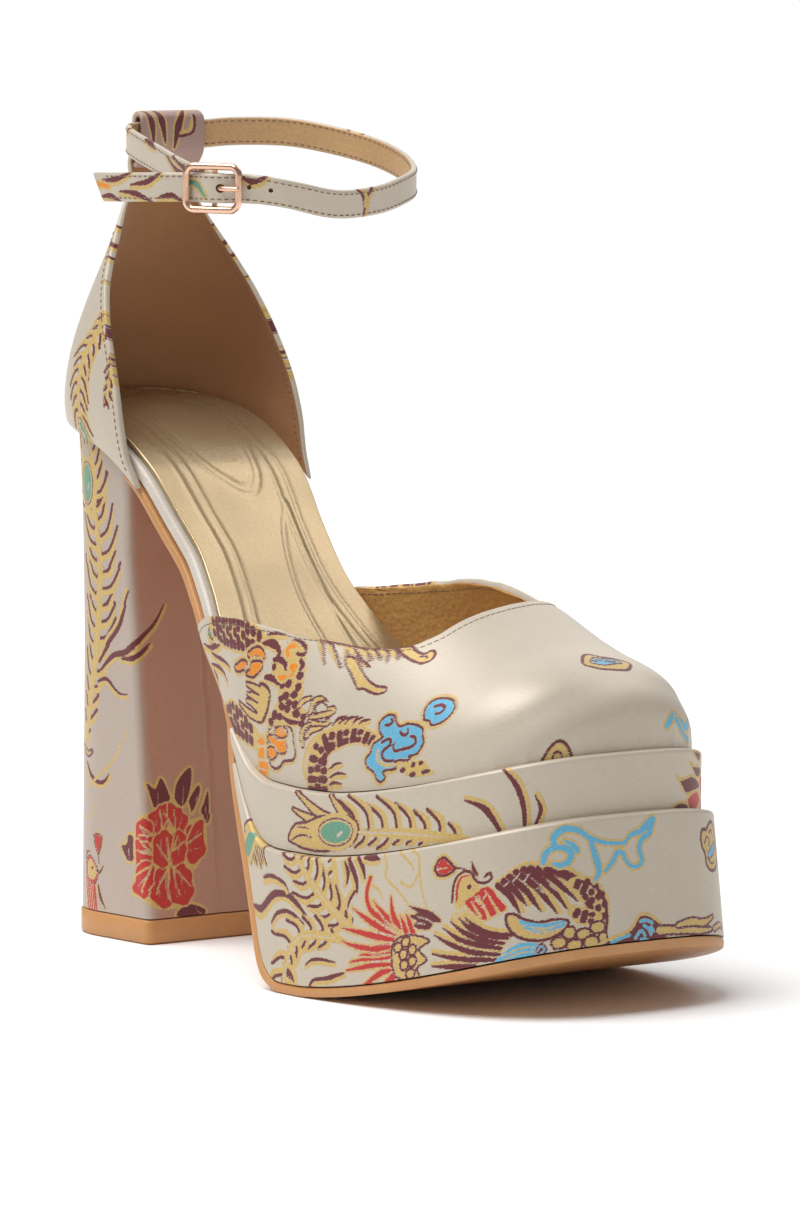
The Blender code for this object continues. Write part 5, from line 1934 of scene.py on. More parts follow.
def draw_heel(chart):
    """A tall plume on each side, a peony at each breast corner and small birds at the back."""
    other = chart.moved((64.0, 0.0), -1.0)
    for side in (chart, other):
        side.plume(
            (
                (-25.0, 48.0), (-21.6, 58.0), (-17.6, 70.0), (-14.4, 84.0), (-12.6, 96.0), (-14.0, 106.0),
                (-15.4, 114.0),
            ),
            (3.0, 5.8, 7.8, 9.2, 9.8, 9.2, 7.0), 4.3, 1.4, 0.9,
        )
        side.plume(
            ((-15.2, 106.0), (-14.2, 113.0), (-15.2, 121.0), (-17.4, 127.0)),
            (6.0, 6.0, 5.4, 3.4),
            3.5,
            1.2,
            1.0,
            (-1,),
        )
        side.plume(
            ((-16.0, 106.0), (-21.0, 112.0), (-21.6, 120.0), (-19.0, 127.0)),
            (5.0, 6.0, 5.6, 3.4),
            3.5,
            1.2,
            1.0,
            (1,),
        )
        side.eye((-18.2, 114.2), 2.9, 5.2)
        side.tendril(((-16.0, 69.4), (-11.4, 74.6), (-6.4, 79.6), (-1.8, 88.6)), (0.8, 1.4, 1.3, 0.4), 1.0)
        side.tendril(
            ((-15.2, 67.6), (-10.2, 71.4), (-4.4, 73.0), (1.0, 76.8), (5.2, 80.2), (8.2, 84.6)),
            (0.8, 1.4, 1.6, 1.4, 0.9, 0.4),
        )
        side.tendril(((-6.6, 71.0), (-2.4, 71.4), (1.0, 73.4), (3.4, 75.0)), (0.6, 1.4, 1.2, 0.4))
        side.tendril(
            ((-16.8, 64.4), (-13.2, 65.3), (-10.0, 63.2), (-7.6, 62.0), (-4.8, 62.2)),
            (0.7, 1.1, 0.9, 0.7, 0.4),
        )
        side.tendril(
            ((-24.6, 43.4), (-22.4, 40.4), (-19.0, 38.9), (-16.4, 39.4), (-14.4, 41.4)),
            (0.7, 1.2, 1.2, 1.0, 0.4),
        )
        side.stroke(
            "gold",
            ((-24.8, 36.8), (-19.2, 40.2), (-12.4, 45.0), (-8.2, 49.6), (-5.6, 53.4)),
            (0.8, 0.8, 0.5),
        )
        side.stroke("gold", ((-26.0, 29.2), (-22.4, 30.8), (-20.2, 34.4)), (0.7, 0.5))
        side.edged(((-27.0, 47.4), (-24.0, 45.6), (-21.6, 46.4)), (0.5, 1.0, 0.3))
        draw_peony(side)
        draw_small_bird(side)


PEONY_GROUND = (
    (-5.4, 26.6), (-3.2, 31.2), (1.0, 32.8), (5.6, 35.0), (10.0, 33.6), (12.0, 30.2), (16.6, 30.0),
    (17.4, 23.4), (14.6, 18.8), (12.8, 17.4), (13.0, 12.4), (9.4, 9.0), (1.0, 9.0), (-3.0, 11.4),
    (-7.4, 12.2), (-4.8, 17.6), (-5.8, 22.6),
)
PEONY_PETALS = (
    ((-0.2, 31.4), (2.6, 33.2), (5.5, 34.4), (6.2, 31.0), (3.6, 28.0), (0.8, 28.4)),
    ((6.2, 34.4), (9.0, 33.3), (11.4, 31.2), (11.0, 28.2), (7.6, 27.6), (6.3, 30.6)),
    ((-4.6, 28.8), (-2.2, 30.9), (0.0, 30.2), (0.6, 27.2), (-1.0, 25.2), (-4.6, 25.8)),
    (
        (11.0, 27.0), (13.4, 28.8), (16.5, 29.2), (16.2, 25.8), (17.0, 22.6), (14.0, 19.6), (11.2, 20.8),
        (10.5, 24.0),
    ),
    ((-5.0, 25.2), (-1.2, 24.9), (0.4, 22.4), (-1.0, 20.2), (-4.6, 20.4)),
    ((-6.8, 12.6), (-5.4, 15.4), (-3.8, 19.6), (0.2, 19.8), (1.0, 15.0), (-1.0, 12.2), (-4.0, 12.0)),
    ((-0.8, 11.2), (0.8, 15.0), (2.2, 18.8), (5.0, 18.4), (6.0, 14.0), (5.6, 9.8), (2.0, 9.4)),
    (
        (6.0, 9.8), (5.8, 15.0), (6.6, 19.0), (9.0, 19.8), (11.8, 17.2), (12.5, 14.0), (11.4, 10.4),
        (8.6, 9.4),
    ),
    ((0.6, 24.4), (2.8, 27.4), (6.0, 27.2), (7.4, 24.0), (5.6, 20.0), (2.4, 19.6), (0.8, 21.6)),
    ((7.8, 27.0), (10.4, 26.6), (10.7, 23.4), (10.0, 20.6), (7.0, 19.8), (6.8, 22.8)),
)
PEONY_HEART = np.array((4.6, 22.8))
PEONY_VEINS = (
    ((3.2, 29.4), (4.6, 33.2)), ((1.8, 29.6), (2.2, 32.2)), ((7.6, 28.8), (8.0, 32.6)),
    ((9.2, 28.6), (10.2, 31.2)), ((-0.8, 26.6), (-3.0, 29.2)), ((12.2, 24.0), (15.4, 27.6)),
    ((12.0, 22.4), (15.6, 23.0)), ((-1.0, 23.4), (-3.8, 23.2)), ((-0.6, 17.6), (-4.4, 14.2)),
    ((2.6, 16.6), (1.6, 11.4)), ((4.2, 16.6), (4.2, 11.0)), ((7.4, 17.8), (7.2, 11.2)),
    ((9.0, 17.8), (9.8, 11.8)), ((3.0, 21.4), (3.2, 26.0)), ((5.0, 22.0), (4.8, 25.8)),
    ((8.4, 21.4), (9.2, 25.6)),
)
PEONY_LEAVES = (
    ((-0.4, 40.2), (2.3, 38.6), (4.2, 41.2), (6.2, 38.0), (6.8, 35.6), (4.2, 34.4), (1.6, 34.4)),
    ((8.4, 35.8), (9.6, 40.2), (13.6, 43.2), (13.6, 39.0), (12.0, 34.8), (9.8, 33.8)),
    ((12.8, 34.8), (16.0, 38.6), (16.2, 36.2), (13.6, 32.0)),
    ((-10.8, 23.6), (-8.6, 24.4), (-7.6, 26.8), (-5.4, 26.2), (-5.4, 22.8), (-6.4, 20.4), (-8.8, 20.6)),
    ((16.6, 32.2), (17.6, 34.0), (19.0, 37.0), (19.2, 33.0), (18.6, 29.4), (17.4, 29.4)),
    ((7.0, 6.4), (9.6, 9.0), (13.0, 8.8), (16.2, 7.2), (14.0, 5.6)),
)


def ruffled(points, waves=6, depth=0.7):
    """A petal's outline with small waves round it."""
    ring = closed_curve(points)
    out = unit(ring - ring.mean(axis=0))
    wave = np.abs(np.sin(np.linspace(0.0, math.pi * waves, len(ring), endpoint=False)))
    return (ring + out * (depth * (wave - 0.6))[:, None])[::2]


def draw_peony(chart):
    """A large peony with dark leaves, ruffled petals and veins."""
    for leaf in PEONY_LEAVES:
        chart.shape(leaf, ("gold", 0.75), ("maroon", 0.0))
        root, tip = np.array(leaf[-2:]).mean(axis=0), np.array(leaf[1:3]).mean(axis=0)
        chart.stroke(None, (root, (root * 0.4 + tip * 0.6)), (0.35, 0.3))
    chart.shape(PEONY_GROUND, ("gold", 0.3))
    for petal in PEONY_PETALS:
        chart.shape(ruffled(petal), ("gold", 0.8), ("red", 0.3))
        ring = np.array(petal)
        gaps = np.hypot(*(ring - PEONY_HEART).T)
        root, tip = ring[np.argmin(gaps)], ring[np.argmax(gaps)]
        bow = 0.16 * np.array([root[1] - tip[1], tip[0] - root[0]])
        for sign in (-1.0, 1.0):
            chart.stroke(
                "gold",
                (root, 0.5 * (root + tip) + sign * bow, 0.25 * root + 0.75 * tip + 1.4 * sign * bow),
                (0.6, 0.55),
            )
    for vein in PEONY_VEINS:
        chart.stroke(None, vein, (0.32, 0.28))


def draw_small_bird(chart):
    """A small bird's head with a red breast, under a heart-shaped bud."""
    heart = ((-22.4, 25.0), (-20.6, 25.7), (-18.8, 25.0), (-19.6, 22.2), (-20.6, 20.8), (-21.8, 22.6))
    chart.shape(heart, ("gold", 0.7), ("maroon", 0.25), ("red", -0.25))
    chart.stroke("maroon", ((-20.6, 20.4), (-20.4, 18.4)), (0.5, 0.4))
    for k in range(6):
        lean = 0.8 * k
        chart.edged(
            ((-27.4 + lean, 13.6), (-27.0 + lean, 10.0), (-26.6 + lean, 5.6)),
            (0.9, 1.0, 0.5),
            "red",
            "gold",
            edge=0.35,
        )
    head = (
        (-26.8, 17.4), (-25.0, 19.6), (-22.6, 18.6), (-21.2, 16.2), (-22.2, 13.8), (-24.6, 13.4),
        (-26.6, 14.6),
    )
    chart.shape(head, ("maroon", 0.5), ("red", 0.1), ("gold", -0.5))
    chart.stroke("maroon", ((-23.6, 16.8), (-23.5, 16.9)), (0.9, 0.9))
    chart.edged(((-21.4, 16.4), (-20.0, 16.2), (-18.6, 18.0)), (0.7, 0.6, 0.3), "maroon", "gold", edge=0.3)
    chart.edged(((-27.2, 18.6), (-26.4, 20.6), (-24.6, 20.8)), (0.5, 0.7, 0.3), "maroon", "gold", edge=0.3)
    chart.edged(((-21.6, 12.8), (-20.6, 9.6), (-18.8, 7.0)), (0.6, 1.0, 0.4), "maroon", "gold", edge=0.35)


def draw_tier_feather(chart):
    """A feather at the rear end, with a green leaf."""
    chart.plume(((-133.0, -1.0), (-128.4, 7.0), (-123.4, 14.6), (-117.4, 22.0)), (3.0, 4.4, 4.4, 2.6), 2.8)
    chart.edged(((-135.0, 2.0), (-130.0, 10.6), (-126.4, 14.6)), (0.8, 1.2, 0.4))
    green = ((-133.8, 0.4), (-130.4, 0.8), (-127.2, 7.4), (-125.4, 12.8), (-128.6, 9.6), (-131.8, 5.2))
    chart.shape(green, ("gold", 1.0), ("green", -0.1))


def draw_tier_tendrils(chart):
    """Curling tendrils beside the feather and the plumes."""
    chart.tendril(
        (
            (-122.6, 0.2), (-116.6, 8.4), (-112.6, 15.4), (-109.2, 19.8), (-105.0, 21.2), (-101.0, 20.0),
            (-95.8, 16.6),
        ),
        (0.5, 1.0, 1.2, 1.5, 1.6, 1.5, 0.6),
    )
    chart.tendril(
        ((-116.2, 16.6), (-113.0, 21.0), (-109.6, 23.4), (-106.0, 23.7), (-104.0, 22.2)),
        (0.4, 0.7, 0.9, 0.9, 0.5),
    )
    chart.tendril(
        ((-110.2, 12.0), (-108.0, 15.6), (-104.6, 17.2), (-101.0, 16.7), (-96.8, 14.8)),
        (0.5, 1.0, 1.1, 0.9, 0.5),
    )
    chart.tendril(((-93.4, -0.4), (-92.0, 1.5), (-87.0, 2.0), (-81.8, 3.0)), (0.8, 1.0, 1.3, 0.7))
    chart.tendril(((-95.2, 5.0), (-93.0, 6.4), (-89.0, 6.4), (-84.8, 5.6)), (0.5, 0.9, 0.8, 0.4))


def draw_tier_plumes(chart):
    """Three plumes and the dark leaves beside them."""
    chart.plume(
        ((-88.6, 33.0), (-87.0, 26.0), (-84.4, 19.4), (-80.6, 15.6)),
        (3.0, 3.6, 3.4, 1.0),
        3.0,
        1.0,
        0.4,
        (-1,),
    )
    for points, widths in (
        (((-83.4, 31.4), (-81.4, 28.0), (-79.8, 25.0), (-79.2, 22.2)), (0.8, 1.4, 1.3, 0.6)),
        (((-80.4, 31.2), (-78.2, 28.4), (-77.0, 25.2)), (0.7, 1.4, 0.5)),
        (((-84.2, 29.8), (-82.8, 27.0), (-83.0, 24.0)), (0.6, 1.2, 0.4)),
        (((-80.0, 22.6), (-81.6, 20.4), (-82.0, 18.4)), (0.7, 1.0, 0.4)),
        (((-77.4, 30.6), (-75.0, 30.2), (-72.8, 29.6)), (1.4, 2.0, 0.6)),
    ):
        chart.edged(points, widths, "maroon", "gold", side=-1.0, edge=0.8)
    chart.plume(
        ((-80.0, 13.4), (-86.0, 17.4), (-91.4, 21.6), (-96.2, 25.6), (-100.4, 29.4), (-103.6, 32.4)),
        (3.0, 6.6, 7.8, 7.8, 6.8, 5.4),
        3.9,
        1.3,
        0.8,
    )
    chart.plume(
        ((-83.4, 11.0), (-90.0, 12.2), (-96.4, 12.0), (-101.0, 9.0), (-102.8, 4.4), (-103.0, -1.0)),
        (2.6, 5.4, 7.2, 8.0, 8.0, 7.0),
        3.9,
        1.3,
        0.8,
    )
    for spine in (
        ((-82.0, 14.6), (-91.6, 21.8), (-100.4, 29.4)),
        ((-86.0, 11.6), (-96.4, 12.0), (-101.2, 8.6), (-103.0, 0.0)),
    ):
        chart.stroke(None, spine, (0.3, 0.45, 0.3))


def draw_tier_blossom(chart):
    """A blossom in outline."""
    for points in (
        ((-71.6, 31.4), (-70.3, 28.0), (-70.2, 25.0), (-66.0, 21.4), (-61.8, 17.2)),
        ((-66.6, 31.0), (-62.6, 27.4), (-61.2, 25.6)),
        ((-63.2, 31.0), (-60.2, 29.0), (-59.4, 24.0), (-58.4, 20.0), (-56.8, 16.2)),
        ((-65.2, 23.4), (-62.0, 21.7), (-60.0, 24.4)),
        ((-75.6, 24.0), (-72.6, 22.4), (-70.6, 20.0)),
    ):
        chart.stroke("gold", points, (0.75, 0.7, 0.5))


def draw_bird_tail(chart):
    """The bird's red fan tail, its scaled root and a dark leaf."""
    for points, widths in (
        (((-66.0, 3.0), (-70.0, 2.0), (-75.0, -0.6)), (1.8, 1.6, 0.8)),
        (((-64.4, 1.6), (-66.6, 0.4), (-69.0, -1.0)), (2.0, 1.7, 0.9)),
        (((-66.4, 4.2), (-72.0, 4.3), (-81.0, 3.6)), (1.6, 1.4, 0.4)),
        (((-66.6, 5.6), (-72.4, 6.0), (-80.0, 5.6)), (1.5, 1.3, 0.4)),
        (((-66.4, 7.2), (-72.0, 7.0), (-77.0, 7.0)), (1.3, 1.2, 0.4)),
        (((-66.2, 8.6), (-72.2, 8.2), (-79.0, 9.4), (-83.6, 11.0)), (1.7, 1.6, 1.1, 0.3)),
        (((-66.0, 10.0), (-72.4, 11.2), (-78.6, 12.8), (-84.0, 14.0)), (1.7, 1.7, 1.1, 0.3)),
        (((-65.2, 11.2), (-71.4, 13.4), (-76.6, 16.2), (-80.6, 18.6)), (1.7, 1.7, 1.2, 0.3)),
        (
            ((-64.6, 11.8), (-70.0, 14.8), (-74.6, 17.8), (-76.1, 21.6), (-75.3, 25.4)),
            (1.7, 1.8, 1.3, 1.1, 1.1),
        ),
        (((-64.2, 12.0), (-68.4, 15.0), (-72.0, 18.0), (-74.0, 20.0)), (1.4, 1.4, 0.9, 0.3)),
        (((-63.8, 12.2), (-66.8, 15.2), (-68.2, 20.4)), (1.5, 1.4, 0.4)),
        (((-62.4, 10.6), (-63.6, 13.4), (-64.8, 15.4)), (1.3, 1.0, 0.3)),
        (((-60.4, 10.6), (-61.6, 13.0), (-63.0, 15.6)), (1.4, 1.2, 0.4)),
    ):
        chart.ringed(points, widths, "red", (("gold", 1.0),))
    for points in (
        ((-66.6, 10.6), (-73.0, 12.2)), ((-66.8, 8.8), (-74.0, 9.0)), ((-66.2, 11.6), (-71.2, 14.6)),
        ((-66.8, 5.0), (-73.0, 5.1)),
    ):
        chart.stroke(None, points, (0.35, 0.3))
    body = (
        (-66.8, 7.0), (-65.8, 9.4), (-62.6, 10.3), (-59.0, 9.7), (-55.4, 8.0), (-58.4, 6.4), (-56.0, 3.6),
        (-58.6, 2.0), (-58.0, -0.6), (-64.0, 0.2), (-66.2, 3.4),
    )
    chart.shape(body, ("maroon", 0.3), ("gold", -0.3))
    for middle in (
        (-64.8, 7.6), (-62.5, 8.7), (-63.0, 5.8), (-60.4, 6.6), (-62.6, 3.2), (-60.2, 3.8), (-60.6, 0.9),
    ):
        chart.cell(middle, 1.25, 1.05)
    leaf = (
        (-62.2, 17.1), (-58.6, 16.1), (-55.2, 14.7), (-52.4, 12.1), (-54.6, 12.3), (-55.6, 10.9),
        (-58.8, 11.4), (-60.2, 12.4), (-59.4, 13.4), (-61.6, 14.7), (-58.8, 15.2),
    )
    chart.shape(leaf, ("gold", 0.5), ("maroon", 0.1))
    for points in (((-59.4, 14.3), (-56.0, 13.0), (-54.8, 12.0)), ((-59.6, 12.8), (-57.0, 12.2))):
        chart.stroke(None, points, (0.4, 0.35))


def draw_bird_head(chart):
    """A bud, and the bird's head below it."""
    bud = (
        (-54.9, 24.6), (-54.0, 26.7), (-52.5, 27.2), (-50.8, 25.8), (-49.3, 23.9), (-51.6, 22.9),
        (-54.0, 23.4),
    )
    chart.shape(bud, ("gold", 1.0), ("maroon", 0.35), ("red", -0.4))
    chart.stroke(None, ((-54.2, 24.7), (-51.4, 24.7)), (0.4, 0.3))
    chart.stroke("maroon", ((-49.6, 24.2), (-47.6, 23.8), (-46.0, 23.2)), (0.7, 0.5, 0.4))
    for k in range(5):
        chart.edged(
            ((-49.6 + k, 13.6 + 0.5 * k), (-49.0 + k, 12.0), (-47.4 + k, 10.4)),
            (0.5, 0.6, 0.3),
            "gold",
            None,
            edge=0.2,
        )
    head = (
        (-49.3, 19.8), (-48.2, 22.2), (-45.8, 22.6), (-43.8, 21.2), (-42.4, 19.4), (-43.2, 17.4),
        (-45.6, 15.6), (-48.4, 14.4), (-49.0, 16.8),
    )
    chart.shape(head, ("gold", 0.0))
    chart.stroke("red", ((-48.4, 16.4), (-48.3, 19.8), (-47.2, 21.6), (-45.2, 21.8)), (0.6, 0.7, 0.4))
    chart.stroke(
        "maroon",
        (
            (-49.6, 16.2), (-49.4, 20.0), (-48.2, 22.3), (-46.0, 22.9), (-44.6, 21.9), (-43.2, 19.9),
            (-41.0, 19.2), (-39.5, 20.0), (-40.1, 21.4), (-41.2, 20.6),
        ),
        0.7,
    )
    chart.stroke("maroon", ((-45.25, 19.0), (-45.15, 19.0)), (1.2, 1.2))
    chart.edged(((-44.7, 24.8), (-44.1, 22.9), (-42.9, 21.2)), (0.4, 1.0, 0.5), "maroon", "gold", edge=0.3)


def draw_bird_neck(chart):
    """The bird's red neck."""
    neck = (
        (-46.2, 15.3), (-44.0, 16.7), (-41.4, 18.2), (-39.4, 17.4), (-37.6, 14.8), (-35.8, 12.2),
        (-38.2, 11.2), (-40.8, 10.4), (-43.2, 11.8),
    )
    chart.shape(neck, ("gold", 0.4), ("red", 0.0))
    for points in (
        ((-44.6, 15.4), (-42.0, 11.4)), ((-42.8, 16.6), (-39.8, 10.8)), ((-41.0, 17.4), (-37.6, 11.6)),
        ((-43.6, 16.4), (-42.4, 14.6)),
    ):
        chart.stroke("gold", points, (0.35, 0.8))
    for points in (
        ((-43.8, 15.2), (-42.4, 15.6)), ((-41.6, 15.4), (-40.4, 16.6)), ((-42.0, 13.4), (-41.0, 13.8)),
    ):
        chart.stroke(None, points, (0.4, 0.3))


def draw_bird_lower_wing(chart):
    """The long feathers of the lower wing."""
    feathers = (
        ((-54.4, 1.8), (-49.0, 0.8), (-43.0, 0.0)),
        ((-54.6, 4.8), (-50.0, 3.2), (-44.0, 1.6), (-37.6, 0.4)),
        ((-54.2, 9.2), (-49.6, 6.2), (-44.0, 3.4), (-37.2, 1.6)),
        ((-51.8, 10.4), (-47.6, 7.2), (-43.0, 5.0), (-36.8, 2.9)),
        ((-49.8, 11.6), (-46.6, 8.8), (-42.0, 6.0), (-36.2, 4.0)),
        ((-47.8, 12.2), (-45.4, 9.8), (-41.0, 7.0), (-35.2, 5.0)),
        ((-46.0, 12.0), (-43.4, 9.4), (-39.4, 6.9), (-34.2, 5.6)),
    )
    for points in feathers:
        chart.edged(points, (0.4, 1.2, 1.3, 0.8), "maroon", "gold", side=1.0, edge=0.75)


def draw_bird_upper_wing(chart):
    """The upper wing and its shoulder."""
    shoulder = (
        (-38.4, 18.2), (-35.2, 20.2), (-33.0, 21.3), (-29.6, 21.2), (-26.4, 20.0), (-29.8, 17.6),
        (-34.0, 16.2), (-37.0, 16.6),
    )
    chart.shape(shoulder, ("gold", 0.4), ("maroon", 0.0))
    feathers = (
        ((-38.0, 18.0), (-35.2, 15.2), (-33.6, 12.6), (-32.4, 10.4)),
        ((-36.6, 18.8), (-33.6, 15.8), (-30.8, 11.8)),
        ((-35.2, 19.6), (-31.2, 15.6), (-28.8, 12.0), (-27.4, 9.8)),
        ((-33.6, 20.4), (-29.2, 16.4), (-26.2, 12.6), (-23.4, 8.6)),
        ((-31.8, 20.8), (-27.2, 17.0), (-23.8, 13.4), (-20.8, 9.0)),
        ((-30.0, 20.6), (-25.2, 17.6), (-21.4, 14.0), (-18.2, 10.8)),
        ((-28.2, 20.2), (-23.2, 18.2), (-19.0, 15.2), (-16.8, 12.4)),
        ((-26.4, 19.6), (-21.8, 18.2), (-17.8, 16.2)),
    )
    for points in feathers:
        chart.edged(points, (1.4, 1.5, 1.3, 0.4), "maroon", "gold", side=1.0, edge=0.8)
    for points in (
        ((-36.4, 17.4), (-34.8, 18.6)), ((-34.0, 18.4), (-32.6, 19.8)), ((-31.6, 17.6), (-30.2, 19.4)),
        ((-28.4, 15.6), (-27.0, 14.2)), ((-25.4, 15.8), (-24.0, 14.4)),
    ):
        chart.stroke(None, points, (0.35, 0.3))


def draw_bird_coverts(chart):
    """Blue feathers under the upper wing."""
    covert = (
        (-35.6, 10.6), (-35.4, 8.2), (-33.4, 5.4), (-30.2, 3.7), (-26.0, 3.2), (-22.4, 4.4), (-20.8, 6.4),
        (-24.0, 7.4), (-28.0, 7.4), (-31.6, 8.8), (-34.2, 10.6),
    )
    chart.shape(covert, ("maroon", 0.45), ("gold", -0.3))
    blue = (
        (-33.2, 9.2), (-30.2, 7.8), (-26.2, 6.9), (-22.4, 7.0), (-21.6, 5.8), (-25.0, 4.6), (-29.0, 5.2),
        (-31.8, 7.2),
    )
    chart.shape(blue, ("blue", 0.0))
    for points in (((-31.4, 7.4), (-27.0, 5.8), (-22.6, 6.2)), ((-29.6, 6.0), (-26.0, 5.0), (-23.0, 5.2))):
        chart.stroke("gold", points, (0.3, 0.5, 0.3))
    lower = ((-38.0, -0.6), (-35.4, 2.3), (-32.2, 3.3), (-28.6, 2.7), (-26.4, 1.2), (-26.6, -0.8))
    chart.shape(lower, ("blue", 0.0))
    for v in (0.5, 1.6):
        chart.stroke("gold", ((-36.6, v - 0.6), (-32.0, v + 0.5), (-28.4, v)), (0.4, 0.5, 0.3))
    chart.edged(
        ((-28.2, 0.8), (-27.4, 1.8), (-26.6, 0.8), (-27.4, 0.2)),
        (0.4, 0.4),
        "blue",
        "maroon",
        edge=0.5,
    )


def draw_bird_back(chart):
    """The scaled back and belly."""
    chart.scales(((-19.4, 15.4), (-15.4, 13.4), (-13.2, 9.8), (-12.6, 5.6)), (1.0, 2.6, 3.2, 2.6), 2.2, 2.2)
    chart.scales(((-19.6, 8.8), (-17.0, 7.2), (-13.0, 6.2)), (1.2, 1.8, 1.4), 2.2, 2.0)
    chart.stroke(
        "maroon",
        ((-18.0, 15.8), (-13.8, 14.0), (-11.2, 10.6), (-10.5, 6.0), (-11.0, 2.0)),
        (0.6, 1.0, 0.6),
    )
    for middle, wide, tall in (
        ((-13.2, 4.2), 2.1, 1.25), ((-17.0, 3.0), 1.9, 1.2), ((-20.6, 3.8), 1.6, 1.3),
        ((-23.2, 1.8), 1.9, 1.2), ((-19.4, 0.6), 2.0, 1.3), ((-15.0, 0.9), 2.0, 1.3),
        ((-11.8, 1.6), 1.2, 1.2),
    ):
        chart.cell(middle, wide, tall)


def draw_tier_scroll(chart):
    """A blue scroll in gold outline."""
    scroll = (
        (
            (
                (-26.9, 21.4), (-26.4, 23.4), (-23.8, 24.4), (-20.4, 23.2), (-20.2, 21.0), (-22.6, 20.0),
                (-24.6, 20.8),
            ),
            (1.4, 1.7, 1.3, 1.5, 1.6, 1.3, 0.8),
        ),
        (
            (
                (-24.0, 24.6), (-24.3, 27.0), (-21.6, 28.4), (-18.0, 27.6), (-15.0, 25.6), (-11.6, 24.2),
                (-8.6, 23.6), (-4.2, 23.3),
            ),
            (1.3, 1.9, 1.5, 1.3, 1.3, 1.0, 0.9, 0.9),
        ),
        (((-21.6, 25.6), (-19.4, 24.4), (-18.2, 22.8)), (0.6, 1.0, 1.2)),
        (
            ((-14.8, 25.2), (-13.7, 22.0), (-12.8, 19.4), (-12.4, 17.2), (-13.7, 15.2)),
            (1.0, 1.6, 1.9, 1.6, 0.7),
        ),
        (((-4.4, 23.3), (-2.6, 25.0), (0.6, 25.8), (3.0, 27.2), (4.8, 28.2)), (0.9, 1.1, 1.4, 1.9, 1.9)),
        (
            (
                (4.4, 27.0), (3.2, 25.0), (0.9, 23.8), (0.0, 21.6), (0.8, 19.2), (0.0, 17.8), (-2.6, 17.6),
                (-4.5, 19.4), (-5.0, 20.8), (-7.0, 21.2), (-8.2, 19.4), (-10.6, 17.2),
            ),
            (1.6, 1.5, 1.3, 1.5, 1.3, 1.0, 1.0, 1.0, 1.2, 1.4, 1.3, 0.9),
        ),
    )
    for points, widths in scroll:
        chart.stroke("gold", points, np.array(widths) + 1.1)
    for points, widths in scroll:
        chart.stroke("blue", points, widths)


def draw_tier_claw(chart):
    """A dark leg with blue strokes, and its claws."""
    thigh = (
        (-12.6, -0.8), (-8.6, 1.0), (-5.0, 1.8), (-2.4, 3.4), (-0.8, 5.4), (1.4, 5.6), (4.0, 4.2),
        (5.8, 2.4), (5.4, -0.8),
    )
    chart.shape(thigh, ("gold", 0.8), ("maroon", 0.0))
    for points in (
        ((-2.4, 0.6), (-0.6, 2.2), (0.6, 1.0)), ((0.4, 3.4), (1.8, 2.4), (2.4, 1.0)),
        ((2.6, 2.8), (3.6, 1.6), (4.6, 1.8)), ((-0.6, 0.2), (1.4, -0.2)),
        ((-9.4, 0.2), (-6.6, 1.0), (-4.0, 1.4)), ((-0.6, 4.4), (1.0, 4.6), (3.0, 3.8)),
    ):
        chart.stroke("blue", points, (0.8, 0.7))
    chart.edged(
        ((5.0, 1.8), (9.6, 1.6), (14.0, 1.3), (19.0, 1.0), (24.0, 1.2)),
        (1.8, 1.5, 1.3, 1.2, 0.5),
        edge=0.6,
    )
    chart.edged(((11.0, 2.6), (16.0, 3.2), (21.0, 2.9), (25.6, 4.4)), (0.8, 1.6, 1.3, 0.4), edge=0.55)
    chart.edged(((26.0, 1.4), (30.0, 2.4), (33.0, 1.8)), (1.0, 1.0, 0.4), edge=0.5)


def draw_tier_cloud(chart):
    """A gold cloud by the toe corner."""
    cloud = (
        (22.5, 22.8), (23.6, 25.1), (26.0, 25.3), (28.4, 26.9), (31.0, 27.2), (33.0, 25.0), (33.4, 21.6),
        (33.0, 18.0), (30.4, 15.9), (27.0, 15.5), (24.6, 16.8), (24.2, 19.4), (22.9, 21.0),
    )
    chart.shape(cloud, ("maroon", 0.45), ("gold", -0.4))
    for points in (
        ((24.4, 22.0), (26.0, 23.6), (27.6, 22.6), (26.6, 21.2)),
        ((27.6, 24.6), (29.6, 25.2), (30.6, 23.4)),
        ((25.6, 18.4), (27.6, 17.2), (30.0, 17.6)),
    ):
        chart.stroke("maroon", points, (0.6, 0.5))
    chart.ringed(((26.6, 19.2), (29.0, 20.2), (31.6, 21.8)), (1.2, 1.6, 1.2), "blue", (("maroon", 0.9),))


def draw_tier_inner(chart):
    """Plainer figures on the front and the inner side, out of the photo's sight."""
    inner = chart.moved((0.0, 0.0), -1.0)
    inner.plume(
        ((-66.0, 11.4), (-76.0, 13.0), (-86.0, 16.0), (-95.0, 20.0), (-101.0, 24.0)),
        (3.0, 5.0, 6.0, 5.0, 3.0),
        3.0,
        1.0,
    )
    inner.eye((-104.0, 26.0), 3.4, 2.3, -0.6)
    inner.tendril(((-110.0, 4.0), (-104.0, 10.0), (-98.0, 12.0), (-92.0, 9.0)), (0.5, 1.3, 1.3, 0.5))
    inner.cloud(
        ((-52.0, 20.0), (-50.0, 23.0), (-46.0, 23.6), (-43.0, 21.0), (-44.0, 18.0), (-49.0, 17.0)),
        "blue",
        ((-49.6, 20.0), (-47.4, 21.6), (-45.4, 20.0)),
    )
    draw_peony(chart.moved((56.0, -7.0)))


LOWER_TIER_FIGURES = (
    draw_tier_feather,
    draw_tier_tendrils,
    draw_tier_plumes,
    draw_tier_blossom,
    draw_bird_tail,
    draw_bird_head,
    draw_bird_neck,
    draw_bird_lower_wing,
    draw_bird_upper_wing,
    draw_bird_coverts,
    draw_bird_back,
    draw_tier_scroll,
    draw_tier_claw,
    draw_tier_cloud,
    draw_tier_inner,
)


def draw_lower_tier(chart):
    """Plumes and a long-tailed bird on the outer side, a blue scroll and clouds towards the toe."""
    for draw in LOWER_TIER_FIGURES:
        draw(chart)


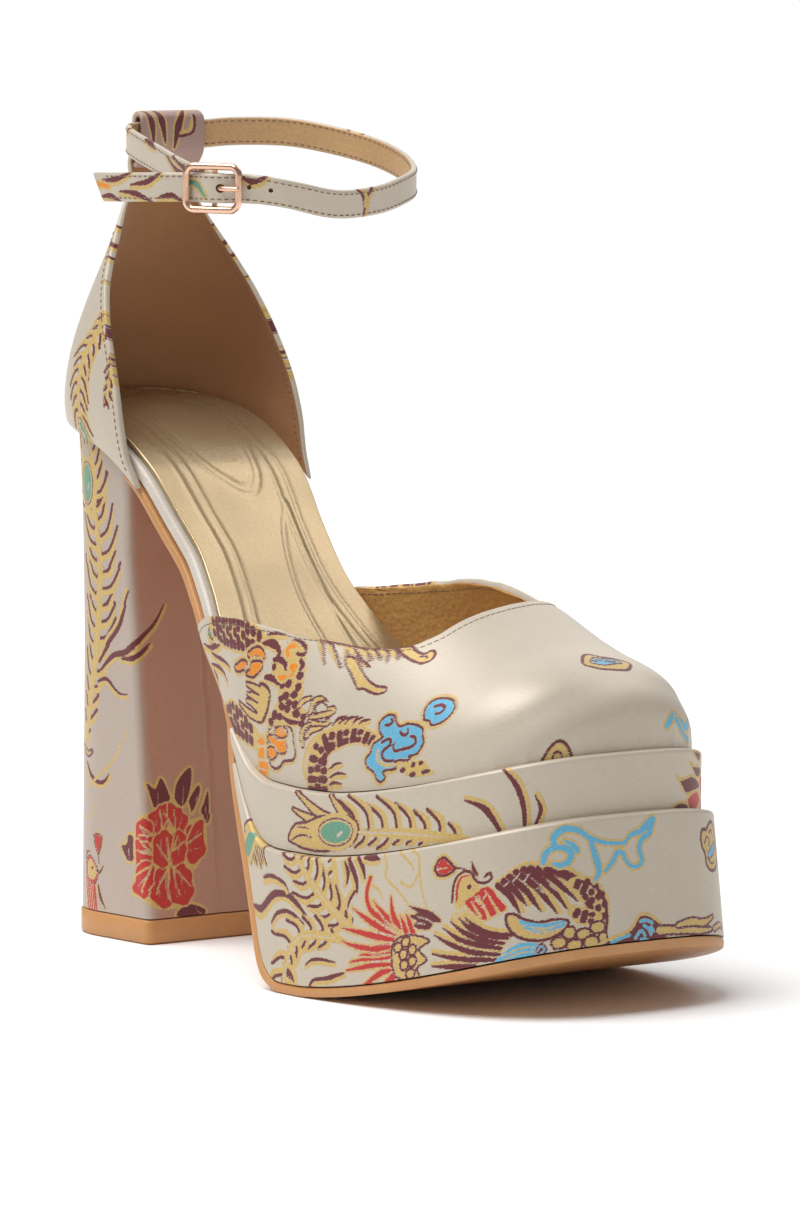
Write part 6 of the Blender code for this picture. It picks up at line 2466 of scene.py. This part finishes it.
def draw_upper_tier(chart):
    """A long plume with a green eye, tendrils, and blossom at the toe corner."""
    chart.plume(
        ((-43.0, -0.4), (-50.0, 1.6), (-58.0, 3.4), (-66.0, 4.6), (-76.0, 5.6)),
        (5.0, 7.6, 9.6, 10.6, 9.6),
        4.5,
        1.35,
        0.8,
        (-1,),
    )
    chart.plume(
        ((-50.0, 0.8), (-58.0, 2.8), (-66.0, 4.2), (-76.0, 5.2)),
        (2.0, 3.6, 5.0, 4.6),
        3.9,
        1.2,
        0.8,
        (1,),
    )
    chart.edged(((-85.0, 8.6), (-91.0, 10.6), (-98.4, 14.6)), (1.8, 1.7, 0.3))
    chart.edged(((-80.0, 9.0), (-83.0, 11.6), (-86.0, 14.8)), (1.8, 1.5, 0.3))
    chart.edged(((-88.0, 8.0), (-93.6, 8.6), (-99.4, 10.2)), (1.8, 1.6, 0.3))
    lobe = (
        (-101.0, 2.4), (-98.8, 6.4), (-94.0, 7.6), (-88.6, 9.4), (-79.0, 9.2), (-76.0, 6.0), (-79.0, 2.2),
        (-88.0, 1.0), (-96.0, 1.2),
    )
    chart.shape(lobe, ("maroon", 0.35), ("gold", -0.3))
    chart.stroke("maroon", ((-100.0, 2.6), (-96.4, 4.2), (-92.6, 4.0)), (0.4, 0.6, 0.4))
    chart.stroke("maroon", ((-97.6, 6.0), (-93.6, 6.2)), (0.4, 0.4))
    chart.eye((-83.9, 5.6), 5.8, 3.1)
    chart.stroke(None, ((-76.0, 5.4), (-66.0, 4.4), (-57.0, 3.0), (-49.0, 1.2)), (0.5, 0.5, 0.3))
    chart.tendril(((-43.4, 9.2), (-38.2, 6.2), (-34.4, 0.4)), (0.5, 1.6, 1.0), 1.0)
    chart.tendril(((-34.2, 15.4), (-30.6, 10.6), (-28.7, 5.0), (-28.4, -0.4)), (0.5, 1.3, 1.3, 0.9), 1.0)
    chart.tendril(((-26.0, 7.4), (-24.6, 3.6), (-26.2, -0.4)), (0.4, 1.1, 0.8), 1.0)
    for petal in (
        ((15.7, 8.4), (18.0, 7.4), (22.5, 8.3), (27.0, 7.6), (29.5, 5.8), (24.0, 4.5), (19.4, 4.2)),
        ((21.6, 11.6), (25.0, 10.8), (30.0, 10.6), (31.0, 8.4), (25.6, 8.2)),
        ((23.4, 13.8), (27.0, 14.4), (30.6, 13.6), (28.0, 11.8)),
        ((13.8, 0.0), (17.2, 1.9), (21.0, 1.4), (20.6, -0.6)),
        ((31.6, 14.0), (36.0, 13.0), (40.0, 10.0), (37.0, 8.4), (32.6, 10.0)),
    ):
        chart.petal(petal, "maroon", "gold", 0.35)
    for petal in (
        ((20.6, 2.4), (23.6, 4.2), (27.6, 4.8), (29.8, 2.6), (26.0, 0.2), (22.0, -0.2)),
        ((29.0, 8.0), (33.0, 9.2), (37.0, 7.6), (36.0, 3.8), (31.0, 3.4)),
        ((30.6, 3.0), (35.0, 3.2), (38.0, 0.0), (33.0, -1.0), (30.0, 0.0)),
    ):
        chart.petal(petal)
    inner = chart.moved((0.0, 0.0), -1.0)
    inner.plume(((-56.0, 4.0), (-66.0, 7.0), (-78.0, 8.0), (-90.0, 7.0)), (2.0, 5.0, 6.0, 5.0), 3.0, 1.0)
    inner.eye((-94.0, 6.6), 4.6, 2.8)


def draw_strap(chart):
    """Scraps of figures where the strap was cut from the cloth, most of them near the free tip."""
    for where in (60.0, 128.0, 196.0):
        chart.tendril(((where - 2.4, 3.6), (where - 0.6, 1.4), (where + 0.4, -3.6)), (0.8, 1.0, 0.5))
        chart.tendril(((where + 2.6, 3.6), (where + 0.8, 1.8), (where + 0.6, -0.6)), (0.7, 0.9, 0.3))
    for points in (
        ((252.0, 3.6), (256.0, 1.4), (262.0, 0.6)),
        ((255.0, -3.6), (260.0, -1.6), (266.0, -1.0)),
        ((262.0, 3.6), (267.0, 2.0), (273.0, 1.6)),
        ((266.0, -3.4), (270.0, -2.2), (275.0, -2.4)),
        ((246.0, -3.4), (249.0, -2.0), (253.0, -2.6)),
        ((223.6, 3.6), (225.6, 2.0), (228.0, 2.2), (229.8, 3.6)),
        ((8.0, 3.4), (14.0, 1.6), (21.0, 2.0), (28.0, 3.4)),
        ((6.0, -1.0), (12.0, -0.6), (18.0, -2.0), (23.0, -3.6)),
        ((12.0, 0.6), (18.0, 0.2), (25.0, 0.6), (32.0, 2.6)),
        ((20.0, -1.6), (26.0, -1.2), (31.0, -2.4)),
        ((40.0, 2.6), (43.0, 3.0), (47.0, 3.4)),
    ):
        chart.tendril(points, (0.8, 1.5, 0.5))
    chart.ringed(((238.0, -2.0), (240.6, 0.6), (244.0, 1.6)), (0.8, 1.6, 0.8), "green", (("gold", 1.2),))
    chart.ringed(((270.0, 0.0), (273.0, 0.6), (277.0, 0.2)), (0.8, 1.4, 0.8), "orange", (("gold", 1.1),))


# The shoe


TOE_MIDDLE = 165.5
# Height of the toe's ridge over its lower edge, at distances from the toe's middle
RIDGE_HEIGHTS = ((0.0, 18.0, 34.0, 50.0), (20.0, 15.0, 10.0, 6.0))
RIDGE_RISE = 0.45
RIDGE_BREADTH = 3.6
TROUGH_DEPTH = 0.5
TROUGH_BELOW = 8.0
TROUGH_BREADTH = 4.0
CREASE_REACH = 42.0
CREASE_EASE = 20.0
PLEAT_DEPTH = 0.32
PLEAT_BREADTH = 1.1
# Place along the lower edge and length of each pleat
TOE_PLEATS = (
    (126.0, 5.0), (133.5, 6.5), (148.0, 6.0), (152.5, 8.0), (156.0, 5.5), (161.0, 7.5), (164.5, 5.0),
    (169.0, 8.0), (173.5, 6.0), (178.0, 7.0), (186.0, 5.5), (195.0, 6.5), (204.0, 5.0),
)


def toe_creases(u, v):
    """Depth of the soft trough across the toe under its ridge, and of the pleats at the lower edge."""
    away = np.abs(u - TOE_MIDDLE)
    height = np.interp(away, *RIDGE_HEIGHTS)
    fade = 1.0 - step(away - CREASE_REACH, CREASE_EASE)
    depth = fade * TROUGH_DEPTH * ridge(v - height + TROUGH_BELOW, TROUGH_BREADTH)
    depth -= fade * RIDGE_RISE * ridge(v - height, RIDGE_BREADTH)
    for place, long in TOE_PLEATS:
        depth += PLEAT_DEPTH * ridge(u - place, PLEAT_BREADTH) * np.clip(1.0 - v / long, 0.0, 1.0)
    return depth


def build_vamp(cloth, lining):
    """The figured vamp with its creases and its lining."""
    outer, inner = vamp_grid(0.0), vamp_grid(VAMP_WALL)
    base = vamp_base(outer)
    depth = toe_creases(*outline_coordinates(outer, base))
    outer = outer - surface_normals(outer) * depth[..., None]
    bulge = np.zeros(outer.shape[:2])
    bulge[0] = RIM_ROUND
    piece = Piece("vamp_brocade")
    grid = shell(piece, outer, inner, bulge)
    chart = Chart(*outline_coordinates(outer, base))
    draw_vamp(chart)
    piece.dress(grid, chart)
    piece.build([cloth, lining], "brocade", "vamp")
    return outer, inner


# Where along the counter its tab turns to the painted shade, a darker rose, and over what length
TAB_FOLD = 78.0
TAB_FOLD_EASE = 6.0
# Rows on each side over which the wall thins towards the tab
THIN_ROWS = 8


def build_counter(cloth, lining):
    """The figured heel cup and its tab, thinner over the strap, with its lining and painted shade over the
    tab's folded face.
    """
    rows, loop_start = counter_grid()
    thick = np.where(np.linspace(0, 1, len(rows)) < loop_start, COUNTER_WALL, TAB_WALL)
    mean_of = 2 * THIN_ROWS + 1
    thick = np.convolve(np.pad(thick, THIN_ROWS, mode="edge"), np.ones(mean_of) / mean_of, mode="valid")
    inside = rows + surface_normals(rows) * thick[:, None, None]
    bulge = np.zeros(rows.shape[:2])
    bulge[:, 0] = bulge[:, -1] = RIM_ROUND
    bulge[-1] = RIM_ROUND
    piece = Piece("counter_brocade")
    grid = shell(piece, rows, inside, bulge)
    chart = Chart(*centred_coordinates(rows))
    draw_counter(chart)
    # Painted shade over the tab past its fold
    chart.painted_shade_share = step(chart.places[:, 1] - TAB_FOLD, TAB_FOLD_EASE)
    piece.dress(grid, chart)
    piece.build([cloth, lining], "brocade", "counter")
    return rows, inside, loop_start


# The seam's heights on the heel's breast and its places across it
SEAM_LINE = ((6.4, 74.0), (20.9, 19.5))
SEAM_DEPTH = 0.4
SEAM_BREADTH = 0.6
# The painted shade and reflection on the breast starts inside its two corners
BREAST_WIDTH = 46.5
BREAST_INSET = 0.4
BREAST_EASE = 1.6


def build_heel(cloth):
    """The figured heel with the seam in its breast, and painted shade and reflection over the breast."""
    rows = heel_grid()
    u, v = heel_coordinates(rows)
    seam = np.interp(v, *SEAM_LINE)
    rows[..., 0] -= SEAM_DEPTH * ridge(u - seam, SEAM_BREADTH)
    chart = Chart(u, v)
    draw_heel(chart)
    first, last = BREAST_INSET, BREAST_WIDTH - BREAST_INSET
    # Painted shade and reflection: the breast between its corners turns to the darker rose
    chart.painted_shade_share = (step(u - first, BREAST_EASE) * step(last - u, BREAST_EASE)).ravel()
    piece = Piece("heel_brocade")
    piece.dress(piece.tube(rows, 0), chart)
    piece.build([cloth], "brocade", "heel_block")


LOWER_TIER_MESH = (700, 84)
UPPER_TIER_MESH = (660, 40)


def build_tier(name, edges, mesh, node, cloth, draw):
    """A tier's figured wall, closed above and below by strips across it and at the toe by a fan."""
    wall = tier_wall(edges, *mesh)
    piece = Piece(name)
    n = piece.grid(wall, 0)
    half = n.shape[1] // 2
    for row in (n[0], n[-1]):
        piece.strip(row[: half - 1], row[::-1][: half - 1], 0)
        tip = row[half - 2 : half + 3]
        for k in range(1, 4):
            piece.face((tip[0], tip[k], tip[k + 1]), 0)
    piece.strip(n[:, 0], n[:, -1], 0)
    chart = Chart(*tier_coordinates(wall))
    draw(chart)
    piece.dress(n, chart)
    piece.build([cloth], "brocade", node)


def lower_tier_edges():
    """Edges of the lower tier, which opens out towards the floor."""
    tail = []
    for _, top_x, top_z, low_x, low_z, out in LOWER_TAIL.data:
        flare = LOWER_TIER_FLARE * (LOWER_TIER_TOP - min(low_z, LOWER_TIER_TOP)) / LOWER_TIER_TOP
        tail.append(((top_x, top_z), (low_x, low_z), out, flare))
    low = OUTSOLE_THICKNESS + GAP
    return tier_edges(
        tail,
        LOWER_TIER_OUT,
        LOWER_TIER_FLARE,
        lambda x: LOWER_TIER_TOP + rocker(x),
        lambda x: low + rocker(x),
    )


def upper_tier_edges():
    """Edges of the upper tier, which follows the board above and the lower tier below."""
    tail = []
    for _, top_x, low_x, low_z, out in UPPER_TAIL.data:
        tail.append(((top_x, board_under(top_x) - GAP), (low_x, low_z), out, 0.0))
    low = LOWER_TIER_TOP + GAP
    return tier_edges(tail, UPPER_TIER_OUT, 0.0, lambda x: board_under(x) - GAP, lambda x: low + rocker(x))


STITCH_IN = 1.7
# The row or column of a panel whose normals raise the stitches beside its edge
VAMP_STITCH_ROW = 6
COUNTER_STITCH_COLUMN = 4
# Rows left unsewn at the foot of the counter and below the strap loop, and the strap's sewn rings
FOOT_UNSEWN = 4
LOOP_UNSEWN = 6
STRAP_SEWN = slice(6, -8)


def stitch_vamp(thread, outer, inner):
    """A row of stitches along the topline, outside and inside."""
    piece = Piece("vamp_stitches")
    add_stitches(piece, edge_line(outer, STITCH_IN), surface_normals(outer)[VAMP_STITCH_ROW])
    add_stitches(piece, edge_line(inner, STITCH_IN), -surface_normals(inner)[VAMP_STITCH_ROW])
    piece.build([thread], "brocade", "vamp")


def stitch_counter(thread, rows, inside, loop_start):
    """Stitches up both front edges of the heel cup, outside and inside."""
    piece = Piece("counter_stitches")
    sewn = slice(FOOT_UNSEWN, round(loop_start * len(rows)) - LOOP_UNSEWN)
    outward = -surface_normals(rows)
    for wall, sign in ((rows, 1.0), (inside, -1.0)):
        for turned, pointing in ((wall, outward), (wall[:, ::-1], outward[:, ::-1])):
            line = edge_line(np.swapaxes(turned, 0, 1), STITCH_IN)[sewn]
            add_stitches(piece, line, sign * pointing[sewn, COUNTER_STITCH_COLUMN])
    piece.build([thread], "brocade", "counter")


def stitch_strap(thread):
    """Two rows of stitches on each face of the strap."""
    rings, _, _ = strap_rings()
    piece = Piece("strap_stitches")
    front, back = 0, STRAP_ACROSS + 1 + STRAP_RIM
    for first, other in ((front, back), (back, front)):
        through = rings[:, first + STRAP_ACROSS // 2] - rings[:, other + STRAP_ACROSS // 2]
        for column in (first + 1, first + STRAP_ACROSS - 1):
            add_stitches(piece, rings[STRAP_SEWN, column], unit(through)[STRAP_SEWN])
    piece.build([thread], "brocade", "ankle_strap")


def main():
    """Every piece, then the camera, the light and the floor."""
    cloth = brocade_material("champagne_brocade", CHAMPAGNE, TAB_PAINTED_SHADE)
    heel_cloth = brocade_material("rose_brocade", ROSE_CHAMPAGNE, BREAST_PAINTED_SHADE)
    pale = satin_material()
    gold = leather_material(
        "gold_leather",
        dark=(0.44, 0.32, 0.175),
        light=(0.53, 0.40, 0.235),
        roughness=0.28,
        grain=900.0,
        depth=0.00004,
        Metallic=0.6,
    )
    vamp_lining = leather_material(
        "lining_gold",
        dark=(0.60, 0.31, 0.10),
        light=(0.82, 0.48, 0.17),
        roughness=0.42,
        grain=700.0,
        depth=0.00025,
        Metallic=0.35,
    )
    suede = leather_material(
        "lining_suede",
        dark=(0.31, 0.14, 0.052),
        light=(0.40, 0.19, 0.075),
        roughness=0.85,
        grain=1900.0,
        depth=0.00012,
        Sheen_Weight=0.15,
    )
    strap_lining = leather_material(
        "lining_strap",
        dark=(0.52, 0.31, 0.14),
        light=(0.68, 0.44, 0.22),
        roughness=0.42,
        grain=900.0,
        depth=0.0001,
        Metallic=0.25,
    )
    sole = sole_material()
    metal = metal_material()
    thread = thread_material("brown_thread", (0.28, 0.16, 0.09))

    vamp = build_vamp(cloth, vamp_lining)
    counter = build_counter(cloth, suede)
    build_heel(heel_cloth)
    build_tier(
        "lower_tier_brocade",
        lower_tier_edges(),
        LOWER_TIER_MESH,
        "platform_lower_tier",
        cloth,
        draw_lower_tier,
    )
    build_tier(
        "upper_tier_brocade",
        upper_tier_edges(),
        UPPER_TIER_MESH,
        "platform_upper_tier",
        cloth,
        draw_upper_tier,
    )
    for name, rings, slot, node, material in (
        ("insole_board_satin", board_rings(), "satin", "insole_board", pale),
        ("sock_leather", sock_rings(), "gold_leather", "sock", gold),
        ("outsole_sheet", outsole_rings(), "tan_sole", "outsole", sole),
        ("top_lift_block", lift_rings(), "tan_sole", "top_lift", sole),
    ):
        piece = Piece(name)
        piece.tube(rings, 0)
        piece.build([material], slot, node)
    # The suede here is painted shade in the strap's blind holes
    build_strap([cloth, strap_lining, suede])
    piece = Piece("buckle_frame_metal")
    piece.tube(frame_rings(), 0, closed=True)
    piece.tube(bar_rings(), 0)
    piece.build([metal], "rose_gold", "buckle_frame")
    piece = Piece("buckle_prong_metal")
    piece.tube(prong_rings(), 0)
    piece.build([metal], "rose_gold", "buckle_prong")
    stitch_vamp(thread, *vamp)
    stitch_counter(thread, *counter)
    stitch_strap(thread)
    camera()
    light()
    floor()


# Camera and light

CAMERA_AZIMUTH = math.radians(39.5)
CAMERA_ELEVATION = math.radians(5.6)
CAMERA_ROLL = math.radians(0.5)
CAMERA_DISTANCE = 2000.0
CAMERA_TARGET = Vector((119.9, 1.8, 89.6))
FOCAL_PIXELS = 8165.0
FRAME_HEIGHT_PIXELS = 1209.0
SENSOR = 36.0
WORLD_STRENGTH = 0.22
SUN_STRENGTH = 3.1
SUN_SPREAD = math.radians(50.0)
SUN_WAY = Vector((0.15, 0.42, -1.0))
LIGHT_TARGET = Vector((0.0, 0.0, 0.1))
# Name, place and size in metres, and power in watts
SOFT_BOXES = (
    ("back_box", Vector((-0.85, 0.8, 0.75)), (1.3, 1.0), 4.5),
    ("arch_box", Vector((0.05, 0.75, 0.95)), (0.5, 0.4), 1.4),
)
FLOOR_REACH = 60.0
FLOOR_DROP = 0.0002
FLOOR_GREY = (0.95, 0.95, 0.95)


def camera():
    """A camera at the photograph's viewing angle."""
    back = Vector(
        (
            math.cos(CAMERA_AZIMUTH) * math.cos(CAMERA_ELEVATION),
            -math.sin(CAMERA_AZIMUTH) * math.cos(CAMERA_ELEVATION),
            math.sin(CAMERA_ELEVATION),
        )
    )
    right = (-back).cross(Vector((0, 0, 1))).normalized()
    up = right.cross(-back)
    turned_right = math.cos(CAMERA_ROLL) * right + math.sin(CAMERA_ROLL) * up
    turned_up = -math.sin(CAMERA_ROLL) * right + math.cos(CAMERA_ROLL) * up
    place = Matrix((turned_right, turned_up, back)).transposed().to_4x4()
    place.translation = (CAMERA_TARGET + CAMERA_DISTANCE * back + Vector(SHIFT)) * MM
    data = bpy.data.cameras.new("camera")
    data.sensor_width = SENSOR
    data.lens = FOCAL_PIXELS * SENSOR / FRAME_HEIGHT_PIXELS
    data.clip_start, data.clip_end = 0.1, 100.0
    made = bpy.data.objects.new("camera", data)
    made.matrix_world = place
    bpy.context.scene.collection.objects.link(made)
    bpy.context.scene.camera = made


def add_light(name, data, way):
    """Puts a light in the scene, pointing along a direction."""
    made = bpy.data.objects.new(name, data)
    made.rotation_mode = "QUATERNION"
    made.rotation_quaternion = way.to_track_quat("-Z", "Y")
    bpy.context.scene.collection.objects.link(made)
    return made


def light():
    """Even studio light: a pale world, a wide soft sun overhead and two soft boxes behind the shoe."""
    scene = bpy.context.scene
    scene.view_settings.view_transform = "Standard"
    world = bpy.data.worlds.new("studio")
    scene.world = world
    world.use_nodes = True
    background = world.node_tree.nodes["Background"]
    background.inputs["Color"].default_value = (1.0, 1.0, 1.0, 1.0)
    background.inputs["Strength"].default_value = WORLD_STRENGTH
    sun = bpy.data.lights.new("overhead", "SUN")
    sun.energy = SUN_STRENGTH
    sun.angle = SUN_SPREAD
    add_light("overhead", sun, SUN_WAY)
    for name, place, size, power in SOFT_BOXES:
        box = bpy.data.lights.new(name, "AREA")
        box.shape = "RECTANGLE"
        box.size, box.size_y = size
        box.energy = power
        add_light(name, box, LIGHT_TARGET - place).location = place


def floor():
    """A plain pale floor, a little below the sole."""
    mesh = bpy.data.meshes.new("floor")
    reach = FLOOR_REACH
    corners = [(-reach, -reach, 0), (reach, -reach, 0), (reach, reach, 0), (-reach, reach, 0)]
    mesh.from_pydata(corners, [], [(0, 1, 2, 3)])
    paper, _, _ = new_material("floor_paper", FLOOR_GREY, 0.9)
    mesh.materials.append(paper)
    made = bpy.data.objects.new("floor", mesh)
    made.location.z = -FLOOR_DROP
    bpy.context.scene.collection.objects.link(made)


main()
